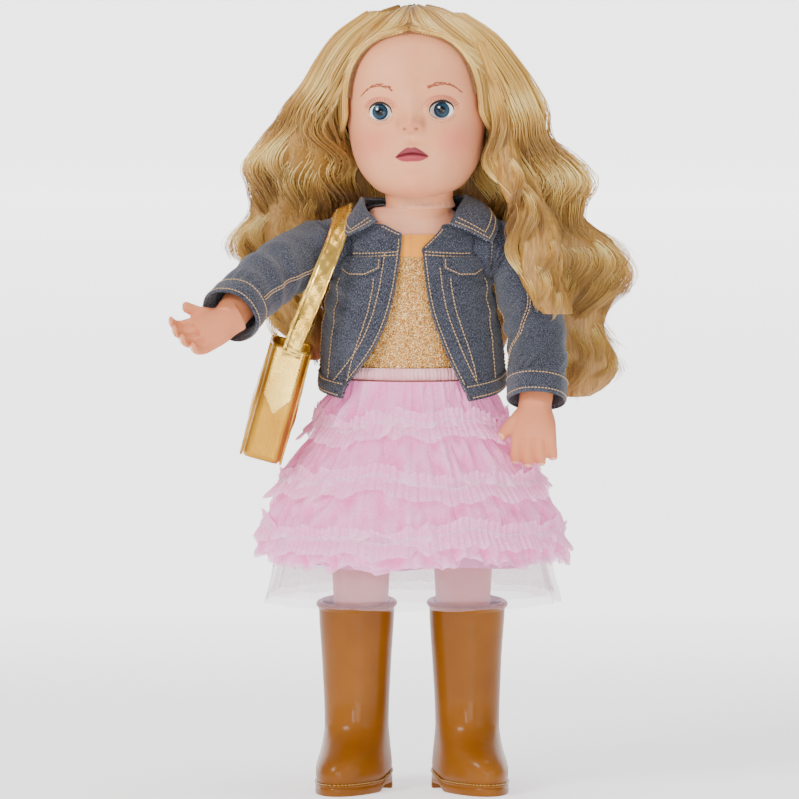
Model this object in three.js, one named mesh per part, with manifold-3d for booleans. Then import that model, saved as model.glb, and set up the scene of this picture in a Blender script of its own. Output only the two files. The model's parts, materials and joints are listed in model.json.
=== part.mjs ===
// Dressed play doll of 18 inch size: vinyl head and limbs strung on a stuffed cloth body,
// with a denim jacket, knit top, gathered tulle skirt, moulded boots and a tote bag.
// Millimetres. +Z is up, the doll faces -Y, and its own left side is +X.

import * as THREE from 'three';
import { mergeVertices } from 'three/addons/utils/BufferGeometryUtils.js';
import Module from 'manifold-3d';

const wasm = await Module();
wasm.setup();

// Clearances and shared values
const gap = 0.3;
const runningGap = 0.5;
const overrun = 30;
const straight = Math.PI;
const turn = 2 * Math.PI;

// Stuffed cloth body
const torsoBottomZ = 184;
const torsoTopZ = 342;
const torsoHalfWidth = 41;
const torsoHalfDepth = 30;
// Each row: height share, width share, depth share, backward share of the half depth
const torsoShares = [
  [0.0, 0.50, 0.55, 0.16], [0.05, 0.90, 0.86, 0.10], [0.14, 1.03, 1.04, 0.05],
  [0.27, 1.03, 1.03, 0.0], [0.40, 0.99, 0.99, 0.0], [0.54, 0.98, 0.98, 0.0],
  [0.70, 1.0, 0.97, 0.0], [0.84, 0.99, 0.88, 0.0], [0.91, 0.93, 0.76, 0.0],
  [0.96, 0.74, 0.64, 0.0], [1.0, 0.53, 0.56, 0.0],
];
const torsoLevelShares = [0, 0.05, 0.14, 0.27, 0.44, 0.62, 0.78, 0.86, 0.91, 0.955, 1];

// Neck and head, measured up from the neck's flange
const neckX = 5;
const neckBaseZ = 326;
const neckRadius = 15.5;
const flangeRadius = 17.5;
const flangeHeight = 4;
const headYaw = -0.085;
const headRoll = -0.035;
const headBottom = 23;
const headTop = 130;
const headHalfWidth = 41;
const headHalfDepth = 43;
const headWall = 3.2;
const neckFlareShares = [1, 1.12, 1.25];
// Each row: height share, width share, front share, back share
const headShares = [
  [0.0, 0.32, 0.66, 0.25], [0.03, 0.55, 0.80, 0.45], [0.08, 0.70, 0.90, 0.62],
  [0.15, 0.83, 0.955, 0.78], [0.24, 0.92, 0.98, 0.91], [0.35, 0.97, 0.99, 1.01],
  [0.46, 1.0, 0.98, 1.08], [0.57, 1.0, 0.965, 1.11], [0.68, 0.97, 0.92, 1.09],
  [0.78, 0.90, 0.84, 1.02], [0.87, 0.76, 0.69, 0.88], [0.94, 0.55, 0.49, 0.65],
  [0.985, 0.30, 0.26, 0.36], [1.0, 0.10, 0.09, 0.12],
];
const eyeSpacing = 35.2;
const eyeHeight = 74;
const eyeRadius = 9;
const eyeProud = 0.6;
const eyeClearance = 0.8;
const lidOpeningWidth = 14;
const lidOpeningHeight = 11.4;
const axleRadius = 1.2;
const axleReach = 10.2;
const cupWall = 1.4;
const weightRodRadius = 1.1;
const weightRadius = 3.4;
const weightLength = 6;
const weightReach = 14.5;
const weightAngle = 0.3;
const swingAngles = [-0.25, 0.2];
const noseHeight = 68;
const noseReach = 6.5;
const noseSpread = 5.2;
const lipHeight = 50.5;
const lipReach = 2.6;
const lipSpread = 7;
const lipThickness = 2.7;
const chinHeight = 31;
const chinReach = 2.4;
const cheekHeight = 56;
const cheekSpacing = 50;
const cheekReach = 2.2;
const featureSpread = 10;

// Shoulders, arms and hands
const shoulderX = 45.5;
const shoulderZ = 318;
const shoulderRadius = 14.9;
const upperArmRadius = 12;
const wristRadius = 9.4;
const shoulderDiscRadius = 10;
const shoulderDiscWidth = 4;
const cordRadius = 1.3;
const knotRadius = 3;
const knotSeat = 2;
const palmLength = 17;
const palmHalfWidth = 13;
const palmHalfThickness = 6.4;
const fingerRadius = 3.5;
const fingerLength = 19;
const thumbRadius = 3.9;
const thumbLength = 20;
const thumbSpread = 0.85;
const fingerSpread = 0.12;
const tipShares = [0.18, 0.55];
// Each row: place along the palm, share of its half width, share of its half thickness
const palmRingShares = [[-0.45, 0.70, 1.3], [0, 0.76, 1.25], [0.35, 0.92, 1.1], [0.75, 1, 0.92], [1.1, 0.9, 0.7]];
// Each row: place across the palm from the thumb's side, share of the finger length
const fingerShares = [[0.74, 0.95], [0.25, 1.05], [-0.25, 1], [-0.74, 0.82]];
const fingerRootShare = 0.85;
const thumbRootShares = [0.2, 0.6];
const armBendShare = 0.92;
const sleeveEndShare = 0.8;
const foldPlaceShare = 0.45;
// Places along each arm are measured from its shoulder joint: out to the side, forward and down
const arms = {
  left: {
    side: 1,
    elbow: { out: 33, forward: 14, down: 46 },
    wrist: { out: 26, forward: 35, down: 91 },
    handShares: [-0.03, -0.22, -0.97],
    palmShares: [0.1, 0.95, -0.2],
    curl: 0.3,
  },
  right: {
    side: -1,
    elbow: { out: 44, forward: 38, down: 13 },
    wrist: { out: 61.5, forward: 77, down: 38 },
    handShares: [-0.86, -0.28, -0.42],
    palmShares: [-0.2, -0.8, 0.55],
    curl: 0.35,
  },
};

// Hips, legs and boots
const hipX = 30;
const hipZ = 196;
const hipRadius = 20.6;
const hipHalfWidth = 19;
const crotchHalfWidth = 9.6;
// Half outline of the thigh's barrel-shaped top: shares of its radius and half width
const barrelShares = [[0, 1], [0.8, 1], [0.95, 0.75], [1, 0.4]];
const legHalfWidth = 18.8;
const footReach = 35;
const calfReach = 20;
// Each row: shares of the hip height, half width, front reach and back reach
const legShares = [
  [0.074, 0.665, 0.971, 0.75], [0.087, 0.718, 1, 0.8], [0.112, 0.745, 0.8, 0.85],
  [0.153, 0.718, 0.543, 0.85], [0.214, 0.691, 0.414, 0.8], [0.316, 0.713, 0.4, 0.8],
  [0.439, 0.819, 0.457, 0.9], [0.571, 0.862, 0.471, 0.875], [0.689, 0.926, 0.5, 0.875],
  [0.827, 0.989, 0.543, 0.95], [0.949, 1, 0.571, 1], [1, 0.989, 0.571, 1],
];
const bootX = 32.5;
const toeOut = 0.14;
const bootTopZ = 111;
const bootHalfWidth = 22.4;
const toeReach = 48;
const heelReach = 23.2;
const rimTilt = 0.09;
const rimRoll = 1.3;
const bootWall = 2.2;
const insoleThickness = 2.8;
// Each row: shares of the boot's height, half width, toe reach and heel reach
const bootShares = [
  [0.018, 0.826, 0.958, 0.948], [0.081, 0.902, 1, 0.983], [0.135, 0.92, 0.99, 0.991],
  [0.18, 0.906, 0.927, 0.974], [0.225, 0.884, 0.792, 0.948], [0.279, 0.862, 0.615, 0.927],
  [0.342, 0.844, 0.5, 0.905], [0.432, 0.848, 0.448, 0.905], [0.54, 0.871, 0.4375, 0.927],
  [0.72, 0.92, 0.442, 0.957], [0.874, 0.973, 0.45, 0.983], [0.964, 0.996, 0.458, 1],
];
const soleThickness = 6.4;
const heelHeight = 11;
const heelBreastY = 4;
const archFrontY = -13;
const archHeight = 3.6;
const archRound = 1;
const weltReach = 1;

// Knit top
const topThickness = 1.2;
const clothEase = 0.8;
const topLevelShares = [0, 0.4, 0.7, 0.81, 0.88, 0.94, 1];
const topBottomZ = 250;
const neckbandWidth = 11;
const neckbandThickness = 1.6;
const neckbandBackShare = 0.35;
const necklineFrontZ = 331;
const necklineBackZ = 339.5;

// Denim jacket
const denim = 1.7;
const jacketLift = 3;
const hemFlare = 9;
const hemWaveShare = 0.12;
const hemWaveCount = 6;
const hemBandShare = 1.3;
const hemBandHeight = 9.5;
const hemFrontZ = 228;
const hemSideZ = 237;
const jacketNeckFrontZ = 331;
const jacketNeckBackZ = 341;
const armholeClearance = 2.7;
const frontOpening = 41;
const frontLevelShares = [0, 0.17, 0.36, 0.55, 0.71, 0.81, 0.88, 0.94, 1];
const backLevelShares = [0, 0.28, 0.54, 0.73, 0.84, 0.9, 0.95, 1];
// Each row: height share of the fronts, reach share of the left and right edge from the middle
const frontEdgeShares = [
  [0, 0.854, 1], [0.117, 0.707, 0.902], [0.359, 0.439, 0.512], [0.563, 0.256, 0.305],
  [0.777, 0.171, 0.195], [0.971, 0.146, 0.159], [1.03, 0.268, 0.268],
];
const sleeveRadius = 17.2;
const sleeveWall = 1.6;
const sleeveRimWidth = 1.7;
const cuffLength = 14;
const cuffRadius = 16.4;
const cuffWall = 2.4;
const foldHeight = 1.5;
const collarWidth = 16;
const collarPoint = 22;
// The collar's fall from its seam: shares of its width at the back and at the front
const collarFallShares = [0.42, 0.62];
const collarPointShares = [0.5, 0.55];
const collarFrontAngle = 0.42;
const collarSpread = 0.42;
const flapHeight = 11;
const flapPointDrop = 4.5;
const flapThickness = 1.3;
const flapTopZ = 314;
const flapAngles = [0.42, 1.12];
const flapSlope = 1.6;

// Tulle skirt
const waistbandTopZ = 249.5;
const waistbandBottomZ = 242.5;
const waistbandThickness = 2.6;
const tulle = 1.2;
const skirtHemZ = 110;
const skirtHalfWidth = 86;
const skirtWaistHalfWidth = 44.46;
const skirtDepthShare = 0.81;
// Each row: height share up from the hem, share of the way out from the waist's radius to the hem's
const skirtShares = [
  [0.0, 1.0], [0.13, 0.99], [0.25, 0.969], [0.37, 0.897], [0.49, 0.752],
  [0.60, 0.565], [0.72, 0.338], [0.84, 0.141], [0.93, 0.033], [1.0, 0.0],
];
const ruffleFlare = 4.5;
const ruffleTuck = 0.1;
const gatherHeight = 1.5;
const gatherCount = 11;
// Tops and bottoms of the layers are shares of the height from the hem to the waistband
const tiers = [
  { name: 'skirt_tier_1', topShare: 1, bottomShare: 0.766, levels: 2 },
  { name: 'skirt_tier_2', topShare: 0.819, bottomShare: 0.516, levels: 2 },
  { name: 'skirt_tier_3', topShare: 0.569, bottomShare: 0.273, levels: 2 },
  { name: 'skirt_tier_4', topShare: 0.326, bottomShare: 0.159, levels: 1 },
];
const liningBottomShare = 0.182;
const liningInset = 14;
const liningTopInset = 2.6;
const underlayerTopShare = 0.409;
const underlayerInset = 7.6;

// Tote bag
const bagX = -70.5;
const bagTopZ = 262;
const bagHeight = 68;
const bagHalfDepth = 36;
const bagHalfWidth = 12;
const bagLean = 0.27;
const bagSkin = 1.5;
const tabHalfWidth = 8.5;
const tabLength = 40;
const tabPoint = 10;
const tabTopDrop = 1.5;
const strapHalfWidth = 5.5;
const strapThickness = 1.2;
const strapOverlap = 5;
const strapShoulderShare = 0.72;
const strapTwist = 0.45;
// Front half of the strap's route from bag to shoulder: shares of its way inward and upward
const strapRouteShares = [[0.034, 0], [0.33, 0.294], [0.64, 0.588], [0.86, 0.797]];
const strapChestReach = 31.5;
const strapTopX = -39.5;
const strapTopZ = 341.4;

// Hair
const capThickness = 4.5;
const capEase = 1.4;
const capBottom = 27;
const hairlineTop = 118;
const hairlineHalfWidth = 35;
const hairlineBottom = 20;
const hairTipZ = 224;
const hairSpan = 100;
// Hair masses in shares of the hair's span. Each row: height above the tips, outer side,
// inner side, middle front to back, half depth
const hairMassShares = {
  hair_side_left: {
    side: 1,
    rows: [
      [0.0, 0.92, 0.86, 0.29, 0.03], [0.06, 1.08, 0.76, 0.29, 0.09], [0.14, 1.19, 0.68, 0.29, 0.105],
      [0.28, 1.27, 0.64, 0.29, 0.11], [0.46, 1.25, 0.56, 0.29, 0.11], [0.66, 1.28, 0.53, 0.29, 0.11],
      [0.96, 1.28, 0.51, 0.29, 0.11], [1.09, 1.13, 0.5, 0.29, 0.112], [1.2, 1.05, 0.48, 0.27, 0.13],
      [1.34, 1.05, 0.46, 0.2, 0.19], [1.5, 0.97, 0.44, 0.15, 0.22], [1.62, 0.82, 0.42, 0.11, 0.25],
      [1.86, 0.74, 0.38, 0.09, 0.28], [2.04, 0.62, 0.3, 0.08, 0.26], [2.2, 0.48, 0.2, 0.07, 0.22],
      [2.32, 0.3, 0.08, 0.06, 0.14],
    ],
  },
  hair_side_right: {
    side: -1,
    rows: [
      [0.2, 0.68, 0.56, 0.55, 0.05], [0.38, 0.78, 0.5, 0.56, 0.11], [0.6, 0.9, 0.48, 0.56, 0.12],
      [0.78, 1.0, 0.5, 0.56, 0.12], [0.95, 1.06, 0.52, 0.56, 0.12], [1.12, 1.03, 0.52, 0.52, 0.13],
      [1.22, 1.0, 0.5, 0.44, 0.16], [1.32, 0.95, 0.45, 0.3, 0.19], [1.46, 0.94, 0.42, 0.17, 0.22],
      [1.6, 0.91, 0.42, 0.13, 0.25], [1.74, 0.76, 0.4, 0.11, 0.27], [1.86, 0.66, 0.38, 0.1, 0.28],
      [2.04, 0.56, 0.3, 0.08, 0.26], [2.2, 0.44, 0.18, 0.07, 0.22], [2.33, 0.26, 0.03, 0.06, 0.14],
    ],
  },
  hair_back: {
    side: 1,
    rows: [
      [0.08, 0.3, -0.24, 0.56, 0.05], [0.2, 0.38, -0.33, 0.57, 0.09], [0.45, 0.44, -0.4, 0.57, 0.1],
      [0.8, 0.46, -0.42, 0.55, 0.1], [1.1, 0.48, -0.43, 0.54, 0.11], [1.4, 0.49, -0.42, 0.53, 0.12],
      [1.7, 0.48, -0.4, 0.53, 0.12], [1.95, 0.44, -0.37, 0.51, 0.1], [2.1, 0.34, -0.28, 0.48, 0.08],
      [2.2, 0.2, -0.14, 0.44, 0.04],
    ],
  },
  hair_curl_left: {
    side: 1,
    rows: [
      [0.53, 0.89, 0.78, -0.38, 0.035], [0.6, 0.95, 0.7, -0.38, 0.075], [0.71, 0.95, 0.66, -0.37, 0.085],
      [0.86, 0.92, 0.61, -0.33, 0.085], [1.02, 0.88, 0.57, -0.3, 0.085], [1.17, 0.82, 0.52, -0.26, 0.085],
      [1.31, 0.74, 0.49, -0.205, 0.085], [1.46, 0.68, 0.47, -0.172, 0.08], [1.6, 0.62, 0.46, -0.16, 0.05],
    ],
  },
};
const hairWaveShare = 0.035;
const hairWaveCount = 3.2;

// Materials with the photographed colours
function finish(color, roughness, metalness = 0) {
  return new THREE.MeshStandardMaterial({ color, roughness, metalness });
}

const skinVinyl = () => finish(0xe8b89c, 0.55);
const stuffedCloth = () => finish(0xe9d3c0, 0.95);
const hairFibre = () => finish(0xd0ab68, 0.5);
const denimCloth = () => finish(0x555b70, 0.9);
const glitterKnit = () => finish(0xb98642, 0.6);
const mustardRib = () => finish(0xd99b3a, 0.9);
const pinkTulle = () => finish(0xf0bcdc, 0.9);
const whiteTulle = () => finish(0xf1e6ee, 0.9);
const bootVinyl = () => finish(0xb9752f, 0.3);
const goldFoil = () => finish(0xc9a03c, 0.25, 0.9);
const elastic = () => finish(0xeeeeee, 0.8);
const steel = () => finish(0x8a8a90, 0.4, 0.9);
const eyeAcrylic = () => finish(0xf4f4f4, 0.1);
const whitePlastic = () => finish(0xe6e6e6, 0.5);

// Geometry helpers

function closedGeometry(points, faces) {
  const geometry = new THREE.BufferGeometry();
  let volume = 0;
  for (const [a, b, c] of faces) {
    volume += points[a].dot(new THREE.Vector3().crossVectors(points[b], points[c]));
  }
  const outward = volume > 0 ? faces : faces.map(([a, b, c]) => [a, c, b]);
  geometry.setAttribute('position', new THREE.Float32BufferAttribute(points.flatMap((p) => p.toArray()), 3));
  geometry.setIndex(outward.flat());
  geometry.computeVertexNormals();
  return geometry;
}

// Skin over a row of rings with equal point counts. The ends are closed by strips that join
// each point to its mirror point, or the last ring joins the first where wrapped is true.
function loft(rings, wrapped = false) {
  const count = rings[0].length;
  const points = rings.flat();
  const faces = [];
  const spans = wrapped ? rings.length : rings.length - 1;
  for (let row = 0; row < spans; row += 1) {
    const near = row * count;
    const far = ((row + 1) % rings.length) * count;
    for (let i = 0; i < count; i += 1) {
      const next = (i + 1) % count;
      faces.push([near + i, near + next, far + next], [near + i, far + next, far + i]);
    }
  }
  if (!wrapped) {
    const last = (rings.length - 1) * count;
    for (let i = 0; i < count / 2; i += 1) {
      const mirror = (count - i) % count;
      const mirrorNext = count - i - 1;
      if (mirrorNext !== i + 1) {
        faces.push([i, mirrorNext, i + 1]);
        faces.push([last + i, last + i + 1, last + mirrorNext]);
      }
      if (mirror !== i) {
        faces.push([i, mirror, mirrorNext]);
        faces.push([last + i, last + mirrorNext, last + mirror]);
      }
    }
  }
  return closedGeometry(points, faces);
}

// Slab between two grids of points that lie face to face
function sheet(outerRows, innerRows) {
  const columns = outerRows[0].length;
  const rows = outerRows.length;
  const points = [...outerRows.flat(), ...innerRows.flat()];
  const half = rows * columns;
  const faces = [];
  const quad = (a, b, c, d) => faces.push([a, b, c], [a, c, d]);
  for (let r = 0; r < rows - 1; r += 1) {
    for (let c = 0; c < columns - 1; c += 1) {
      const i = r * columns + c;
      quad(i, i + 1, i + columns + 1, i + columns);
      quad(half + i, half + i + columns, half + i + columns + 1, half + i + 1);
    }
  }
  for (let r = 0; r < rows - 1; r += 1) {
    const start = r * columns;
    const end = start + columns - 1;
    quad(start, start + columns, half + start + columns, half + start);
    quad(end + columns, end, half + end, half + end + columns);
  }
  const top = (rows - 1) * columns;
  for (let c = 0; c < columns - 1; c += 1) {
    quad(c + 1, c, half + c, half + c + 1);
    quad(top + c, top + c + 1, half + top + c + 1, half + top + c);
  }
  return closedGeometry(points, faces);
}

function solid(geometry) {
  const bare = geometry.clone();
  bare.deleteAttribute('normal');
  bare.deleteAttribute('uv');
  const merged = mergeVertices(bare, 1e-4);
  return new wasm.Manifold(new wasm.Mesh({
    numProp: 3,
    vertProperties: Float32Array.from(merged.attributes.position.array),
    triVerts: Uint32Array.from(merged.index.array),
  }));
}

function geometryOf(manifold) {
  const mesh = manifold.getMesh();
  const geometry = new THREE.BufferGeometry();
  geometry.setAttribute('position', new THREE.Float32BufferAttribute(mesh.vertProperties, 3));
  geometry.setIndex(Array.from(mesh.triVerts));
  geometry.computeVertexNormals();
  return geometry;
}

// The largest connected piece of a cut solid
function mainBody(manifold) {
  return manifold.decompose().sort((a, b) => b.volume() - a.volume())[0];
}

function clamp01(value) {
  return Math.min(1, Math.max(0, value));
}

function smooth(value) {
  const t = clamp01(value);
  return t * t * (3 - 2 * t);
}

function mix(a, b, share) {
  return a + (b - a) * share;
}

function bell(distance, spread) {
  return Math.exp(-((distance / spread) ** 2));
}

// Smooth reading of a table whose first column rises: returns the other columns at a value
function readTable(table, value) {
  const last = table.length - 1;
  const clamped = Math.min(table[last][0], Math.max(table[0][0], value));
  let row = 0;
  while (row < last - 1 && clamped > table[row + 1][0]) row += 1;
  const before = table[Math.max(0, row - 1)];
  const start = table[row];
  const end = table[row + 1];
  const after = table[Math.min(last, row + 2)];
  const width = end[0] - start[0];
  const t = (clamped - start[0]) / width;
  return start.slice(1).map((value0, index) => {
    const value1 = end[index + 1];
    const slope0 = ((value1 - before[index + 1]) / (end[0] - before[0])) * width;
    const slope1 = ((after[index + 1] - value0) / (after[0] - start[0])) * width;
    const t2 = t * t;
    const t3 = t2 * t;
    return value0 * (2 * t3 - 3 * t2 + 1) + slope0 * (t3 - 2 * t2 + t)
      + value1 * (3 * t2 - 2 * t3) + slope1 * (t3 - t2);
  });
}

// Angles round the vertical, from the front (0), closer together there by the crowding share
function ringAngles(count, crowding = 0) {
  return Array.from({ length: count }, (_, i) => {
    const even = (turn * i) / count;
    return even - crowding * Math.sin(even);
  });
}

// Point of an egg-shaped level ring with its own front and back reach
function eggPoint(angle, halfWidth, front, back, z, centreX = 0, centreY = 0) {
  const reach = Math.cos(angle) > 0 ? front : back;
  return new THREE.Vector3(
    centreX + halfWidth * Math.sin(angle),
    centreY - reach * Math.cos(angle),
    z,
  );
}

// Round ring across a direction, with its first point on the side of the given marker
function crossRing(centre, along, marker, radiusAcross, radiusAlongMarker, count, ripple = () => 0) {
  const normal = along.clone().normalize();
  const first = marker.clone().addScaledVector(normal, -marker.dot(normal)).normalize();
  const second = new THREE.Vector3().crossVectors(normal, first);
  return ringAngles(count).map((angle) => {
    const lift = ripple(angle);
    return centre.clone()
      .addScaledVector(first, (radiusAlongMarker + lift) * Math.cos(angle))
      .addScaledVector(second, (radiusAcross + lift) * Math.sin(angle));
  });
}

// Cylinder along X between two stations
function barAlongX(radius, fromX, toX, y, z, sides = 20) {
  const geometry = new THREE.CylinderGeometry(radius, radius, toX - fromX, sides);
  geometry.rotateZ(straight / 2);
  geometry.translate((fromX + toX) / 2, y, z);
  return geometry;
}

const doll = new THREE.Group();

function addPart(parent, name, geometry, material) {
  const mesh = new THREE.Mesh(geometry, material);
  mesh.name = name;
  parent.add(mesh);
  return mesh;
}

// Stuffed cloth body

const torsoHeight = torsoTopZ - torsoBottomZ;

function torsoSection(z) {
  const [width, depth, back] = readTable(torsoShares, (z - torsoBottomZ) / torsoHeight);
  return {
    halfWidth: width * torsoHalfWidth,
    halfDepth: depth * torsoHalfDepth,
    centreY: back * torsoHalfDepth,
  };
}

function torsoPoint(z, angle) {
  const section = torsoSection(z);
  return eggPoint(angle, section.halfWidth, section.halfDepth, section.halfDepth, z, 0, section.centreY);
}

// Point at a height and angle, lifted off the body's cloth along its normal
function onBody(z, angle, lift) {
  const step = torsoHeight / 400;
  const point = torsoPoint(z, angle);
  const up = torsoPoint(z + step, angle).sub(torsoPoint(z - step, angle));
  const round = torsoPoint(z, angle + 0.01).sub(torsoPoint(z, angle - 0.01));
  const normal = new THREE.Vector3().crossVectors(round, up).normalize();
  if (!Number.isFinite(normal.x)) normal.set(0, 0, 1);
  return point.addScaledVector(normal, lift);
}

function torsoForm(count) {
  return loft(torsoLevelShares.map((share) => {
    const z = mix(torsoBottomZ, torsoTopZ, share);
    return ringAngles(count).map((angle) => torsoPoint(z, angle));
  }));
}

const headGroup = new THREE.Group();
headGroup.position.set(neckX, 0, neckBaseZ);
headGroup.rotation.set(0, headRoll, headYaw, 'ZYX');
headGroup.updateMatrix();
doll.add(headGroup);

function neckHole() {
  const hole = new THREE.CylinderGeometry(flangeRadius + runningGap, flangeRadius + runningGap, overrun, 28);
  hole.rotateX(straight / 2);
  hole.translate(0, 0, overrun / 2 - gap);
  hole.applyMatrix4(headGroup.matrix);
  return hole;
}

// Room for a hip joint: the thigh's round top, and all that it sweeps on its way forward
function hipRoom(side) {
  const radius = hipRadius + runningGap;
  const outline = new THREE.Shape();
  outline.moveTo(radius, -overrun);
  outline.lineTo(radius, 0);
  outline.absarc(0, 0, radius, 0, straight / 2, false);
  outline.lineTo(-2 * overrun, radius);
  outline.lineTo(-2 * overrun, -overrun);
  const room = new THREE.ExtrudeGeometry(outline, { depth: 2 * overrun, bevelEnabled: false, curveSegments: 10 });
  const basis = new THREE.Matrix4().makeBasis(
    new THREE.Vector3(0, 1, 0),
    new THREE.Vector3(0, 0, 1),
    new THREE.Vector3(1, 0, 0),
  );
  room.applyMatrix4(basis);
  const startX = side > 0 ? crotchHalfWidth : -crotchHalfWidth - 2 * overrun;
  room.translate(startX, 0, hipZ);
  return room;
}

function clothTorso() {
  let body = solid(torsoForm(20));
  body = body.subtract(solid(neckHole()));
  for (const side of [-1, 1]) body = body.subtract(solid(hipRoom(side)));
  const bore = cordRadius + runningGap;
  body = body.subtract(solid(barAlongX(bore, -torsoHalfWidth - overrun, torsoHalfWidth + overrun, 0, shoulderZ, 10)));
  body = body.subtract(solid(barAlongX(bore, -overrun, overrun, 0, hipZ, 10)));
  return geometryOf(mainBody(body));
}

addPart(doll, 'cloth_torso', clothTorso(), stuffedCloth());

// Elastic cords that string the limbs, knotted inside them

function knottedCord(halfSpan, z) {
  const cord = solid(barAlongX(cordRadius, -halfSpan, halfSpan, 0, z, 8));
  const knots = [-1, 1].map((side) => {
    const knot = new THREE.SphereGeometry(knotRadius, 6, 4);
    knot.translate(side * halfSpan, 0, z);
    return solid(knot);
  });
  return geometryOf(cord.add(knots[0]).add(knots[1]));
}

const armKnotX = shoulderX + knotRadius + knotSeat;
const legKnotX = crotchHalfWidth + knotRadius + knotSeat;
addPart(doll, 'arm_cord', knottedCord(armKnotX, shoulderZ), elastic());
addPart(doll, 'leg_cord', knottedCord(legKnotX, hipZ), elastic());

const neckRimZ = torsoTopZ + gap;
const neckCordTube = 1.1;
function neckCord() {
  const ring = new THREE.TorusGeometry(flangeRadius + neckCordTube, neckCordTube, 5, 16);
  ring.translate(neckX, 0, neckRimZ + neckCordTube);
  return ring;
}
addPart(doll, 'neck_drawcord', neckCord(), elastic());

// Head: hollow vinyl with a neck and flange, and two sleep eyes

function faceRelief(x, z) {
  let relief = noseReach * bell(x, noseSpread) * bell(z - noseHeight, noseSpread);
  relief += 0.4 * noseReach * bell(x, noseSpread) * bell(z - noseHeight - 2 * noseSpread, 2 * noseSpread);
  relief += lipReach * bell(x, lipSpread) * bell(z - lipHeight - lipThickness, lipThickness);
  relief += lipReach * bell(x, lipSpread) * bell(z - lipHeight + lipThickness, lipThickness);
  relief += chinReach * bell(x, featureSpread) * bell(z - chinHeight, featureSpread);
  for (const side of [-1, 1]) {
    const cheekX = x - (side * cheekSpacing) / 2;
    relief += cheekReach * bell(cheekX, featureSpread) * bell(z - cheekHeight, featureSpread);
    const eyeX = x - (side * eyeSpacing) / 2;
    relief -= cheekReach * bell(eyeX, featureSpread) * bell(z - eyeHeight, featureSpread);
  }
  return relief;
}

function headPoint(z, angle, lift) {
  const height = headTop - headBottom;
  const [width, front, back] = readTable(headShares, (z - headBottom) / height);
  const halfWidth = width * headHalfWidth;
  const point = eggPoint(angle, halfWidth, front * headHalfDepth, back * headHalfDepth, z);
  if (Math.cos(angle) > 0) point.y -= faceRelief(point.x, z) * smooth(3 * Math.cos(angle));
  const centre = new THREE.Vector3(0, 0, (headTop + headBottom) / 2);
  const away = point.clone().sub(centre).normalize();
  return point.addScaledVector(away, lift);
}

function headForm(lift, count, levels, crowding) {
  const rings = levels.map((z) => ringAngles(count, crowding).map((angle) => headPoint(z, angle, lift)));
  return loft(rings);
}

const headHeight = headTop - headBottom;
const faceLevelShares = [
  0, 0.02, 0.06, 0.12, 0.19, 0.235, 0.265, 0.30, 0.36, 0.42, 0.48, 0.55,
  0.64, 0.74, 0.83, 0.91, 0.97, 1,
];
const skullLevelShares = [0, 0.04, 0.1, 0.2, 0.35, 0.5, 0.65, 0.79, 0.9, 0.97, 1];
const hollowLevelShares = [0, 0.1, 0.28, 0.5, 0.72, 0.9, 1];
const faceLevels = faceLevelShares.map((share) => headBottom + share * headHeight);
const skullLevels = skullLevelShares.map((share) => headBottom + share * headHeight);
const hollowLevels = hollowLevelShares.map((share) => headBottom + share * headHeight);

function neckSolid(inset, fromZ, toZ) {
  const radius = neckRadius - inset;
  const flange = flangeRadius - inset;
  const profile = [
    new THREE.Vector2(0, fromZ),
    new THREE.Vector2(flange, fromZ),
    new THREE.Vector2(flange, flangeHeight),
    new THREE.Vector2(radius, flangeHeight + gap),
    new THREE.Vector2(radius * neckFlareShares[0], headBottom - flangeHeight),
    new THREE.Vector2(radius * neckFlareShares[1], headBottom),
    new THREE.Vector2(radius * neckFlareShares[2], toZ),
    new THREE.Vector2(0, toZ),
  ];
  const neck = new THREE.LatheGeometry(profile, 20);
  neck.rotateX(straight / 2);
  return solid(neck);
}

const eyeX = eyeSpacing / 2;
const eyeFaceY = headPoint(eyeHeight, Math.asin(eyeX / headHalfWidth), 0).y;
const eyeY = eyeFaceY - eyeProud + eyeRadius;

function eyeSphere(radius, side, detail = 12) {
  const ball = new THREE.SphereGeometry(radius, detail, detail / 2);
  ball.translate(side * eyeX, eyeY, eyeHeight);
  return solid(ball);
}

// Almond outline of the opened lids, cut straight back through the face
function lidOpening(side) {
  const halfWidth = lidOpeningWidth / 2;
  const halfHeight = lidOpeningHeight / 2;
  const outline = new THREE.Shape();
  const count = 12;
  for (let i = 0; i < count; i += 1) {
    const angle = (turn * i) / count;
    const x = halfWidth * Math.cos(angle);
    const z = halfHeight * Math.sign(Math.sin(angle)) * Math.abs(Math.sin(angle)) ** 0.9;
    if (i === 0) outline.moveTo(x, z);
    else outline.lineTo(x, z);
  }
  outline.closePath();
  const opening = new THREE.ExtrudeGeometry(outline, { depth: overrun, bevelEnabled: false });
  opening.rotateX(straight / 2);
  opening.translate(side * eyeX, eyeY, eyeHeight);
  return solid(opening);
}

function axleBore(side, reach) {
  const radius = axleRadius + runningGap / 2;
  return solid(barAlongX(radius, side * eyeX - reach, side * eyeX + reach, eyeY, eyeHeight, 10));
}

function headShell() {
  const hollowFrom = -overrun;
  let shell = solid(headForm(0, 28, faceLevels, 0.42));
  shell = shell.add(neckSolid(0, 0, headBottom + 2 * flangeHeight));
  const hollow = solid(headForm(-headWall, 16, hollowLevels, 0));
  shell = shell.subtract(hollow);
  shell = shell.subtract(neckSolid(headWall, hollowFrom, headBottom + 3 * flangeHeight));
  for (const side of [-1, 1]) {
    shell = shell.subtract(eyeSphere(eyeRadius + eyeClearance, side));
    shell = shell.subtract(lidOpening(side));
    shell = shell.subtract(axleBore(side, axleReach + gap));
  }
  return mainBody(shell);
}

addPart(headGroup, 'head_shell', geometryOf(headShell()), skinVinyl());

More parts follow.
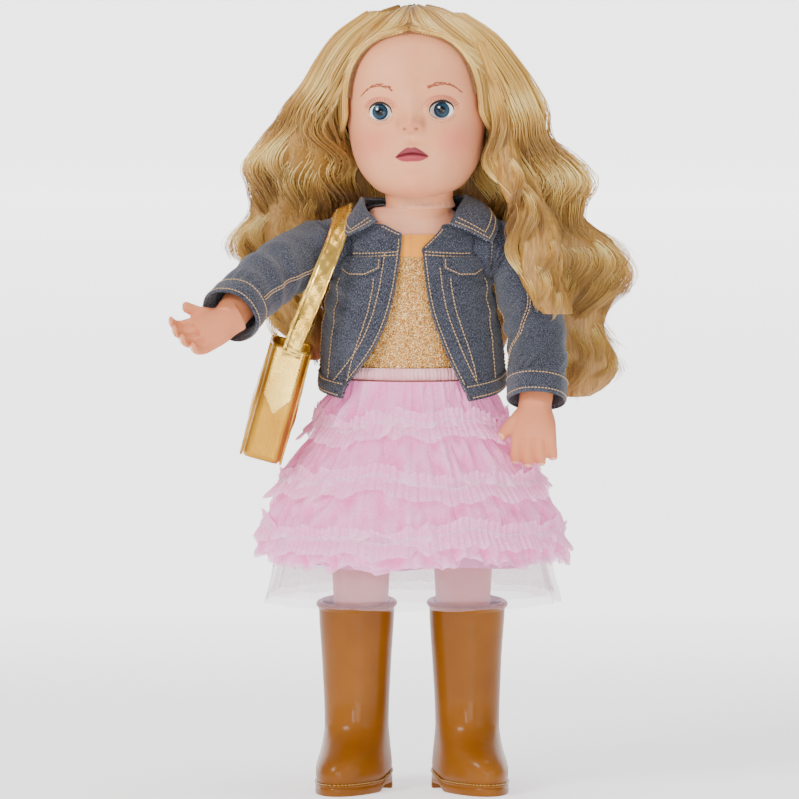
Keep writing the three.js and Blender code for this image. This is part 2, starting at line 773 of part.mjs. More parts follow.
// Eyeball turned on stub axles along its own X axis
function eyeball(side) {
  const profile = [new THREE.Vector2(0, -axleReach), new THREE.Vector2(axleRadius, -axleReach)];
  const meetAngle = Math.asin(axleRadius / eyeRadius);
  const steps = 7;
  for (let i = 0; i <= steps; i += 1) {
    const angle = mix(meetAngle, straight - meetAngle, i / steps);
    profile.push(new THREE.Vector2(eyeRadius * Math.sin(angle), -eyeRadius * Math.cos(angle)));
  }
  profile.push(new THREE.Vector2(axleRadius, axleReach), new THREE.Vector2(0, axleReach));
  const ball = new THREE.LatheGeometry(profile, 12);
  ball.rotateZ(straight / 2);
  ball.translate(side * eyeX, eyeY, eyeHeight);
  return ball;
}

// Weight on a rod that hangs below and behind the ball while the eye is open
function eyeWeight(side) {
  const rodStart = eyeRadius + gap;
  const rodLength = weightReach - rodStart + gap;
  const rod = new THREE.CylinderGeometry(weightRodRadius, weightRodRadius, rodLength, 8);
  rod.translate(0, -rodStart - rodLength / 2, 0);
  const bob = new THREE.CylinderGeometry(weightRadius, weightRadius, weightLength, 12);
  bob.rotateZ(straight / 2);
  bob.translate(0, -weightReach - weightRadius / 2, 0);
  const joined = geometryOf(solid(rod).add(solid(bob)));
  joined.rotateX(straight / 2 + weightAngle);
  joined.translate(side * eyeX, eyeY, eyeHeight);
  return joined;
}

// Slot in the cup for the rod's swing from open to closed
function rodSwing(side) {
  const reach = 2 * eyeRadius;
  const outline = new THREE.Shape();
  const steps = 6;
  const from = swingAngles[0] - straight / 2;
  const to = swingAngles[1];
  outline.moveTo(0, 0);
  for (let i = 0; i <= steps; i += 1) {
    const angle = mix(from, to, i / steps);
    outline.lineTo(reach * Math.cos(angle), reach * Math.sin(angle));
  }
  outline.closePath();
  const width = 2 * (weightRodRadius + runningGap);
  const slot = new THREE.ExtrudeGeometry(outline, { depth: width, bevelEnabled: false });
  const basis = new THREE.Matrix4().makeBasis(
    new THREE.Vector3(0, 1, 0),
    new THREE.Vector3(0, 0, 1),
    new THREE.Vector3(1, 0, 0),
  );
  slot.applyMatrix4(basis);
  slot.translate(side * eyeX - width / 2, eyeY, eyeHeight);
  return solid(slot);
}

// Cup behind the eye, seated against the inside of the face
function eyeCup(side) {
  let cup = eyeSphere(eyeRadius + eyeClearance + cupWall, side);
  cup = cup.intersect(solid(headForm(-headWall - gap, 16, hollowLevels, 0)));
  cup = cup.subtract(eyeSphere(eyeRadius + eyeClearance, side));
  cup = cup.subtract(rodSwing(side));
  cup = cup.subtract(axleBore(side, axleReach + overrun / 2));
  return geometryOf(mainBody(cup));
}

for (const [name, side] of [['left', 1], ['right', -1]]) {
  addPart(headGroup, `eye_${name}`, eyeball(side), eyeAcrylic());
  addPart(headGroup, `eye_weight_${name}`, eyeWeight(side), steel());
  addPart(headGroup, `eye_cup_${name}`, eyeCup(side), whitePlastic());
}

// Scalp with its rooted hair pressed close, open over the face
function hairCap() {
  let cap = solid(headForm(capThickness, 20, skullLevels, 0));
  cap = cap.subtract(solid(headForm(capEase, 20, skullLevels, 0)));
  const face = new THREE.Shape();
  face.moveTo(-hairlineHalfWidth, -overrun);
  face.lineTo(-hairlineHalfWidth, eyeHeight);
  face.quadraticCurveTo(-hairlineHalfWidth, hairlineTop, 0, hairlineTop);
  face.quadraticCurveTo(hairlineHalfWidth, hairlineTop, hairlineHalfWidth, eyeHeight);
  face.lineTo(hairlineHalfWidth, -overrun);
  face.closePath();
  const opening = new THREE.ExtrudeGeometry(face, { depth: 3 * overrun, bevelEnabled: false, curveSegments: 5 });
  opening.rotateX(straight / 2);
  opening.translate(0, -hairlineBottom, 0);
  cap = cap.subtract(solid(opening));
  const below = new THREE.BoxGeometry(6 * overrun, 6 * overrun, 2 * overrun);
  below.translate(0, 0, capBottom - overrun);
  cap = cap.subtract(solid(below));
  return geometryOf(mainBody(cap));
}

addPart(headGroup, 'hair_cap', hairCap(), hairFibre());

// Arms and sleeves share a path: a flat ring at the shoulder, a bend round the armpit,
// then straight upper arm and forearm

function armPlace(arm, place) {
  return new THREE.Vector3(arm.side * (shoulderX + place.out), -place.forward, shoulderZ - place.down);
}

function armPath(arm) {
  const shoulder = new THREE.Vector3(arm.side * shoulderX, 0, shoulderZ);
  const reach = armPlace(arm, arm.elbow).sub(shoulder);
  const out = new THREE.Vector3(arm.side, 0, 0);
  const down = new THREE.Vector3(0, reach.y, reach.z).normalize();
  const bend = Math.atan2(Math.hypot(reach.y, reach.z), Math.abs(reach.x)) * armBendShare;
  return { shoulder, out, down, bend };
}

// Rings of a tube round the arm. Radii are given at the shoulder, elbow and wrist,
// and the tube may start inside the shoulder by an inset and end short of the wrist.
function armRings(arm, sizes) {
  const { shoulder, out, down, bend } = armPath(arm);
  const rings = [];
  const marker = down.clone().negate();
  const pivot = shoulder.clone().addScaledVector(down, sleeveRadius);
  const ring = (centre, along, radius, ripple) => {
    rings.push(crossRing(centre, along, marker, radius, radius, sizes.count, ripple));
  };
  if (sizes.rim) {
    ring(shoulder.clone().addScaledVector(out, -sizes.rim), out, sizes.shoulder);
  }
  const bendSteps = 4;
  let along = out.clone();
  let centre = shoulder.clone();
  for (let i = 0; i <= bendSteps; i += 1) {
    const angle = (bend * i) / bendSteps;
    along = out.clone().multiplyScalar(Math.cos(angle)).addScaledVector(down, Math.sin(angle));
    const lift = out.clone().multiplyScalar(Math.sin(angle)).addScaledVector(down, -Math.cos(angle));
    centre = pivot.clone().addScaledVector(lift, sleeveRadius);
    ring(centre, along, sizes.shoulder);
  }
  const start = centre.clone();
  const path = new THREE.QuadraticBezierCurve3(start, armPlace(arm, arm.elbow), armPlace(arm, arm.wrist));
  const total = path.getLength();
  const steps = sizes.steps;
  for (let i = 1; i <= steps; i += 1) {
    const share = (i / steps) * sizes.endShare;
    const point = path.getPointAt(share);
    const tangent = path.getTangentAt(share);
    const blended = along.clone().lerp(tangent, smooth(2 * share)).normalize();
    const radius = share < 0.5
      ? mix(sizes.shoulder, sizes.elbow, share * 2)
      : mix(sizes.elbow, sizes.wrist, share * 2 - 1);
    const fold = sizes.fold ? sizes.fold * bell((share - foldPlaceShare) * total, total / 4) : 0;
    const ripple = fold ? (angle) => fold * Math.cos(3 * angle + straight * i) : undefined;
    ring(point, blended, radius, ripple);
  }
  return { rings, path };
}

function finger(origin, along, palmNormal, length, radius, curl) {
  const rings = [];
  const steps = 4;
  for (let i = 0; i <= steps; i += 1) {
    const share = i / steps;
    const bend = curl * share * share;
    const direction = along.clone().multiplyScalar(Math.cos(curl * share))
      .addScaledVector(palmNormal, Math.sin(curl * share));
    const centre = origin.clone().addScaledVector(along, length * share * Math.cos(bend))
      .addScaledVector(palmNormal, length * share * Math.sin(bend));
    const taper = radius * (1 - tipShares[0] * share) * (i === steps ? tipShares[1] : 1);
    rings.push(crossRing(centre, direction, palmNormal, taper, taper, 6));
  }
  return solid(loft(rings));
}

function handSolid(arm) {
  const along = new THREE.Vector3(...arm.handShares).normalize();
  const facing = new THREE.Vector3(...arm.palmShares);
  const palmNormal = facing.addScaledVector(along, -facing.dot(along)).normalize();
  const thumbSide = new THREE.Vector3().crossVectors(palmNormal, along).multiplyScalar(arm.side);
  const wrist = armPlace(arm, arm.wrist);
  const rings = [];
  for (const [reach, width, thickness] of palmRingShares) {
    const centre = wrist.clone().addScaledVector(along, reach * palmLength);
    rings.push(crossRing(centre, along, palmNormal, width * palmHalfWidth, thickness * palmHalfThickness, 10));
  }
  let hand = solid(loft(rings));
  for (const [across, length] of fingerShares) {
    const origin = wrist.clone().addScaledVector(along, palmLength * fingerRootShare)
      .addScaledVector(thumbSide, across * palmHalfWidth);
    const spread = along.clone().addScaledVector(thumbSide, across * fingerSpread).normalize();
    const reach = length * (fingerLength + palmLength * (1 - fingerRootShare));
    hand = hand.add(finger(origin, spread, palmNormal, reach, fingerRadius, arm.curl * 2));
  }
  const thumbOrigin = wrist.clone().addScaledVector(along, palmLength * thumbRootShares[0])
    .addScaledVector(thumbSide, palmHalfWidth * thumbRootShares[1]);
  const thumbAlong = along.clone().addScaledVector(thumbSide, thumbSpread).normalize();
  return hand.add(finger(thumbOrigin, thumbAlong, palmNormal, thumbLength, thumbRadius, arm.curl));
}

function vinylArm(arm) {
  const { rings } = armRings(arm, {
    shoulder: shoulderRadius, elbow: upperArmRadius, wrist: wristRadius, count: 12, steps: 6, endShare: 1,
  });
  let body = solid(loft(rings)).add(handSolid(arm));
  const pocket = knotRadius + runningGap;
  const fromX = arm.side > 0 ? shoulderX - overrun : -armKnotX - pocket;
  const toX = arm.side > 0 ? armKnotX + pocket : -shoulderX + overrun;
  body = body.subtract(solid(barAlongX(pocket, fromX, toX, 0, shoulderZ, 12)));
  return geometryOf(mainBody(body));
}

function tubeShell(outer, inner) {
  return loft([...outer, ...inner.slice().reverse()], true);
}

function sleeve(arm) {
  const sizes = { count: 12, steps: 5, endShare: sleeveEndShare, rim: sleeveRimWidth, fold: foldHeight };
  const outer = armRings(arm, { ...sizes, shoulder: sleeveRadius, elbow: sleeveRadius, wrist: cuffRadius });
  const inner = armRings(arm, {
    ...sizes,
    shoulder: sleeveRadius - sleeveWall,
    elbow: sleeveRadius - sleeveWall,
    wrist: cuffRadius - sleeveWall,
  });
  return tubeShell(outer.rings, inner.rings);
}

// Solid of a sleeve with a margin all round, for what has to stay clear of it
function sleeveRoom(arm, margin) {
  const radius = sleeveRadius + foldHeight + margin;
  const sizes = { count: 12, steps: 5, endShare: 1, rim: sleeveRimWidth + margin };
  return solid(loft(armRings(arm, { ...sizes, shoulder: radius, elbow: radius, wrist: radius }).rings));
}

function cuff(arm) {
  const { path } = armRings(arm, {
    shoulder: sleeveRadius, elbow: sleeveRadius, wrist: cuffRadius, count: 12, steps: 2, endShare: 1,
  });
  const length = path.getLength();
  const from = path.getPointAt(sleeveEndShare);
  const along = path.getTangentAt(sleeveEndShare);
  const rows = [0, 1];
  const marker = armPath(arm).down.clone().negate();
  const build = (radius) => rows.map((share) => {
    const centre = from.clone().addScaledVector(along, gap + share * Math.min(cuffLength, length));
    return crossRing(centre, along, marker, radius, radius, 14);
  });
  return tubeShell(build(cuffRadius + cuffWall / 2), build(cuffRadius - cuffWall / 2));
}

for (const [name, arm] of Object.entries(arms)) {
  addPart(doll, `arm_${name}`, vinylArm(arm), skinVinyl());
  addPart(doll, `sleeve_${name}`, sleeve(arm), denimCloth());
  addPart(doll, `cuff_${name}`, cuff(arm), denimCloth());
  const discStart = shoulderX - gap - shoulderDiscWidth;
  const disc = solid(barAlongX(shoulderDiscRadius, discStart, discStart + shoulderDiscWidth, 0, shoulderZ, 20));
  const bore = solid(barAlongX(cordRadius + runningGap, discStart - overrun, discStart + overrun, 0, shoulderZ, 10));
  const ring = geometryOf(disc.subtract(bore));
  if (arm.side < 0) ring.rotateZ(straight);
  addPart(doll, `shoulder_disc_${name}`, ring, whitePlastic());
}

// Legs with a barrel-shaped hip, and moulded boots

const legSizes = { height: hipZ, halfWidth: legHalfWidth, front: footReach, back: calfReach };
const bootSizes = { height: bootTopZ, halfWidth: bootHalfWidth, front: toeReach, back: heelReach };

function stationRing(shares, sizes, z, inset, count) {
  const [halfWidth, front, back] = readTable(shares, z / sizes.height);
  return ringAngles(count).map((angle) => eggPoint(
    angle,
    halfWidth * sizes.halfWidth - inset,
    front * sizes.front - inset,
    back * sizes.back - inset,
    z,
  ));
}

function vinylLeg(side) {
  const rings = legShares.map(([share]) => stationRing(legShares, legSizes, share * hipZ, 0, 10));
  const shin = loft(rings);
  const legBottomZ = legShares[0][0] * hipZ;
  const footTurn = new THREE.Matrix4().makeRotationZ(side * toeOut);
  const position = shin.attributes.position;
  for (let i = 0; i < position.count; i += 1) {
    const point = new THREE.Vector3().fromBufferAttribute(position, i);
    const low = 1 - smooth((point.z - legBottomZ) / (bootTopZ - legBottomZ));
    const turned = point.clone().applyMatrix4(footTurn);
    point.lerp(turned, low);
    point.x += side * mix(hipX, bootX, low);
    position.setXYZ(i, point.x, point.y, point.z);
  }
  const lower = barrelShares.map(([radius, width]) => (
    new THREE.Vector2(radius * hipRadius, -width * hipHalfWidth)
  ));
  const upper = barrelShares.map(([radius, width]) => (
    new THREE.Vector2(radius * hipRadius, width * hipHalfWidth)
  ));
  const profile = [...lower, ...upper.reverse()];
  const barrel = new THREE.LatheGeometry(profile, 16);
  barrel.rotateZ(straight / 2);
  barrel.translate(side * hipX, 0, hipZ);
  const pocket = knotRadius + runningGap;
  const inner = side > 0 ? -overrun : -(legKnotX + pocket);
  const outer = side > 0 ? legKnotX + pocket : overrun;
  const hollow = solid(barAlongX(pocket, inner, outer, 0, hipZ, 12));
  return geometryOf(mainBody(solid(shin).add(solid(barrel)).subtract(hollow)));
}

// Underside of the boot's upper: low at the toe, rising over the arch to the heel
function soleProfile(lift) {
  const toe = -2 * toeReach;
  const heel = 2 * heelReach;
  return [
    new THREE.Vector2(toe, soleThickness + lift),
    new THREE.Vector2(archFrontY, soleThickness + lift),
    new THREE.Vector2(heelBreastY, heelHeight + lift),
    new THREE.Vector2(heel, heelHeight + lift),
  ];
}

function alongX(shape, halfWidth) {
  const block = new THREE.ExtrudeGeometry(shape, { depth: 2 * halfWidth, bevelEnabled: false });
  const basis = new THREE.Matrix4().makeBasis(
    new THREE.Vector3(0, 1, 0),
    new THREE.Vector3(0, 0, 1),
    new THREE.Vector3(1, 0, 0),
  );
  block.applyMatrix4(basis);
  block.translate(-halfWidth, 0, 0);
  return block;
}

function placeBoot(geometry, side) {
  geometry.rotateZ(side * toeOut);
  geometry.translate(side * bootX, 0, 0);
  return geometry;
}

function bootUpper(side) {
  const count = 14;
  const tilt = (rings, amount) => rings.map((ring) => ring.map((point) => {
    const raised = point.clone();
    raised.z += amount * point.y * smooth((point.z - bootTopZ / 2) / (bootTopZ / 2));
    return raised;
  }));
  const outer = bootShares.map(([share]) => stationRing(bootShares, bootSizes, share * bootTopZ, 0, count));
  const rimShares = [[0.15, 1], [0.55, 1], [1, 0.2]];
  const rimStart = bootShares[bootShares.length - 1][0];
  for (const [height, bulge] of rimShares) {
    const z = bootTopZ * mix(rimStart, 1, height);
    outer.push(stationRing(bootShares, bootSizes, z, -bulge * rimRoll, count));
  }
  const floorShare = (heelHeight + insoleThickness) / bootTopZ;
  const innerShares = [1, 0.72, 0.432, 0.279, 0.225, floorShare];
  const inner = innerShares.map((share) => (
    stationRing(bootShares, bootSizes, share * bootTopZ, bootWall, count)
  ));
  const upper = solid(loft(tilt([...outer, ...inner], rimTilt)));
  const underside = new THREE.Shape([
    new THREE.Vector2(-2 * toeReach, -overrun),
    new THREE.Vector2(2 * heelReach, -overrun),
    ...soleProfile(gap).reverse(),
  ]);
  return placeBoot(geometryOf(mainBody(upper.subtract(solid(alongX(underside, overrun))))), side);
}

function bootSole(side) {
  const widest = bootShares[1][0] * bootTopZ;
  const ring = stationRing(bootShares, bootSizes, widest, -weltReach, 20);
  const outline = new THREE.Shape(ring.map((point) => new THREE.Vector2(point.x, point.y)));
  const plate = new THREE.ExtrudeGeometry(outline, { depth: heelHeight + overrun, bevelEnabled: false });
  const sideView = new THREE.Shape([
    new THREE.Vector2(-2 * toeReach, 0),
    new THREE.Vector2(archFrontY - archHeight, 0),
    new THREE.Vector2(archFrontY + archHeight, archHeight),
    new THREE.Vector2(heelBreastY - archRound, archHeight + archRound),
    new THREE.Vector2(heelBreastY, 0),
    new THREE.Vector2(2 * heelReach, 0),
    ...soleProfile(0).reverse(),
  ]);
  const sole = solid(plate).intersect(solid(alongX(sideView, overrun)));
  return placeBoot(geometryOf(mainBody(sole)), side);
}

for (const [name, side] of [['left', 1], ['right', -1]]) {
  addPart(doll, `leg_${name}`, vinylLeg(side), skinVinyl());
  addPart(doll, `boot_${name}`, bootUpper(side), bootVinyl());
  addPart(doll, `boot_sole_${name}`, bootSole(side), bootVinyl());
}

// Cutter that keeps clothes on the body clear of a turning sleeve
function armhole(side) {
  const radius = sleeveRadius + armholeClearance;
  const from = side > 0 ? torsoHalfWidth * 0.8 : -torsoHalfWidth - overrun;
  const to = side > 0 ? torsoHalfWidth + overrun : -torsoHalfWidth * 0.8;
  return solid(barAlongX(radius, from, to, 0, shoulderZ, 28));
}

function withArmholes(manifold) {
  return manifold.subtract(armhole(1)).subtract(armhole(-1));
}

// Knit top and its ribbed neckband

function frontShare(angle) {
  return (1 + Math.cos(angle)) / 2;
}

function necklineZ(angle) {
  return mix(necklineBackZ, necklineFrontZ, smooth(frontShare(angle)));
}

function bandBottomZ(angle) {
  return necklineZ(angle) - mix(neckbandBackShare, 1, smooth(frontShare(angle))) * neckbandWidth;
}

function bodyShell(bottomOf, topOf, thickness, levelShares) {
  const rows = (lift) => levelShares.map((share) => (
    ringAngles(20).map((angle) => onBody(mix(bottomOf(angle), topOf(angle), share), angle, lift))
  ));
  return tubeShell(rows(clothEase + thickness), rows(clothEase));
}

function knitTop() {
  const top = bodyShell(() => topBottomZ, (angle) => bandBottomZ(angle) - gap, topThickness, topLevelShares);
  return geometryOf(mainBody(withArmholes(solid(top))));
}

function neckband() {
  return bodyShell(bandBottomZ, necklineZ, neckbandThickness, [0, 0.5, 1]);
}

addPart(doll, 'top_body', knitTop(), glitterKnit());
addPart(doll, 'top_neckband', neckband(), mustardRib());

// Denim jacket: a back, two open fronts, a hem band, collar, and pocket flaps

function jacketTopZ(angle) {
  return mix(jacketNeckBackZ, jacketNeckFrontZ, smooth(frontShare(angle)));
}

function hemZ(angle) {
  return mix(hemSideZ, hemFrontZ, Math.max(0, Math.cos(angle)));
}

function jacketLiftAt(z, angle) {
  const low = smooth((shoulderZ - z) / (shoulderZ - hemFrontZ));
  const wave = 1 + hemWaveShare * Math.cos(hemWaveCount * angle);
  return jacketLift + low * hemFlare * wave;
}

function edgeAngle(z, side) {
  const height = jacketNeckFrontZ - hemFrontZ;
  const [left, right] = readTable(frontEdgeShares, (z - hemFrontZ) / height);
  const reach = frontOpening * (side > 0 ? left : right);
  const halfWidth = torsoSection(z).halfWidth + jacketLiftAt(z, 0.6);
  return Math.asin(clamp01(reach / halfWidth));
}

function jacketPanel(fromAngle, toAngle, bottomOf, topOf, columns, levelShares, thickness) {
  const rows = (extra) => levelShares.map((share) => {
    const row = [];
    for (let c = 0; c <= columns; c += 1) {
      const roughAngle = mix(fromAngle(hemFrontZ), toAngle(hemFrontZ), c / columns);
      let z = mix(bottomOf(roughAngle), topOf(roughAngle), share);
      const angle = mix(fromAngle(z), toAngle(z), c / columns);
      z = mix(bottomOf(angle), topOf(angle), share);
      row.push(onBody(z, angle, jacketLiftAt(z, angle) + extra));
    }
    return row;
  });
  return sheet(rows(thickness), rows(0));
}

const seamAngle = straight / 2;
const seamGapAngle = gap / (2 * torsoHalfWidth);
const bandTopZ = (angle) => hemZ(angle) + hemBandHeight;
const panelBottomZ = (angle) => bandTopZ(angle) + gap;

function frontSpan(side) {
  return [(z) => side * edgeAngle(z, side), () => side * (seamAngle - seamGapAngle)];
}

function jacketFront(side) {
  const [from, to] = frontSpan(side);
  const panel = jacketPanel(from, to, panelBottomZ, jacketTopZ, 7, frontLevelShares, denim);
  return geometryOf(mainBody(withArmholes(solid(panel))));
}

function jacketBack() {
  const from = () => seamAngle + seamGapAngle;
  const to = () => turn - seamAngle - seamGapAngle;
  const panel = jacketPanel(from, to, panelBottomZ, jacketTopZ, 12, backLevelShares, denim);
  return geometryOf(mainBody(withArmholes(solid(panel))));
}

function jacketHemBand() {
  const from = (z) => edgeAngle(z, 1);
  const to = (z) => turn - edgeAngle(z, -1);
  return jacketPanel(from, to, hemZ, bandTopZ, 26, [0, 1], denim * hemBandShare);
}

function collar(side) {
  const columns = 8;
  const backAngle = straight - seamGapAngle * 2;
  const stand = (share) => mix(backAngle, collarFrontAngle, share) * side;
  const ring = (share, down, extra) => {
    const angle = stand(share);
    const [turnShare, pointShare] = collarPointShares;
    const width = mix(collarWidth, collarPoint, smooth((share - pointShare) / (1 - pointShare)));
    const fall = down * width * mix(...collarFallShares, share);
    const z = Math.min(jacketTopZ(angle) - fall, torsoTopZ - 3 * gap);
    const spread = angle + side * down * collarSpread * smooth((share - turnShare) / (1 - turnShare));
    return onBody(z, spread, jacketLiftAt(z, angle) + denim + 2 * gap + extra);
  };
  const rows = (extra) => [0, 0.33, 0.66, 1].map((down) => (
    Array.from({ length: columns + 1 }, (_, c) => ring(c / columns, down, extra))
  ));
  return geometryOf(mainBody(withArmholes(solid(sheet(rows(denim), rows(0))))));
}

function pocketFlap(side) {
  const columns = 6;
  const rows = (extra) => [0, 1].map((down) => Array.from({ length: columns + 1 }, (_, c) => {
    const share = c / columns;
    const angle = side * mix(...flapAngles, share);
    const corner = 1 - Math.abs(2 * share - 1);
    const z = flapTopZ - down * (flapHeight - flapPointDrop + flapPointDrop * Math.min(1, corner * flapSlope));
    return onBody(z, angle, jacketLiftAt(z, angle) + denim + gap + extra);
  }));
  return geometryOf(mainBody(withArmholes(solid(sheet(rows(flapThickness), rows(0))))));
}

addPart(doll, 'jacket_back', jacketBack(), denimCloth());
addPart(doll, 'jacket_hem_band', jacketHemBand(), denimCloth());
for (const [name, side] of [['left', 1], ['right', -1]]) {
  addPart(doll, `jacket_front_${name}`, jacketFront(side), denimCloth());
  addPart(doll, `jacket_collar_${name}`, collar(side), denimCloth());
  addPart(doll, `pocket_flap_${name}`, pocketFlap(side), denimCloth());
}

// Skirt: elastic waistband, four gathered tiers, a lining and a longer sheer underlayer

const skirtTopZ = waistbandBottomZ - 2 * gap;

function skirtRadius(z) {
  const [share] = readTable(skirtShares, (z - skirtHemZ) / (waistbandBottomZ - skirtHemZ));
  return mix(skirtWaistHalfWidth, skirtHalfWidth, share);
}

// Least radius of a layer that hangs round the thighs
function thighRoom(z) {
  return (hipX + hipHalfWidth + gap) * smooth((hipZ + hipRadius - z) / hipRadius);
}

function skirtPoint(angle, radius, z) {
  return eggPoint(angle, radius, radius * skirtDepthShare, radius * skirtDepthShare, z);
}

function gatheredTier({ topShare, bottomShare, topInset, flare, bow = 2, gathers, count, levels }) {
  const topZ = mix(skirtHemZ, skirtTopZ, topShare);
  const bottomZ = mix(skirtHemZ, skirtTopZ, bottomShare);
  const rows = (skin) => Array.from({ length: levels + 1 }, (_, i) => {
    const share = i / levels;
    const z = mix(topZ, bottomZ, share);
    return ringAngles(count).map((angle) => {
      const fold = gathers * share * Math.cos(gatherCount * angle + topZ);
      const hung = Math.max(skirtRadius(z) + mix(-topInset, flare, share ** bow), thighRoom(z));
      const radius = hung + fold + skin;
      return skirtPoint(angle, radius, z);
    });
  });
  return tubeShell(rows(tulle), rows(0));
}

function skirtWaistband() {
  return bodyShell(() => waistbandBottomZ, () => waistbandTopZ, waistbandThickness, [0, 1]);
}

addPart(doll, 'skirt_waistband', skirtWaistband(), pinkTulle());
tiers.forEach(({ name, topShare, bottomShare, levels }, index) => {
  const topInset = index === 0 ? 0 : ruffleTuck;
  const cloth = { topShare, bottomShare, topInset, flare: ruffleFlare, gathers: gatherHeight, count: 40, levels };
  addPart(doll, name, gatheredTier(cloth), pinkTulle());
});
addPart(doll, 'skirt_lining', gatheredTier({
  topShare: 1,
  bottomShare: liningBottomShare,
  topInset: liningTopInset,
  flare: -liningInset,
  bow: 1.5,
  gathers: 0,
  count: 20,
  levels: 4,
}), pinkTulle());
addPart(doll, 'skirt_underlayer', gatheredTier({
  topShare: underlayerTopShare,
  bottomShare: 0,
  topInset: underlayerInset,
  flare: 0,
  gathers: gatherHeight,
  count: 40,
  levels: 1,
}), whiteTulle());

// Tote bag, leaning out against the skirt, with a strap over the right shoulder

const bagGroup = new THREE.Group();
bagGroup.position.set(bagX, 0, bagTopZ);
bagGroup.rotation.y = bagLean;
doll.add(bagGroup);

function bagBody() {
  const outer = new THREE.BoxGeometry(2 * bagHalfWidth, 2 * bagHalfDepth, bagHeight);
  outer.translate(0, 0, -bagHeight / 2);
  const inner = new THREE.BoxGeometry(2 * (bagHalfWidth - bagSkin), 3 * bagHalfDepth, bagHeight);
  inner.translate(0, 0, -bagHeight / 2 + bagSkin);
  return geometryOf(solid(outer).subtract(solid(inner)));
}

function bagGusset(end) {
  const panel = new THREE.BoxGeometry(2 * bagHalfWidth, bagSkin, bagHeight);
  panel.translate(0, end * (bagHalfDepth + gap + bagSkin / 2), -bagHeight / 2);
  return panel;
}

function bagTab(end) {
  const shape = new THREE.Shape([
    new THREE.Vector2(-tabHalfWidth, -tabTopDrop),
    new THREE.Vector2(-tabHalfWidth, -tabLength + tabPoint),
    new THREE.Vector2(0, -tabLength),
    new THREE.Vector2(tabHalfWidth, -tabLength + tabPoint),
    new THREE.Vector2(tabHalfWidth, -tabTopDrop),
  ]);
  const tab = new THREE.ExtrudeGeometry(shape, { depth: bagSkin, bevelEnabled: false });
  tab.rotateX(straight / 2);
  const face = bagHalfDepth + 2 * gap + bagSkin;
  tab.translate(0, end > 0 ? face + bagSkin : -face, 0);
  return tab;
}

addPart(bagGroup, 'bag_body', bagBody(), goldFoil());
for (const [name, end] of [['front', -1], ['back', 1]]) {
  addPart(bagGroup, `bag_gusset_${name}`, bagGusset(end), goldFoil());
  addPart(bagGroup, `bag_tab_${name}`, bagTab(end), goldFoil());
}

const tabFace = bagHalfDepth + 3 * gap + 2 * bagSkin;

function strapRoute() {
  const last = strapRouteShares.length - 1;
  const front = strapRouteShares.map(([inward, upward], index) => {
    const reach = mix(tabFace, strapChestReach, smooth(index / last));
    const y = -reach * (index < last ? 1 : strapShoulderShare);
    return new THREE.Vector3(mix(bagX, strapTopX, inward), y, mix(bagTopZ, strapTopZ, upward));
  });
  front.unshift(new THREE.Vector3(bagX, -tabFace, bagTopZ - strapOverlap));
  const back = front.map((point) => new THREE.Vector3(point.x, -point.y, point.z)).reverse();
  const top = new THREE.Vector3(strapTopX, 0, strapTopZ);
  return new THREE.CatmullRomCurve3([...front, top, ...back], false, 'centripetal');
}

function strapForm(halfWidth, below, above, steps) {
  const route = strapRoute();
  const outer = [];
  const inner = [];
  for (let i = 0; i <= steps; i += 1) {
    const point = route.getPoint(i / steps);
    const tangent = route.getTangent(i / steps);
    const level = smooth(1 - Math.abs(point.y) / strapChestReach);
    const across = new THREE.Vector3(1, 0, level * strapTwist).normalize();
    across.addScaledVector(tangent, -across.dot(tangent)).normalize();
    const outward = new THREE.Vector3().crossVectors(across, tangent).normalize();
    const row = (depth) => [-1, 1].map((edge) => point.clone()
      .addScaledVector(across, edge * halfWidth)
      .addScaledVector(outward, depth));
    outer.push(row(above));
    inner.push(row(-below));
  }
  return sheet(outer, inner);
}

addPart(doll, 'bag_strap', strapForm(strapHalfWidth, 0, strapThickness, 24), goldFoil());

// Loose hair in wavy masses. They leave room for the scalp, the clothes and the strap.
function clothesRoom(margin) {
  const levels = 8;
  const lift = 2 * denim + 2 * gap + margin;
  const rings = Array.from({ length: levels + 1 }, (_, i) => {
    const z = mix(hemFrontZ, torsoTopZ - 3 * gap, i / levels);
    return ringAngles(20).map((angle) => onBody(z, angle, jacketLiftAt(z, angle) + lift));
  });
  return solid(loft(rings));
}

function scalpRoom(margin) {
  const scalp = headForm(capThickness + margin, 20, skullLevels, 0);
  scalp.applyMatrix4(headGroup.matrix);
  return solid(scalp);
}

function hairMass(mass, phase, rooms) {
  const rings = mass.rows.map(([height, outer, inner, middle, half]) => {
    const wave = hairWaveShare * Math.sin(hairWaveCount * height * straight + phase) * smooth(2 - height);
    const centreX = ((outer + inner) / 2 + wave) * hairSpan * mass.side;
    const halfWidth = ((outer - inner) / 2) * hairSpan;
    const reach = half * hairSpan;
    const z = hairTipZ + height * hairSpan;
    return ringAngles(12).map((angle) => eggPoint(angle, halfWidth, reach, reach, z, centreX, middle * hairSpan));
  });
  const cut = rooms.reduce((form, room) => form.subtract(room), solid(loft(rings)));
  return geometryOf(mainBody(cut));
}

const strapRoom = solid(strapForm(strapHalfWidth + gap, gap, strapThickness + gap, 24));
const hairRooms = [
  scalpRoom(gap),
  clothesRoom(gap),
  sleeveRoom(arms.left, gap),
  sleeveRoom(arms.right, gap),
  strapRoom,
];
Object.entries(hairMassShares).forEach(([name, mass], index) => {
  addPart(doll, name, hairMass(mass, index, hairRooms), hairFibre());
});

// The origin is on the floor, in the middle of the doll's footprint
doll.updateMatrixWorld(true);
const extent = new THREE.Box3().setFromObject(doll);
doll.position.set(-(extent.min.x + extent.max.x) / 2, -(extent.min.y + extent.max.y) / 2, -extent.min.z);

export default doll;
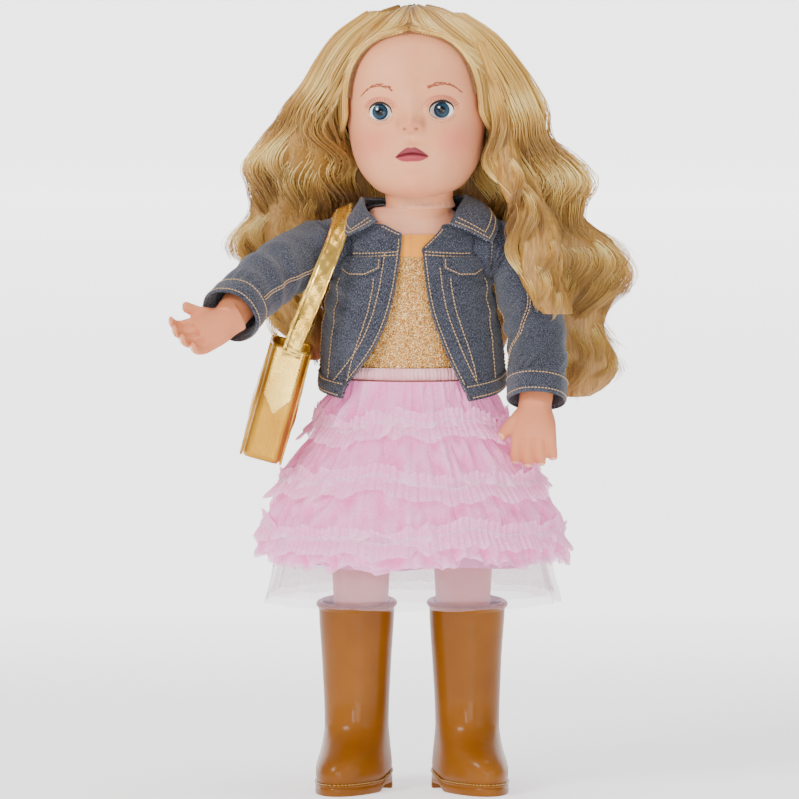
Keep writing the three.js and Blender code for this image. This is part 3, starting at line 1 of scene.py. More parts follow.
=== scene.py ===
# Looks of the dressed play doll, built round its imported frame.
# Shapes are worked out in millimetres in the doll's design frame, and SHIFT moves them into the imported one.
# x runs to the doll's left, y to its back and z up from the ground. Side 1 is the doll's left and -1 its right.

import json
import math

import bmesh
import bpy
import numpy as np
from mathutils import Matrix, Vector


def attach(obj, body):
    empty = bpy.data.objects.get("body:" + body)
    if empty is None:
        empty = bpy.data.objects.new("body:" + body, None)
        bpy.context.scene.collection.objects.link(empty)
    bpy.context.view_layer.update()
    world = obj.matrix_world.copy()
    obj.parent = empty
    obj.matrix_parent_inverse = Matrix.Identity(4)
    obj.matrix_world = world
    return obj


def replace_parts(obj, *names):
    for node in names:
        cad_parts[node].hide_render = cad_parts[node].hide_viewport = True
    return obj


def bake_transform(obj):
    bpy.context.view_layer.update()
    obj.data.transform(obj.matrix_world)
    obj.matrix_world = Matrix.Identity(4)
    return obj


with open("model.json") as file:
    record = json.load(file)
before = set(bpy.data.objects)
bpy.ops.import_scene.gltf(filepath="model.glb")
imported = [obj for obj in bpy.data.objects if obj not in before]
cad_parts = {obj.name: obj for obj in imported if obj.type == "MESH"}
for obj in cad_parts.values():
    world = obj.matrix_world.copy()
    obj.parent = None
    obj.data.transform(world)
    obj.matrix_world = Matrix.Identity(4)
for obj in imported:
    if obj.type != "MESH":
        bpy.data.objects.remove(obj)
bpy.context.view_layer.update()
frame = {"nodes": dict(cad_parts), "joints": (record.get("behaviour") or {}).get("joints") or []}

MM = 0.001
TURN = 2 * math.pi
joint_places = {joint["name"]: joint["pos_m"] for joint in frame["joints"]}
shoulder_middle = np.add(joint_places["shoulder_left"], joint_places["shoulder_right"]) / (2 * MM)
SHOULDER_X = 45.5
SHOULDER_Z = 318.0
SHIFT = np.array([shoulder_middle[0], shoulder_middle[1], 0.0])


# ---- Numbers and curves

def mix(a, b, share):
    return a + (b - a) * share


def clamp01(value):
    return np.clip(value, 0.0, 1.0)


def smooth(value):
    t = clamp01(value)
    return t * t * (3 - 2 * t)


def bell(distance, spread):
    """1 at no distance, falling off round it."""
    return np.exp(-((distance / spread) ** 2))


def read_table(table, value):
    """Smooth reading of a table whose first column rises: the other columns at each value."""
    table = np.asarray(table, float)
    x = np.atleast_1d(np.asarray(value, float))
    last = len(table) - 1
    clamped = np.clip(x, table[0, 0], table[-1, 0])
    row = np.clip(np.searchsorted(table[:, 0], clamped, side="left") - 1, 0, last - 1)
    before = table[np.maximum(row - 1, 0)]
    start = table[row]
    end = table[row + 1]
    after = table[np.minimum(row + 2, last)]
    width = (end[..., 0] - start[..., 0])[..., None]
    t = (clamped - start[..., 0])[..., None] / width
    slope0 = (end[..., 1:] - before[..., 1:]) / (end[..., 0] - before[..., 0])[..., None] * width
    slope1 = (after[..., 1:] - start[..., 1:]) / (after[..., 0] - start[..., 0])[..., None] * width
    t2 = t * t
    t3 = t2 * t
    return (start[..., 1:] * (2 * t3 - 3 * t2 + 1) + slope0 * (t3 - 2 * t2 + t)
            + end[..., 1:] * (3 * t2 - 2 * t3) + slope1 * (t3 - t2))


def section_at(table, bottom, top, z):
    """Rows of a shape's table at heights between its bottom and its top."""
    z = np.asarray(z, float)
    return read_table(table, (z.ravel() - bottom) / (top - bottom)).reshape(*z.shape, -1)


def turn_steps(count):
    """Even angles round a full turn."""
    return np.arange(count) * TURN / count


def unit(vectors):
    vectors = np.asarray(vectors, float)
    length = np.linalg.norm(vectors, axis=-1, keepdims=True)
    return vectors / np.maximum(length, 1e-9)


def fold_noise(angle, height, seed, waves, strength):
    """Folds round a piece: a sum of waves whose phases drift with height."""
    random = np.random.default_rng(seed)
    total = np.zeros(np.broadcast(angle, height).shape)
    for count in waves:
        phase = random.uniform(0, TURN)
        drift = random.uniform(-0.06, 0.06)
        weight = random.uniform(0.6, 1.0)
        total = total + weight * np.sin(count * angle + phase + drift * height)
    return strength * total / math.sqrt(len(waves))


def path_lengths(path):
    """Travel along a path up to each of its points."""
    return np.concatenate([[0], np.cumsum(np.linalg.norm(np.diff(path, axis=0), axis=1))])


def read_along(values, travel, at):
    """Values given at some travels, read at others."""
    values = np.asarray(values, float)
    return np.stack([np.interp(at, travel, values[:, k]) for k in range(values.shape[1])], axis=1)


def closed(ring):
    """Ring of points or normals with its first one again at the end."""
    return np.concatenate([ring, ring[:1]])


# ---- Meshes

def new_object(name, points, faces, material, body=None, uv=None, shade=True, attributes=None, place=True):
    """Object from points in millimetres and faces, riding on a body."""
    points = np.asarray(points, float)
    if place:
        points = (points + SHIFT) * MM
    mesh = bpy.data.meshes.new(name)
    faces = np.asarray(faces)
    corners = faces.shape[1]
    mesh.vertices.add(len(points))
    mesh.vertices.foreach_set("co", points.astype(np.float32).ravel())
    mesh.loops.add(faces.size)
    mesh.loops.foreach_set("vertex_index", faces.astype(np.int32).ravel())
    mesh.polygons.add(len(faces))
    mesh.polygons.foreach_set("loop_start", np.arange(0, faces.size, corners, dtype=np.int32))
    mesh.polygons.foreach_set("use_smooth", np.full(len(faces), shade))
    mesh.update(calc_edges=True)
    if uv is not None:
        layer = mesh.uv_layers.new(name="UVMap")
        layer.data.foreach_set("uv", np.asarray(uv, np.float32)[faces.ravel()].ravel())
    for key, values in (attributes or {}).items():
        layer = mesh.attributes.new(key, "FLOAT", "POINT")
        layer.data.foreach_set("value", np.asarray(values, np.float32))
    mesh.validate()
    piece = bpy.data.objects.new(name, mesh)
    bpy.context.scene.collection.objects.link(piece)
    if material is not None:
        mesh.materials.append(material)
    if body is not None:
        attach(piece, body)
    return piece


def grid_faces(rows, columns, wrap=False, start=0):
    """Four-sided faces between the points of a grid, round its columns where it wraps."""
    r, c = np.meshgrid(np.arange(rows - 1), np.arange(columns if wrap else columns - 1), indexing="ij")
    c2 = (c + 1) % columns
    quads = np.stack([r * columns + c, r * columns + c2, (r + 1) * columns + c2, (r + 1) * columns + c], axis=-1)
    return quads.reshape(-1, 4) + start


def grid_normals(grid, wrap):
    """Unit normals at the points of a grid."""
    if wrap:
        across = np.roll(grid, -1, axis=1) - np.roll(grid, 1, axis=1)
    else:
        across = np.gradient(grid, axis=1)
    along = np.gradient(grid, axis=0)
    return unit(np.cross(across, along))


def arc_uv(grid):
    """Places on a grid in millimetres of cloth, as weave coordinates."""
    across = np.linalg.norm(np.diff(grid, axis=1), axis=-1)
    along = np.linalg.norm(np.diff(grid, axis=0), axis=-1)
    u = np.concatenate([np.zeros((grid.shape[0], 1)), np.cumsum(across, axis=1)], axis=1)
    v = np.concatenate([np.zeros((1, grid.shape[1])), np.cumsum(along, axis=0)], axis=0)
    u = u - u[:, u.shape[1] // 2][:, None]
    return np.stack([u, v], axis=-1).reshape(-1, 2)


def skin(name, grid, material, body, wrap=False, attributes=None, **more):
    """One-layer surface over a grid of points."""
    faces = grid_faces(*grid.shape[:2], wrap)
    return new_object(name, grid.reshape(-1, 3), faces, material, body, arc_uv(grid),
                      attributes=attributes, **more)


def slab(name, grid, thickness, material, body, wrap=False, out=1.0):
    """Cloth of a thickness whose outer face is the grid; out is 1 where the grid's normals point out."""
    rows, columns = grid.shape[:2]
    normals = grid_normals(grid, wrap) * out
    inner = grid - normals * thickness
    half = rows * columns
    faces = [grid_faces(rows, columns, wrap), grid_faces(rows, columns, wrap, start=half)[:, ::-1]]
    # Edges: the two ends of the rows, and the two sides where the grid doesn't wrap
    c = np.arange(columns if wrap else columns - 1)
    r = np.arange(rows - 1) * columns
    edges = [(c, (c + 1) % columns, 1), (half - columns + c, half - columns + (c + 1) % columns, -1)]
    if not wrap:
        edges += [(r, r + columns, -1), (r + columns - 1, r + 2 * columns - 1, 1)]
    for a, b, turn in edges:
        faces.append(np.stack([a, b, b + half, a + half], axis=-1)[:, ::turn])
    faces = np.concatenate(faces)
    if out < 0:
        faces = faces[:, ::-1]
    uv = arc_uv(grid)
    points = np.concatenate([grid.reshape(-1, 3), inner.reshape(-1, 3)])
    return new_object(name, points, faces, material, body, np.concatenate([uv, uv]))


def frames_along(path):
    """Two side directions along a path, twisting as little as possible."""
    tangent = unit(np.gradient(path, axis=0))
    side = np.empty_like(tangent)
    reference = np.array([0.0, 0.0, 1.0])
    if abs(np.dot(reference, tangent[0])) > 0.95:
        reference = np.array([1.0, 0.0, 0.0])
    side[0] = unit(np.cross(tangent[0], reference))
    for i in range(1, len(path)):
        carried = side[i - 1] - tangent[i] * np.dot(side[i - 1], tangent[i])
        side[i] = unit(carried)
    return side, np.cross(tangent, side)


def tube_grid(path, radius, count):
    """Rings of points round a path, with a radius for each of its points."""
    side, other = frames_along(path)
    angle = turn_steps(count)
    ring = side[:, None, :] * np.cos(angle)[None, :, None]
    ring = ring + other[:, None, :] * np.sin(angle)[None, :, None]
    return path[:, None, :] + ring * radius[:, None, None]


def tubes(name, paths, radii, material, body, count=6):
    """Several round cords in one piece, pinched shut at both ends."""
    points, faces, uvs, start = [], [], [], 0
    for path, radius in zip(paths, radii):
        radius = np.broadcast_to(np.asarray(radius, float), (len(path),)).copy()
        first = path[0] + unit(path[0] - path[1]) * radius[0] * 0.5
        last = path[-1] + unit(path[-1] - path[-2]) * radius[-1] * 0.5
        path = np.concatenate([[first], path, [last]])
        radius = np.concatenate([[radius[0] * 0.05], radius, [radius[-1] * 0.05]])
        grid = tube_grid(path, radius, count)
        points.append(grid.reshape(-1, 3))
        faces.append(grid_faces(len(path), count, True, start=start))
        uvs.append(arc_uv(grid))
        start += len(path) * count
    return new_object(name, np.concatenate(points), np.concatenate(faces), material, body,
                      np.concatenate(uvs))


def resample(path, step):
    """Points at even steps along a path."""
    path = np.asarray(path, float)
    lengths = path_lengths(path)
    count = max(2, int(round(lengths[-1] / step)) + 1)
    return read_along(path, lengths, np.linspace(0, lengths[-1], count))


def spline(points, count):
    """Smooth path through a few points."""
    points = np.asarray(points, float)
    steps = np.concatenate([[0], np.cumsum(np.linalg.norm(np.diff(points, axis=0), axis=1) ** 0.5)])
    table = np.concatenate([steps[:, None], points], axis=1)
    return read_table(table, np.linspace(0, steps[-1], count))


def stitch_row(path, outward, pitch=1.9, share=0.66, lift=0.12):
    """Beads of thread along a seam; outward gives the cloth's normal at each path point."""
    path = np.asarray(path, float)
    lengths = path_lengths(path)
    if lengths[-1] < pitch:
        return []
    starts = np.arange(0.2 * pitch, lengths[-1] - share * pitch, pitch)
    beads = []
    rise = np.array([-0.8, 0.4, 1.0, 0.4, -0.8]) * lift
    for start in starts:
        at = start + np.array([0.0, 0.15, 0.5, 0.85, 1.0]) * share * pitch
        bead = read_along(path, lengths, at)
        normal = read_along(outward, lengths, at)
        beads.append(bead + unit(normal) * rise[:, None])
    return beads


def thread_piece(name, beads, material, body, radius=0.3):
    """All stitches of a seam or a garment as one piece."""
    profile = np.array([0.6, 1.0, 1.0, 1.0, 0.6]) * radius
    return tubes(name, beads, [profile] * len(beads), material, body, count=5)


def follow(piece):
    """Bakes a soft piece's placement into its points; the piece rides on no body."""
    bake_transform(piece)


# ---- Materials

def srgb(red, green, blue):
    channels = np.array([red, green, blue]) / 255.0
    linear = np.where(channels <= 0.04045, channels / 12.92, ((channels + 0.055) / 1.055) ** 2.4)
    return (*linear.tolist(), 1.0)


class Shader:
    """A material with one Principled shader and helpers that add texture nodes to it."""

    def __init__(self, name, base, roughness, **settings):
        self.material = bpy.data.materials.new(name)
        self.material.use_nodes = True
        self.tree = self.material.node_tree
        self.principled = self.tree.nodes["Principled BSDF"]
        self.set("Base Color", base)
        self.set("Roughness", roughness)
        for key, value in settings.items():
            self.set(key.replace("_", " "), value)

    def set(self, socket, value):
        self.principled.inputs[socket].default_value = value

    def node(self, kind, **settings):
        node = self.tree.nodes.new(kind)
        for key, value in settings.items():
            if hasattr(node, key):
                setattr(node, key, value)
            else:
                node.inputs[key.replace("_", " ")].default_value = value
        return node

    def link(self, source, target):
        self.tree.links.new(source, target)

    def place(self, kind="Object", scale=(1, 1, 1), rotate=(0, 0, 0)):
        coordinates = self.node("ShaderNodeTexCoord")
        mapping = self.node("ShaderNodeMapping")
        mapping.inputs["Scale"].default_value = scale
        mapping.inputs["Rotation"].default_value = rotate
        self.link(coordinates.outputs[kind], mapping.inputs["Vector"])
        return mapping.outputs["Vector"]

    def noise(self, scale, detail=3.0, vector=None, roughness=0.55, distortion=0.0):
        node = self.node("ShaderNodeTexNoise", Scale=scale, Detail=detail, Roughness=roughness,
                         Distortion=distortion)
        self.link(vector if vector is not None else self.place(), node.inputs["Vector"])
        return node.outputs["Fac"]

    def voronoi(self, scale, vector=None, output="Color", feature="F1"):
        node = self.node("ShaderNodeTexVoronoi", feature=feature, Scale=scale)
        self.link(vector if vector is not None else self.place(), node.inputs["Vector"])
        return node.outputs[output]

    def wave(self, scale, vector, direction="X", distortion=0.0, detail=2.0, detail_scale=1.0):
        node = self.node("ShaderNodeTexWave", bands_direction=direction, Scale=scale, Distortion=distortion,
                         Detail=detail, Detail_Scale=detail_scale)
        self.link(vector, node.inputs["Vector"])
        return node.outputs["Fac"]

    def ramp(self, source, stops):
        node = self.node("ShaderNodeValToRGB")
        elements = node.color_ramp.elements
        while len(elements) < len(stops):
            elements.new(0.5)
        for element, (position, colour) in zip(elements, stops):
            element.position = position
            element.color = colour if len(colour) == 4 else (*colour, 1.0)
        self.link(source, node.inputs["Fac"])
        return node.outputs["Color"]

    def grey(self, source, low, high, from_low=0.0, from_high=1.0):
        node = self.node("ShaderNodeMapRange", From_Min=from_low, From_Max=from_high, To_Min=low, To_Max=high)
        self.link(source, node.inputs["Value"])
        return node.outputs["Result"]

    def feed(self, source, socket):
        """Sets a socket to a number or a colour, or links it to another node's output."""
        if isinstance(source, (int, float, tuple)):
            socket.default_value = source
        else:
            self.link(source, socket)

    def blend(self, factor, first, second):
        node = self.node("ShaderNodeMix", data_type="RGBA")
        for source, socket in ((factor, node.inputs[0]), (first, node.inputs[6]), (second, node.inputs[7])):
            self.feed(source, socket)
        return node.outputs[2]

    def math(self, operation, first, second):
        node = self.node("ShaderNodeMath", operation=operation)
        self.feed(first, node.inputs[0])
        self.feed(second, node.inputs[1])
        return node.outputs[0]

    def attribute(self, name):
        return self.node("ShaderNodeAttribute", attribute_name=name).outputs["Fac"]

    def colour(self, source):
        self.link(source, self.principled.inputs["Base Color"])
        return self

    def rough(self, source):
        self.link(source, self.principled.inputs["Roughness"])
        return self

    def alpha(self, source):
        self.link(source, self.principled.inputs["Alpha"])
        return self

    def bump(self, source, distance=0.0002, strength=1.0, before=None):
        node = self.node("ShaderNodeBump", Strength=strength, Distance=distance)
        self.link(source, node.inputs["Height"])
        if before is not None:
            self.link(before, node.inputs["Normal"])
        self.link(node.outputs["Normal"], self.principled.inputs["Normal"])
        return node.outputs["Normal"]


def skin_material(name="skin_vinyl", painted=False, light=(238, 164, 121), dark=(230, 151, 109)):
    """Soft matt vinyl. The painted one takes blush, painted shade and lips from the piece's attributes, the lips
    with painted shade of their own.
    """
    base = srgb(*light)
    shader = Shader(name, base, 0.5, Subsurface_Weight=0.12, Subsurface_Scale=0.004, Specular_IOR_Level=0.35)
    shader.set("Subsurface Radius", (1.0, 0.45, 0.3))
    tone = shader.ramp(shader.noise(38, 3), [(0.3, srgb(*dark)), (0.7, srgb(*light))])
    if painted:
        tone = shader.blend(shader.attribute("blush"), tone, srgb(228, 96, 84))
        # Painted shade for the face's creases and sides, and on the lips at the parting and over the upper lip
        tone = shader.blend(shader.attribute("shade"), tone, srgb(150, 74, 50))
        lip = shader.blend(shader.attribute("lip_dark"), srgb(168, 62, 74), srgb(96, 26, 38))
        tone = shader.blend(shader.attribute("lips"), tone, lip)
    shader.colour(tone)
    shader.rough(shader.grey(shader.noise(220, 2), 0.44, 0.56))
    shader.bump(shader.noise(900, 2), 0.00006, 0.5)
    return shader.material


def hair_material():
    shader = Shader("hair_fibre", srgb(205, 165, 100), 0.34, Specular_IOR_Level=0.6, Sheen_Weight=0.15)
    shader.set("Anisotropic", 0.5)
    # The tint carries each lock's own tone with painted highlights and shade along its waves; the depth darkens
    # it with painted shade inside the locks, in the waves' hollows and at the roots
    tint = shader.ramp(shader.attribute("tint"), [
        (0.0, srgb(138, 92, 26)), (0.3, srgb(196, 142, 56)),
        (0.62, srgb(230, 184, 92)), (1.0, srgb(255, 228, 144)),
    ])
    shader.colour(shader.blend(shader.attribute("depth"), tint, srgb(112, 70, 20)))
    shader.rough(shader.grey(shader.attribute("tint"), 0.42, 0.28))
    return shader.material


def hair_core_material():
    # Darker than the strands: painted shade for the inside of the hair, used on the cores, the rooted scalp and
    # the parting
    shader = Shader("hair_core", srgb(186, 144, 80), 0.45, Specular_IOR_Level=0.5)
    streak = shader.noise(900, 4, shader.place("Object", (1, 1, 0.06)))
    shader.colour(shader.ramp(streak, [
        (0.3, srgb(136, 94, 34)), (0.5, srgb(160, 114, 46)), (0.72, srgb(188, 142, 68)),
    ]))
    shader.bump(streak, 0.0006, 0.6)
    return shader.material


def denim_material():
    shader = Shader("denim", srgb(82, 90, 112), 0.88, Sheen_Weight=0.25, Specular_IOR_Level=0.2)
    place = shader.place("UV", (1, 1, 1), (0, 0, math.radians(28)))
    twill = shader.wave(0.42, place, "X", 2.2, 2, 1.6)
    fleck = shader.noise(1.6, 2, shader.place("UV", (2.6, 0.45, 1)))
    thread = shader.math("MULTIPLY", twill, shader.grey(fleck, 0.35, 1.25, 0.3, 0.7))
    weave = shader.ramp(thread, [
        (0.12, srgb(10, 12, 19)), (0.4, srgb(28, 31, 44)),
        (0.7, srgb(64, 68, 86)), (1.0, srgb(146, 149, 162)),
    ])
    patches = shader.noise(45, 4)
    worn = shader.blend(shader.grey(patches, 0.0, 0.3, 0.45, 0.75), weave, srgb(84, 88, 104))
    shader.colour(worn)
    coarse = shader.bump(shader.noise(42, 2), 0.0045, 0.5)
    shader.bump(twill, 0.00022, 0.75, coarse)
    return shader.material


def thread_material(name, colour, roughness=0.6):
    shader = Shader(name, colour, roughness, Sheen_Weight=0.2)
    shade = shader.noise(900, 2)
    dark = tuple(0.72 * channel for channel in colour[:3]) + (1.0,)
    shader.colour(shader.blend(shade, dark, colour))
    shader.bump(shader.noise(3000, 2), 0.0001, 0.4)
    return shader.material


def glitter_material():
    shader = Shader("glitter_knit", srgb(196, 140, 70), 0.42, Specular_IOR_Level=0.6)
    place = shader.place()
    cells = shader.voronoi(2300, place)
    value = shader.node("ShaderNodeSeparateColor")
    shader.link(cells, value.inputs[0])
    tone = shader.ramp(value.outputs[0], [
        (0.0, srgb(88, 44, 8)), (0.3, srgb(170, 102, 28)), (0.62, srgb(220, 150, 56)),
        (0.84, srgb(246, 200, 104)), (1.0, srgb(255, 242, 196)),
    ])
    shader.colour(tone)
    shader.link(shader.grey(value.outputs[1], 0.0, 0.85, 0.55, 1.0), shader.principled.inputs["Metallic"])
    shader.rough(shader.grey(value.outputs[2], 0.22, 0.6))
    knit = shader.wave(0.34, shader.place("UV"), "X", 0.8, 1)
    coarse = shader.bump(knit, 0.0003, 0.35)
    shader.bump(value.outputs[0], 0.0003, 0.6, coarse)
    return shader.material


def rib_material():
    shader = Shader("mustard_rib", srgb(226, 160, 66), 0.85, Sheen_Weight=0.3)
    ribs = shader.wave(0.3, shader.place("UV"), "X", 0.3, 1)
    tone = shader.ramp(ribs, [(0.0, srgb(226, 132, 18)), (1.0, srgb(250, 166, 44))])
    shader.colour(shader.blend(shader.grey(shader.noise(160, 3), 0.0, 0.3), tone, srgb(250, 176, 64)))
    shader.bump(ribs, 0.0003, 0.5)
    return shader.material


def tulle_material(name, light, deep, low_alpha, high_alpha, cell=1500.0, glow=0.15):
    """Net with see-through holes. Its colour follows each layer's painted fold light: lighter where folds catch
    light, deeper pink in their shade. The deep pink also gives off a little light of its own, painted light
    standing for light shining through the layers.
    """
    shader = Shader(name, light, 0.75, Sheen_Weight=0.12, Specular_IOR_Level=0.15)
    place = shader.place()
    mottle = shader.grey(shader.noise(70, 4, place), -0.12, 0.12, 0.3, 0.7)
    shader.colour(shader.blend(shader.math("ADD", shader.attribute("bloom"), mottle), deep, light))
    # Painted light: a faint emission in the deep pink for light shining through the layers
    shader.set("Emission Color", deep)
    shader.set("Emission Strength", glow)
    net = shader.voronoi(cell, place, "Distance", "DISTANCE_TO_EDGE")
    veil = shader.grey(net, high_alpha, low_alpha, 0.02, 0.3)
    thick = shader.grey(shader.noise(55, 3, place), 0.86, 1.14)
    shader.alpha(shader.math("MULTIPLY", veil, thick))
    shader.bump(shader.noise(1200, 2), 0.0001, 0.4)
    return shader.material


def satin_material(name, light, deep):
    shader = Shader(name, light, 0.55, Sheen_Weight=0.5)
    shader.colour(shader.ramp(shader.noise(60, 3), [(0.35, deep), (0.65, light)]))
    weave = shader.wave(0.9, shader.place("UV"), "X", 0.5, 1)
    shader.bump(weave, 0.00008, 0.3)
    return shader.material


def boot_material():
    shader = Shader("boot_vinyl", srgb(128, 74, 12), 0.3, Specular_IOR_Level=0.12, Coat_Weight=0.12,
                    Coat_Roughness=0.06)
    tone = shader.ramp(shader.noise(26, 4), [(0.3, srgb(122, 70, 16)), (0.7, srgb(136, 82, 22))])
    shader.colour(tone)
    shader.rough(shader.grey(shader.noise(120, 3), 0.26, 0.38))
    shader.bump(shader.noise(140, 3), 0.00025, 0.18)
    return shader.material


def foil_material(name, light, deep, roughness, metallic=0.92):
    shader = Shader(name, light, roughness, Metallic=metallic)
    grain = shader.voronoi(700, output="Distance")
    crush = shader.noise(30, 2)
    shader.colour(shader.ramp(crush, [(0.3, deep), (0.7, light)]))
    shader.rough(shader.grey(shader.noise(300, 3), roughness * 0.7, roughness * 1.5))
    coarse = shader.bump(shader.noise(46, 3), 0.0016, 0.16)
    shader.bump(grain, 0.00018, 0.35, coarse)
    return shader.material


def plain_material(name, colour, roughness, dark, scale=200.0, metallic=0.0):
    shader = Shader(name, colour, roughness, Metallic=metallic)
    shader.colour(shader.ramp(shader.noise(scale, 3), [(0.3, dark), (0.7, colour)]))
    shader.bump(shader.noise(scale * 4, 2), 0.00006, 0.3)
    return shader.material


skin_vinyl = skin_material()
# Darker copies of the skin vinyl as painted shade: for the arms and hands, and deeper for the legs in the skirt's
# shadow
limb_vinyl = skin_material("limb_vinyl", light=(222, 138, 94), dark=(210, 126, 84))
leg_vinyl = skin_material("leg_vinyl", light=(202, 112, 70), dark=(190, 102, 62))
face_vinyl = skin_material("face_vinyl", painted=True)
hair_fibre = hair_material()
hair_core = hair_core_material()
denim = denim_material()
tan_thread = thread_material("tan_thread", srgb(222, 178, 118))
white_thread = thread_material("white_thread", srgb(250, 228, 240))
gold_thread = thread_material("gold_thread", srgb(226, 190, 96), 0.4)
glitter = glitter_material()
mustard = rib_material()
pink_tulle = tulle_material("pink_tulle", srgb(255, 208, 236), srgb(255, 132, 202), 0.5, 0.84)
ruffle_tulle = tulle_material("ruffle_tulle", srgb(255, 222, 242), srgb(255, 144, 208), 0.4, 0.76)
white_tulle = tulle_material("white_tulle", srgb(226, 196, 212), srgb(204, 168, 190), 0.1, 0.32, 1100.0, 0.0)
pink_lining = satin_material("pink_lining", srgb(248, 150, 206), srgb(240, 128, 192))
waist_elastic = satin_material("waist_elastic", srgb(250, 194, 198), srgb(240, 168, 178))
boot_vinyl = boot_material()
gold_foil = foil_material("gold_foil", srgb(206, 152, 42), srgb(172, 118, 22), 0.32, 0.7)
gold_foil_bright = foil_material("gold_foil_bright", srgb(250, 214, 118), srgb(212, 160, 58), 0.26)
gold_edge = foil_material("gold_edge", srgb(214, 160, 60), srgb(150, 100, 26), 0.35)
nail_vinyl = plain_material("nail_vinyl", srgb(243, 182, 152), 0.35, srgb(238, 170, 138), 300)
lid_skin = plain_material("lid_skin", srgb(230, 150, 116), 0.5, srgb(220, 138, 106), 200)
stuffed_cloth = satin_material("stuffed_cloth", srgb(238, 168, 132), srgb(230, 158, 120))
elastic = plain_material("elastic", srgb(238, 238, 236), 0.8, srgb(214, 214, 212), 600)
skin_cord = plain_material("skin_cord", srgb(228, 152, 116), 0.7, srgb(214, 138, 102), 600)
steel = plain_material("steel", srgb(150, 150, 156), 0.4, srgb(110, 110, 116), 300, 0.9)
white_plastic = plain_material("white_plastic", srgb(236, 236, 234), 0.45, srgb(222, 222, 220))
root_brown = plain_material("root_brown", srgb(150, 106, 62), 0.7, srgb(104, 66, 34), 900)
brow_paint = plain_material("brow_paint", srgb(176, 92, 56), 0.6, srgb(150, 72, 42), 500)
lash_brown = plain_material("lash_brown", srgb(120, 60, 40), 0.6, srgb(96, 44, 28), 500)
lash_paint = plain_material("lash_paint", srgb(40, 22, 18), 0.8, srgb(22, 12, 10), 500)


# ---- Camera, floor and light

VIEW_DROP = math.radians(4.1)
CAMERA_REACH = 5000.0
PIXEL = 0.587
FRAME_SIDE = 799
DOLL_AXIS_PIXEL = (412, 790)
WALL_GLOW, FLOOR_GLOW = 2.2, 0.8


def set_stage():
    """The photograph's camera, a bright seamless backdrop, and five soft lamps."""
    aim = np.array([
        (FRAME_SIDE / 2 - DOLL_AXIS_PIXEL[0]) * PIXEL, 0.0, (DOLL_AXIS_PIXEL[1] - FRAME_SIDE / 2) * PIXEL,
    ]) + SHIFT
    data = bpy.data.cameras.new("camera")
    data.lens = data.sensor_width * CAMERA_REACH / (FRAME_SIDE * PIXEL)
    data.clip_end = 20
    camera = bpy.data.objects.new("camera", data)
    back = np.array([0.0, -math.cos(VIEW_DROP), math.sin(VIEW_DROP)])
    camera.location = Vector((aim + back * CAMERA_REACH) * MM)
    camera.rotation_euler = (math.pi / 2 - VIEW_DROP, 0, 0)
    bpy.context.scene.collection.objects.link(camera)
    bpy.context.scene.camera = camera

    backdrop_shader = Shader("backdrop", (0.93, 0.93, 0.93, 1), 0.9)
    backdrop_shader.colour(backdrop_shader.ramp(backdrop_shader.noise(2.0, 2), [
        (0.2, (0.90, 0.90, 0.90, 1)), (0.8, (0.95, 0.95, 0.95, 1)),
    ]))
    backdrop_shader.set("Emission Color", (1.0, 1.0, 1.0, 1))
    backdrop_shader.link(backdrop_shader.grey(backdrop_shader.attribute("rise"), FLOOR_GLOW, WALL_GLOW),
                         backdrop_shader.principled.inputs["Emission Strength"])
    # The wall stands farther off than the camera ever goes, so it hides nothing in a view from behind
    profile = [(y, 0.0) for y in (-8.0, -2.0, 0.0, 0.3, 0.5, 0.7, 0.9, 1.1, 1.4, 7.4)]
    profile += [(7.4 + 0.6 * math.sin(a), 0.6 - 0.6 * math.cos(a)) for a in np.linspace(0.15, math.pi / 2, 10)]
    profile.append((8.0, 6.0))
    grid = np.array([[[x, y, z] for x in np.linspace(-9, 9, 9)] for y, z in profile])
    rise = np.repeat([float(smooth((y - 0.3) / 1.0)) for y, _ in profile], 9)
    floor = new_object("floor", grid.reshape(-1, 3), grid_faces(len(profile), 9), backdrop_shader.material,
                       attributes={"rise": rise}, place=False)

    world = bpy.data.worlds.new("studio")
    world.use_nodes = True
    world.node_tree.nodes["Background"].inputs["Color"].default_value = (1.0, 0.995, 0.985, 1)
    world.node_tree.nodes["Background"].inputs["Strength"].default_value = 0.5
    bpy.context.scene.world = world
    lights = [
        ("key", (-1.25, -1.25, 1.35), 0.7, 34.0, (1.0, 0.985, 0.96)),
        ("fill", (1.4, -1.4, 0.6), 1.0, 5.0, (0.96, 0.98, 1.0)),
        ("top", (0.2, 0.1, 1.7), 0.8, 14.0, (1.0, 1.0, 1.0)),
        ("window", (-0.3, -1.8, 0.45), 0.3, 4.0, (1.0, 1.0, 1.0)),
        ("low", (0.25, -1.5, 0.2), 0.5, 5.0, (1.0, 1.0, 1.0)),
    ]
    for name, place, size, power, colour in lights:
        lamp = bpy.data.lights.new(name, "AREA")
        lamp.size = size
        lamp.energy = power
        lamp.color = colour
        light = bpy.data.objects.new(name, lamp)
        light.location = place
        light.rotation_euler = (Vector((0, 0, 0.25)) - Vector(place)).to_track_quat("-Z", "Y").to_euler()
        bpy.context.scene.collection.objects.link(light)


set_stage()


# ---- The stuffed body and what fits round it

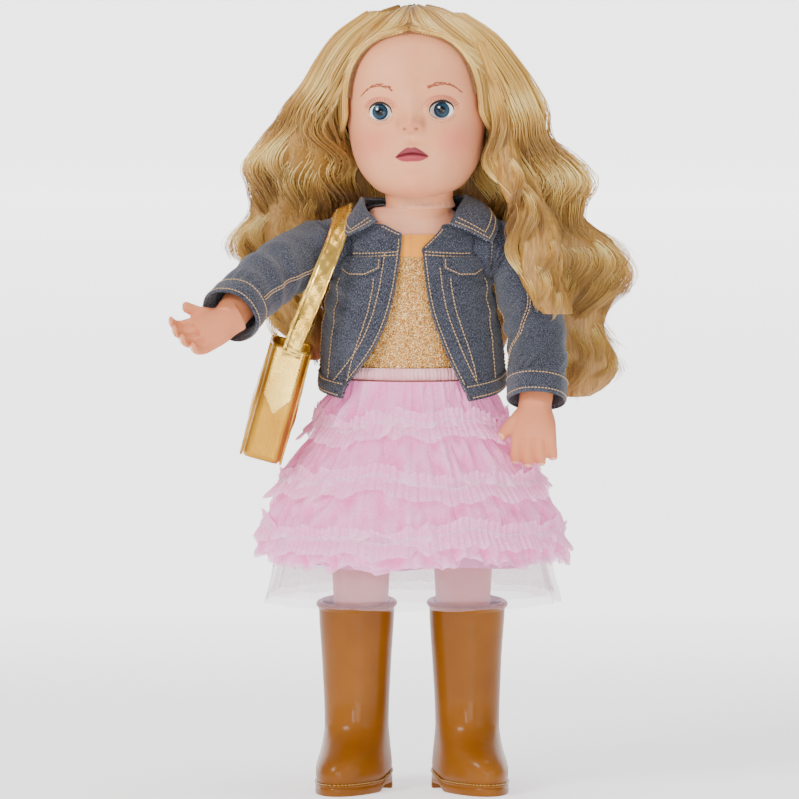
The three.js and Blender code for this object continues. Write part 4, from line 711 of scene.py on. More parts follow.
TORSO_BOTTOM, TORSO_TOP = 184.0, 342.0
TORSO_HALF_WIDTH, TORSO_HALF_DEPTH = 41.0, 30.0
TORSO = [
    [0.0, 0.50, 0.55, 0.16], [0.05, 0.90, 0.86, 0.10], [0.14, 1.03, 1.04, 0.05],
    [0.27, 1.03, 1.03, 0.0], [0.40, 0.99, 0.99, 0.0], [0.54, 0.98, 0.98, 0.0],
    [0.70, 1.0, 0.97, 0.0], [0.84, 0.99, 0.88, 0.0], [0.91, 0.93, 0.76, 0.0],
    [0.96, 0.74, 0.64, 0.0], [1.0, 0.53, 0.56, 0.0],
]
ARMHOLE_RADIUS, ARMHOLE_SIDE = 19.9, 32.8
HIP_X, HIP_Z, HIP_RADIUS, HIP_HALF_WIDTH = 30.0, 196.0, 20.6, 19.0
HIP_FACE_X, HIP_FACE_RADIUS = 9.6, 21.1


def egg_points(angle, half_width, front, back, z, middle=0.0):
    """Points round an egg-shaped section. Angle 0 is the front, and a quarter turn the doll's left."""
    reach = np.where(np.cos(angle) > 0, front, back)
    return np.stack(np.broadcast_arrays(half_width * np.sin(angle), middle - reach * np.cos(angle), z), axis=-1)


def torso_points(z, angle):
    z, angle = np.broadcast_arrays(np.asarray(z, float), np.asarray(angle, float))
    section = section_at(TORSO, TORSO_BOTTOM, TORSO_TOP, z)
    depth, middle = section[..., 1] * TORSO_HALF_DEPTH, section[..., 2] * TORSO_HALF_DEPTH
    return egg_points(angle, section[..., 0] * TORSO_HALF_WIDTH, depth, depth, z, middle)


def torso_normals(z, angle):
    up = torso_points(z + 0.4, angle) - torso_points(z - 0.4, angle)
    around = torso_points(z, angle + 0.01) - torso_points(z, angle - 0.01)
    return unit(np.cross(around, up))


def on_body(z, angle, lift):
    """Points at a distance out from the torso's face."""
    lift = np.asarray(lift, float)
    return torso_points(z, angle) + torso_normals(z, angle) * lift[..., None]


def armhole_cut(grid):
    """Moves the points of a panel that lie inside an armhole to its rim, and says which they are."""
    y, z = grid[..., 1], grid[..., 2] - SHOULDER_Z
    reach = np.hypot(y, z)
    inside = (reach < ARMHOLE_RADIUS) & (np.abs(grid[..., 0]) > ARMHOLE_SIDE)
    out = grid.copy()
    scale = np.where(inside, ARMHOLE_RADIUS / np.maximum(reach, 1e-6), 1.0)
    out[..., 1] = y * scale
    out[..., 2] = SHOULDER_Z + z * scale
    return out, inside


def cut_slab(name, grid, thickness, material, body, wrap=False, out=1.0):
    """Slab with its armhole faces taken away."""
    snapped, inside = armhole_cut(grid)
    piece = slab(name, snapped, thickness, material, body, wrap, out)
    if inside.any():
        both = np.concatenate([inside.ravel(), inside.ravel()])
        mesh = bmesh.new()
        mesh.from_mesh(piece.data)
        mesh.verts.ensure_lookup_table()
        gone = [face for face in mesh.faces if all(both[vert.index] for vert in face.verts)]
        bmesh.ops.delete(mesh, geom=gone, context="FACES")
        loose = [vert for vert in mesh.verts if not vert.link_faces]
        bmesh.ops.delete(mesh, geom=loose, context="VERTS")
        mesh.to_mesh(piece.data)
        mesh.free()
        piece.data.update()
    return piece


def front_share(angle):
    """1 at the front and 0 at the back."""
    return (1 + np.cos(angle)) / 2


def neckline_z(angle):
    return mix(339.5, 326.5, smooth(front_share(angle)))


def band_bottom_z(angle):
    return neckline_z(angle) - mix(0.35, 1.0, smooth(front_share(angle))) * NECKBAND_HEIGHT


def body_grid(bottom_of, top_of, lift_of, rows, columns):
    """Grid round the torso between two heights, with its places; heights and lift are given as functions."""
    angle = turn_steps(columns)
    share = np.linspace(0, 1, rows)[:, None]
    z = mix(bottom_of(angle)[None, :], top_of(angle)[None, :], share)
    angles = np.broadcast_to(angle, z.shape)
    return on_body(z, angles, lift_of(z, angles)), z, angles


def make_torso():
    """Stuffed cloth body, flattened where the legs' hip barrels turn against it."""
    z, angle = np.meshgrid(np.linspace(TORSO_BOTTOM, TORSO_TOP, 40), turn_steps(64), indexing="ij")
    grid = torso_points(z, angle)
    for side in (1, -1):
        near = np.hypot(grid[..., 1], grid[..., 2] - HIP_Z) < HIP_FACE_RADIUS
        inside = (side * grid[..., 0] > HIP_FACE_X) & near
        grid[..., 0] = np.where(inside, side * HIP_FACE_X, grid[..., 0])
    piece = skin("cloth_body", grid, stuffed_cloth, "torso", wrap=True)
    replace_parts(piece, "cloth_torso")


NECK_X, CORD_RADIUS, CORD_Z = 5.0, 18.6, 343.4
TOP_HEM, NECKBAND_HEIGHT = 249.6, 12.5


def make_neck_casing():
    """Gathered casing of the cloth body round the drawcord at the neck."""
    count = 160
    angle = turn_steps(count)
    gather = 0.22 * np.sin(26 * angle) + 0.14 * np.sin(43 * angle + 1)
    rows = [on_body(TORSO_TOP - drop, angle, 0.3) for drop in (2.0, 0.6)]
    for out, rise in ((1.25, -0.9), (1.5, 0.1), (1.25, 1.0), (0.7, 2.0), (0.35, 3.2), (0.0, 4.4)):
        radius = CORD_RADIUS + out + gather
        rows.append(np.stack([NECK_X + radius * np.sin(angle), -radius * np.cos(angle),
                              np.full(count, CORD_Z + rise)], axis=1))
    piece = skin("neck_casing", np.array(rows), stuffed_cloth, "torso", wrap=True)


def make_top():
    """Glitter knit top with its ribbed neckband."""
    def lift(z, angle):
        creases = fold_noise(angle, z, 4, (5, 9, 14), 0.35) * smooth((z - 250) / 20)
        return 2.0 + np.abs(creases) + 0.25

    grid, _, _ = body_grid(lambda a: np.full_like(a, TOP_HEM), lambda a: band_bottom_z(a) + 0.8, lift, 70, 220)
    piece = cut_slab("knit_top", grid, 0.9, glitter, "torso", wrap=True)
    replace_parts(piece, "top_body")

    def band_lift(z, angle):
        across = (z - band_bottom_z(angle)) / np.maximum(neckline_z(angle) - band_bottom_z(angle), 0.1)
        crown = 0.5 * np.sin(math.pi * clamp01(across))
        rib = 0.16 * np.sin(angle * 130)
        return 2.5 + crown + rib

    grid, _, _ = body_grid(band_bottom_z, neckline_z, band_lift, 14, 260)
    band = slab("ribbed_neckband", grid, 1.5, mustard, "torso", wrap=True)
    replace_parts(band, "top_neckband")


# ---- Denim jacket

DENIM = 1.7
HEM_FRONT, HEM_SIDE = 228.0, 237.0
NECK_FRONT, NECK_BACK = 331.0, 341.0
FRONT_OPENING = 41.0
HEM_BAND = 9.5
SEAM_RADIUS = 0.75
SIDE_SEAM = math.pi / 2
YOKE_Z = 315.5
FRONT_EDGES = [
    [0, 0.854, 1], [0.117, 0.707, 0.902], [0.359, 0.439, 0.512], [0.563, 0.256, 0.305],
    [0.777, 0.171, 0.195], [0.971, 0.146, 0.159], [1.03, 0.268, 0.268],
]


def jacket_top_z(angle):
    return mix(NECK_BACK, NECK_FRONT, smooth(front_share(angle)))


def front_top_z(angle):
    """Top of a front panel: it slants up from the front edge to the collar's notch."""
    angle = np.asarray(angle, float)
    across = TORSO_HALF_WIDTH * np.abs(np.sin(angle))
    corner = np.where(angle > 0, 318.5, 326.5)
    slant = mix(corner, NECK_FRONT + 1.5, clamp01((across - 5.5) / 15.5))
    return np.minimum(slant, jacket_top_z(angle))


def hem_z(angle):
    return mix(HEM_SIDE, HEM_FRONT, np.maximum(0, np.cos(angle)))


def band_top_z(angle):
    return hem_z(angle) + HEM_BAND


def jacket_lift(z, angle):
    low = smooth((SHOULDER_Z - z) / (SHOULDER_Z - HEM_FRONT))
    return 3.0 + low * 9.0 * (1 + 0.12 * np.cos(6 * angle))


def edge_angle(z, side):
    """Angle of a front's open edge at each height."""
    z = np.asarray(z, float)
    edges = section_at(FRONT_EDGES, HEM_FRONT, NECK_FRONT, z)
    reach = FRONT_OPENING * edges[..., 0 if side > 0 else 1]
    width = section_at(TORSO, TORSO_BOTTOM, TORSO_TOP, z)[..., 0]
    half_width = width * TORSO_HALF_WIDTH + jacket_lift(z, 0.6)
    return np.arcsin(clamp01(reach / half_width))


def jacket_wrinkles(z, angle):
    """Soft dents and creases in the denim, stronger low down and near the armpits, and a puff under the arms."""
    puff = 2.6 * bell(z - 268, 26) * np.sin(angle) ** 6
    long_folds = fold_noise(angle, z, 11, (4, 7, 11), 0.55)
    small = fold_noise(angle * 2 + z * 0.11, z, 12, (9, 15), 0.22)
    pit = bell(np.abs(np.sin(angle)) - 1, 0.5) * bell(z - 296, 22)
    drag = 0.9 * np.sin(z * 0.42 + 6 * np.cos(angle)) * pit
    return long_folds * smooth((330 - z) / 60) + small + drag + puff


def denim_lift(z, angle, extra=0.0):
    """Outward lift of the denim's face over the body, with its wrinkles."""
    return jacket_lift(z, angle) + DENIM + 0.35 + extra + np.maximum(jacket_wrinkles(z, angle), -0.3)


def panel_grid(from_of, to_of, bottom_of, top_of, rows, columns, extra=0.0):
    """Grid of a jacket panel between two edges and two heights, each given as a function."""
    share = np.linspace(0, 1, rows)[:, None]
    across = np.linspace(0, 1, columns)[None, :]
    start = from_of(np.full((1, 1), HEM_FRONT))
    end = to_of(np.full((1, 1), HEM_FRONT))
    angle = mix(start, end, across)
    z = mix(bottom_of(angle), top_of(angle), share)
    for _ in range(3):
        angle = mix(from_of(z), to_of(z), across)
        z = mix(bottom_of(angle), top_of(angle), share)
    return on_body(z, angle, denim_lift(z, angle, extra)), z, angle


def jacket_line(places, extra):
    """Points and normals on the jacket's face for a line of (angle, height) places."""
    places = np.asarray(places, float)
    angle, z = places[:, 0], places[:, 1]
    return on_body(z, angle, denim_lift(z, angle, extra)), torso_normals(z, angle)


def outside_armhole(points):
    """Which points lie clear of the armholes' rims."""
    reach = np.hypot(points[:, 1], points[:, 2] - SHOULDER_Z)
    return (reach > ARMHOLE_RADIUS + 0.5) | (np.abs(points[:, 0]) < ARMHOLE_SIDE)


JACKET_PITCH = 2.1
jacket_beads = []


def sew(places, extra=0.02, offsets=(0.0,)):
    """Rows of topstitching along a line on the jacket, at sideways offsets in millimetres."""
    dense = read_along(places, np.linspace(0, 1, len(places)), np.linspace(0, 1, 160))
    for offset in offsets:
        path, normals = jacket_line(dense, extra)
        if offset:
            tangent = unit(np.gradient(path, axis=0))
            path = path + np.cross(normals, tangent) * offset
        keep = outside_armhole(path)
        if keep.sum() < 4:
            continue
        for run in np.split(np.arange(len(keep)), np.where(np.diff(keep.astype(int)) != 0)[0] + 1):
            if keep[run[0]] and len(run) > 3:
                jacket_beads.extend(stitch_row(path[run], normals[run], JACKET_PITCH))


def seam_cord(name, places):
    """Felled seam: a low rounded ridge of doubled denim."""
    dense = read_along(places, np.linspace(0, 1, len(places)), np.linspace(0, 1, 90))
    path, normals = jacket_line(dense, -0.25)
    keep = outside_armhole(path)
    path, normals = path[keep], normals[keep]
    tangent = unit(np.gradient(path, axis=0))
    side = np.cross(normals, tangent)
    section = [(-2.2, -0.6), (-1.7, 0.1), (-0.9, 0.42), (0, 0.5), (0.9, 0.42), (1.5, 0.05), (1.7, -0.6)]
    grid = np.stack([path + side * a * SEAM_RADIUS + normals * b * SEAM_RADIUS for a, b in section], axis=1)
    skin(name, grid, denim, "torso")


def panel_bottom(angle):
    return band_top_z(angle) - 0.2


def straight(angle):
    """Upright panel edge at one angle round the body."""
    return lambda z: np.full_like(np.asarray(z, float), angle)


def edge_at(z, side):
    """Angle of a front edge at one height."""
    return edge_angle(np.array([z]), side)[0]


def make_jacket_front(name, side):
    """Open front with its placket, lapel, yoke and panel seams, pocket flap and half of the collar."""
    grid, _, _ = panel_grid(lambda z: side * edge_angle(z, side), straight(side * SIDE_SEAM), panel_bottom,
                            front_top_z, 100, 60)
    piece = cut_slab(f"denim_front_{name}", grid, DENIM, denim, "torso", out=side)
    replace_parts(piece, f"jacket_front_{name}")

    heights = np.linspace(HEM_FRONT + 9, 317.0 if side > 0 else 325.0, 40)
    sew([(side * (edge_at(z, side) + 0.035), z) for z in heights])
    placket = [(side * (edge_at(z, side) + 0.21), z) for z in heights[:-4]]
    seam_cord(f"placket_seam_{name}", placket)
    sew(placket, 0.3)
    sew([(a, float(front_top_z(np.array(a))) - 1.3) for a in side * np.linspace(0.17, 0.5, 14)])
    yoke = [(side * a, YOKE_Z - 1.4 * math.sin((a - 0.1) * 2.2))
            for a in np.linspace(edge_at(YOKE_Z, side) + 0.02, 1.5, 30)]
    seam_cord(f"yoke_seam_{name}", yoke)
    sew([(a, z + 1.6) for a, z in yoke], 0.05)
    sew([(a, z - 0.2) for a, z in yoke], 0.3)
    for number, (top_angle, bottom_angle) in enumerate(((0.52, 0.80), (1.14, 1.1))):
        seam = [(side * mix(top_angle, bottom_angle, smooth(t)), mix(302, band_top_z(np.array(0.8)) + 1, t))
                for t in np.linspace(0, 1, 30)]
        seam_cord(f"front_seam_{name}_{number}", seam)
        sew(seam, 0.3)
    make_flap(name, side)
    make_collar(name, side)


def make_jacket():
    """Both fronts, the back with its seams, the hem band, and all the topstitching as one piece."""
    for name, side in (("left", 1), ("right", -1)):
        make_jacket_front(name, side)

    grid, _, _ = panel_grid(straight(SIDE_SEAM), straight(TURN - SIDE_SEAM), panel_bottom, jacket_top_z, 100, 120)
    piece = cut_slab("denim_back", grid, DENIM, denim, "torso")
    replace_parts(piece, "jacket_back")
    yoke = [(a, 316 - 3 * bell(a - math.pi, 0.5))
            for a in np.linspace(SIDE_SEAM + 0.1, TURN - SIDE_SEAM - 0.1, 60)]
    seam_cord("back_yoke_seam", yoke)
    sew([(a, z + 1.6) for a, z in yoke])
    sew([(a, z - 0.2) for a, z in yoke], 0.3)
    for number, shift in enumerate((-0.42, 0.42)):
        seam = [(math.pi + shift * mix(1.0, 0.72, t), mix(313, 246, t)) for t in np.linspace(0, 1, 30)]
        seam_cord(f"back_seam_{number}", seam)
        sew(seam, 0.3, (-0.75, 0.75))
    for number, side in enumerate((1, -1)):
        seam = [(side * SIDE_SEAM, mix(298, 246, t)) for t in np.linspace(0, 1, 20)]
        seam_cord(f"side_seam_{number}", seam)
        sew(seam, 0.3, (-0.75, 0.75))

    grid, z, angle = panel_grid(lambda z: edge_angle(z, 1), lambda z: TURN - edge_angle(z, -1), hem_z, band_top_z,
                                14, 260, 0.55)
    puff = np.sin(np.linspace(0, math.pi, 14))[:, None] * 0.5
    grid = grid + torso_normals(z, angle) * puff[..., None]
    piece = slab("denim_hem_band", grid, DENIM * 1.4, denim, "torso")
    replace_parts(piece, "jacket_hem_band")
    for rise in (1.5, HEM_BAND - 1.5):
        first, last = edge_at(HEM_FRONT + rise, 1), TURN - edge_at(HEM_FRONT + rise, -1)
        angle = mix(first, last, np.linspace(0.004, 0.996, 200))
        path, normals = jacket_line(np.column_stack([angle, hem_z(angle) + rise]), 0.85)
        jacket_beads.extend(stitch_row(path, normals, JACKET_PITCH))
    threads = thread_piece("jacket_topstitching", jacket_beads, tan_thread, "torso")


def make_flap(name, side):
    """Pointed pocket flap on the chest, its lower edge a little proud."""
    share = np.linspace(0, 1, 33)[None, :]
    down = np.linspace(0, 1, 12)[:, None]
    angle = side * mix(0.42, 1.12, share)
    corner = np.minimum(1, (1 - np.abs(2 * share - 1)) * 1.6)
    z = 314.0 - down * (11.0 - 4.5 + 4.5 * corner)
    angle, z = np.broadcast_arrays(angle, z)
    grid = on_body(z, angle, denim_lift(z, angle, 1.15 + 0.5 * down))
    piece = cut_slab(f"denim_flap_{name}", grid, 1.2, denim, "torso", out=-side)
    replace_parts(piece, f"pocket_flap_{name}")
    normals = torso_normals(z, angle)
    edge, normal = (np.concatenate([rows[2:-2, 1], rows[-2, 1:-1], rows[2:-2, -2][::-1]])
                    for rows in (grid, normals))
    keep = outside_armhole(edge)
    edge, normal = edge[keep], normal[keep]
    jacket_beads.extend(stitch_row(edge + normal * 0.1, normal, 1.9))


COLLARS = {
    "left": [
        [(0, 25, 346), (0, 31, 338), (0, 33, 327)],
        [(16, 22, 346.5), (19, 29, 339), (20, 31, 328)],
        [(27, 12, 348.5), (34, 17, 343.5), (37, 21, 333)],
        [(31.5, 0, 349.5), (40.5, 1, 345.5), (45.5, 3, 339.5)],
        [(31, -9, 349), (42, -11, 343.5), (49.5, -10, 336)],
        [(27, -19, 343.5), (38, -20.5, 337), (50, -18.5, 329)],
        [(22, -27.5, 334.5), (33.5, -28, 330), (47, -25.5, 323)],
    ],
    "right": [
        [(0, 25, 346), (0, 31, 338), (0, 33, 327)],
        [(-16, 22, 346.5), (-19, 29, 339), (-20, 31, 328)],
        [(-26, 12, 347.5), (-31, 17, 341), (-35, 22, 331)],
        [(-29.5, 0, 348.5), (-34.5, 0, 341.5), (-39.5, 0, 337)],
        [(-29, -9, 348), (-34.5, -11, 341), (-41, -11, 334.5)],
        [(-26.5, -18.5, 342), (-33.5, -20.5, 336), (-41, -19.5, 329.5)],
        [(-20.5, -27, 336), (-29, -27.5, 331.5), (-38, -25, 327.5)],
    ],
}


def make_collar(name, side):
    """One half of the turned-down collar, from the middle of the back to its point."""
    places = np.array(COLLARS[name], float)
    share, down = np.linspace(0, 1, 70), np.linspace(0, 1, 24)
    at = np.linspace(0, 1, len(places))
    across = np.stack([read_table(np.column_stack([at, places[:, k]]), share) for k in range(3)])
    grid = np.stack([read_table(np.column_stack([[0, 0.5, 1], across[:, i]]), down)
                     for i in range(len(share))], axis=1)
    ripple = 0.3 * np.sin(19 * share)[None, :] * down[:, None]
    normals = grid_normals(grid, False) * side
    grid = grid + normals * ripple[..., None]
    piece = slab(f"denim_collar_{name}", grid, DENIM, denim, "torso", out=side)
    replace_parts(piece, f"jacket_collar_{name}")
    for inset in (2, 5):
        edge = np.concatenate([grid[-1 - inset, 2:-inset], grid[2:-1 - inset, -1 - inset][::-1]])
        out = np.concatenate([normals[-1 - inset, 2:-inset], normals[2:-1 - inset, -1 - inset][::-1]])
        jacket_beads.extend(stitch_row(edge + out * 0.12, out, 2.0))


make_torso()
make_neck_casing()
make_top()
make_jacket()


# ---- Arms, sleeves, cuffs and hands

SLEEVE_RADIUS = 17.2
CUFF_RADIUS = 16.4
ARMS = {
    "left": {"side": 1, "elbow": (33, 14, 46), "wrist": (26, 35, 91), "along": (-0.03, -0.22, -0.97),
             "palm": (0.1, 0.95, -0.2), "curl": 0.3, "seed": 21},
    "right": {"side": -1, "elbow": (44, 38, 13), "wrist": (61.5, 77, 38), "along": (-0.86, -0.28, -0.42),
              "palm": (-0.2, -0.8, 0.55), "curl": 0.35, "seed": 22},
}


def arm_place(arm, place):
    """Point of an arm from its distances out, forward and down from the shoulder."""
    out, forward, down = place
    return np.array([arm["side"] * (SHOULDER_X + out), -forward, SHOULDER_Z - down])


class ArmPath:
    """Centre line of an arm: a bend round the armpit, then a curve by the elbow to the wrist."""

    def __init__(self, arm):
        side = arm["side"]
        self.shoulder = np.array([side * SHOULDER_X, 0.0, SHOULDER_Z])
        reach = arm_place(arm, arm["elbow"]) - self.shoulder
        self.out = np.array([side, 0.0, 0.0])
        self.down = unit(np.array([0.0, reach[1], reach[2]]))
        self.bend = math.atan2(math.hypot(reach[1], reach[2]), abs(reach[0])) * 0.92
        self.pivot = self.shoulder + self.down * SLEEVE_RADIUS
        start, self.bend_along = self.bend_place(1.0)
        controls = [start, arm_place(arm, arm["elbow"]), arm_place(arm, arm["wrist"])]
        t = np.linspace(0, 1, 400)[:, None]
        self.curve = controls[0] * (1 - t) ** 2 + 2 * controls[1] * t * (1 - t) + controls[2] * t * t
        self.lengths = path_lengths(self.curve)
        self.total = self.lengths[-1]
        self.tangents = unit(np.gradient(self.curve, axis=0))

    def bend_place(self, share):
        angle = self.bend * share
        along = self.out * math.cos(angle) + self.down * math.sin(angle)
        lift = self.out * math.sin(angle) - self.down * math.cos(angle)
        return self.pivot + lift * SLEEVE_RADIUS, along

    def place(self, share):
        at = [share * self.total]
        point = read_along(self.curve, self.lengths, at)[0]
        tangent = unit(read_along(self.tangents, self.lengths, at)[0])
        along = unit(mix(self.bend_along, tangent, float(smooth(2 * share))))
        return point, along

    def sides(self, along):
        first = unit(-self.down + along * np.dot(self.down, along))
        return first, np.cross(along, first)

    def ring(self, centre, along, radii, angle):
        first, second = self.sides(along)
        around = first * np.cos(angle)[:, None] + second * np.sin(angle)[:, None]
        return centre + around * np.asarray(radii)[:, None]

    def tube(self, radius_of, count, bend_steps=12, steps=50, end=1.0):
        """Grid of the tube round the arm; radius_of(travel, angle) gives its radius, travel from -1 to 1."""
        angle = turn_steps(count)
        rows = []
        for i in range(bend_steps):
            centre, along = self.bend_place(i / bend_steps)
            rows.append(self.ring(centre, along, radius_of(i / bend_steps - 1, angle), angle))
        for i in range(steps + 1):
            share = end * i / steps
            centre, along = self.place(share)
            rows.append(self.ring(centre, along, radius_of(share, angle), angle))
        return np.array(rows)


def sleeve_radius(travel, angle, seed):
    """Radius of the denim sleeve: puffed at the shoulder, creased at the armpit and elbow."""
    base = mix(SLEEVE_RADIUS, CUFF_RADIUS, max(0.0, 2 * travel - 1)) + 0.2
    under = (1 - np.cos(angle)) / 2
    random = np.random.default_rng(seed)
    phase = random.uniform(0, TURN, 4)
    pit = bell(travel + 0.1, 0.45) * (0.25 + under)
    elbow = bell(travel - 0.5, 0.24) * (0.35 + 0.65 * under)
    creases = 1.15 * pit * np.sin(21 * travel + 1.4 * np.cos(angle - 0.6) + phase[0])
    creases = creases + 1.1 * elbow * np.sin(34 * travel + 1.8 * np.cos(angle + phase[1]) + phase[2])
    soft = 0.5 * np.sin(3 * angle + 5 * travel + phase[3]) + 0.3 * np.sin(5 * angle - 7 * travel)
    gather = 0.35 * bell(travel - 0.8, 0.1) * np.sin(17 * angle)
    return base + np.maximum(creases, -0.9) + soft * 0.8 + gather


SLEEVE_SEAMS = ((48, 8), (23, 30))
CUFF_SECTION = [[-0.6, 0.2], [0.0, 1.15], [0.8, 1.6], [7.0, 1.75], [13.2, 1.6], [14.0, 1.1], [14.3, 0.4]]


def make_sleeve(name, arm, path):
    """Denim sleeve with its head in the armhole, two felled seams (column, first row) and the cuff."""
    body = f"arm_{name}_body"
    count = 96
    grid = path.tube(lambda travel, angle: sleeve_radius(travel, angle, arm["seed"]), count, 22, 90, 0.805)
    angle = turn_steps(count)
    head_rings = []
    for inset, radius in ((11.0, 17.8), (8.0, 18.4), (5.0, 18.9), (2.4, 19.35), (1.0, 19.5), (-0.6, 18.9)):
        centre = path.shoulder - path.out * inset
        head_rings.append(path.ring(centre, path.out, np.full(count, radius), angle))
    grid = np.concatenate([np.array(head_rings), grid[2:]])
    normals = grid_normals(grid, True)
    outward = np.sum((grid[30] - grid[30].mean(0)) * normals[30])
    out = 1.0 if outward > 0 else -1.0
    piece = slab(f"denim_sleeve_{name}", grid, 1.4, denim, body, wrap=True, out=out)
    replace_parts(piece, f"sleeve_{name}")
    normals = normals * out
    armhole_row = len(head_rings)
    beads = stitch_row(closed(grid[armhole_row]), closed(normals[armhole_row]), JACKET_PITCH)
    for column, start in SLEEVE_SEAMS:
        line, outward = grid[start:, column], normals[start:, column]
        tangent = unit(np.gradient(line, axis=0))
        side = np.cross(outward, tangent)
        profile = [(-1.5, -0.35), (-1.1, 0.2), (0, 0.42), (1.0, 0.15), (1.3, -0.35)]
        ridge = np.stack([line + side * a + outward * b for a, b in profile], axis=1)
        skin(f"sleeve_seam_{name}_{column}", ridge, denim, body)
        for offset in (-0.75, 0.75):
            beads += stitch_row(line + side * offset + outward * 0.3, outward, JACKET_PITCH)

    centre, along = path.place(0.8)
    cuff_rows = []
    section = np.array(CUFF_SECTION)
    cuff_lengths = np.concatenate([[-0.6, 0.0, 0.5], np.linspace(1.2, 13, 14), [13.7, 14.1, 14.3]])
    for at in cuff_lengths:
        raised = np.interp(at, section[:, 0], section[:, 1])
        soft = 0.35 * np.sin(2 * angle + 0.2 * at) + 0.2 * np.sin(5 * angle + 1.0)
        cuff_rows.append(path.ring(centre + along * (0.3 + at), along, CUFF_RADIUS + raised - 0.2 + soft, angle))
    cuff_grid = np.array(cuff_rows)
    piece = slab(f"denim_cuff_{name}", cuff_grid, 2.6, denim, body, wrap=True, out=out)
    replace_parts(piece, f"cuff_{name}")
    cuff_normals = grid_normals(cuff_grid, True) * out
    for row in (4, len(cuff_rows) - 5):
        beads += stitch_row(closed(cuff_grid[row]) + 0.05, closed(cuff_normals[row]), 2.0)
    threads = thread_piece(f"sleeve_topstitching_{name}", beads, tan_thread, body)


def closed_loft(rings):
    """Points and faces of a tube closed with a middle point at each end."""
    rings = np.asarray(rings)
    rows, count = rings.shape[:2]
    points = np.concatenate([rings.reshape(-1, 3), [rings[0].mean(0)], [rings[-1].mean(0)]])
    quads = grid_faces(rows, count, True).tolist()
    first, last = rows * count, rows * count + 1
    ends = [[(i + 1) % count, i, first] for i in range(count)]
    ends += [[(rows - 1) * count + i, (rows - 1) * count + (i + 1) % count, last] for i in range(count)]
    return points, quads + ends


def fused_piece(name, lofts, material, body, voxel=0.8, smoothing=4):
    """One smooth skin over several overlapping closed lofts."""
    mesh = bmesh.new()
    for rings in lofts:
        points, faces = closed_loft((np.asarray(rings) + SHIFT) * MM)
        verts = [mesh.verts.new(point) for point in points]
        for face in faces:
            mesh.faces.new([verts[i] for i in face])
    bmesh.ops.recalc_face_normals(mesh, faces=mesh.faces)
    data = bpy.data.meshes.new(name)
    mesh.to_mesh(data)
    mesh.free()
    piece = bpy.data.objects.new(name, data)
    bpy.context.scene.collection.objects.link(piece)
    remesh = piece.modifiers.new("fuse", "REMESH")
    remesh.mode = "VOXEL"
    remesh.voxel_size = voxel * MM
    remesh.use_smooth_shade = True
    soften = piece.modifiers.new("soften", "SMOOTH")
    soften.factor = 0.5
    soften.iterations = smoothing
    apply_modifiers(piece)
    piece.data.materials.clear()
    piece.data.materials.append(material)
    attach(piece, body)
    return piece


def apply_modifiers(piece):
    depsgraph = bpy.context.evaluated_depsgraph_get()
    made = bpy.data.meshes.new_from_object(piece.evaluated_get(depsgraph))
    piece.modifiers.clear()
    piece.data = made
    made.polygons.foreach_set("use_smooth", np.ones(len(made.polygons), bool))


def oval_ring(centre, along, marker, across, thick, count=20):
    along = unit(along)
    first = unit(marker - along * np.dot(marker, along))
    second = np.cross(along, first)
    angle = turn_steps(count)
    return centre + first * np.cos(angle)[:, None] * thick + second * np.sin(angle)[:, None] * across


def finger_place(origin, along, palm, length, curl, share):
    """Centre and direction of a curled finger at a share of its length."""
    bend = curl * share * share
    direction = along * math.cos(curl * share) + palm * math.sin(curl * share)
    return origin + along * length * share * math.cos(bend) + palm * length * share * math.sin(bend), direction


def tip_taper(share):
    """Narrowing of a finger toward its rounded tip."""
    return (1 - 0.16 * share) * math.sqrt(max(0.08, 1 - max(0.0, (share - 0.84) / 0.16) ** 2))


def finger_rings(origin, along, palm, length, radius, curl):
    rings = []
    for share in np.concatenate([np.linspace(0, 0.9, 14), [0.95, 0.98, 1.0]]):
        centre, direction = finger_place(origin, along, palm, length, curl, share)
        joints = 1 + 0.05 * bell(share - 0.35, 0.06) + 0.05 * bell(share - 0.68, 0.05)
        across = radius * tip_taper(share) * joints
        rings.append(oval_ring(centre, direction, palm, across, across * 0.94, 14))
    return rings


def nail_grid(origin, along, palm, length, radius, curl):
    """Shallow nail plate on the back of a fingertip."""
    rows = []
    for share in np.linspace(NAIL_START, NAIL_END, 7):
        centre, direction = finger_place(origin, along, palm, length, curl, share)
        direction = unit(direction)
        back = unit(-palm + direction * np.dot(palm, direction))
        side = np.cross(direction, back)
        lift = radius * tip_taper(share) + 0.12
        end = (share - NAIL_START) / (NAIL_END - NAIL_START)
        wide = 0.75 * math.sqrt(max(0.0, 1 - (2 * end - 1) ** 4))
        rows.append([centre + (back * math.cos(a) * 0.94 + side * math.sin(a)) * lift
                     for a in np.linspace(-wide, wide, 9)])
    return np.array(rows)


NAIL_START, NAIL_END = 0.8, 0.985
PALM_LENGTH, PALM_HALF_WIDTH, PALM_HALF_THICKNESS = 17.0, 13.0, 6.4
PALM = [[-0.45, 0.70, 1.3], [0, 0.76, 1.25], [0.35, 0.92, 1.1], [0.75, 1, 0.92], [1.1, 0.9, 0.7]]
FINGER_RADIUS, FINGER_REACH = 3.55, 19.0 + 17.0 * 0.15
FINGERS = [[0.74, 0.95], [0.25, 1.05], [-0.25, 1.0], [-0.74, 0.82]]
THUMB_RADIUS, THUMB_LENGTH = 3.95, 20.0


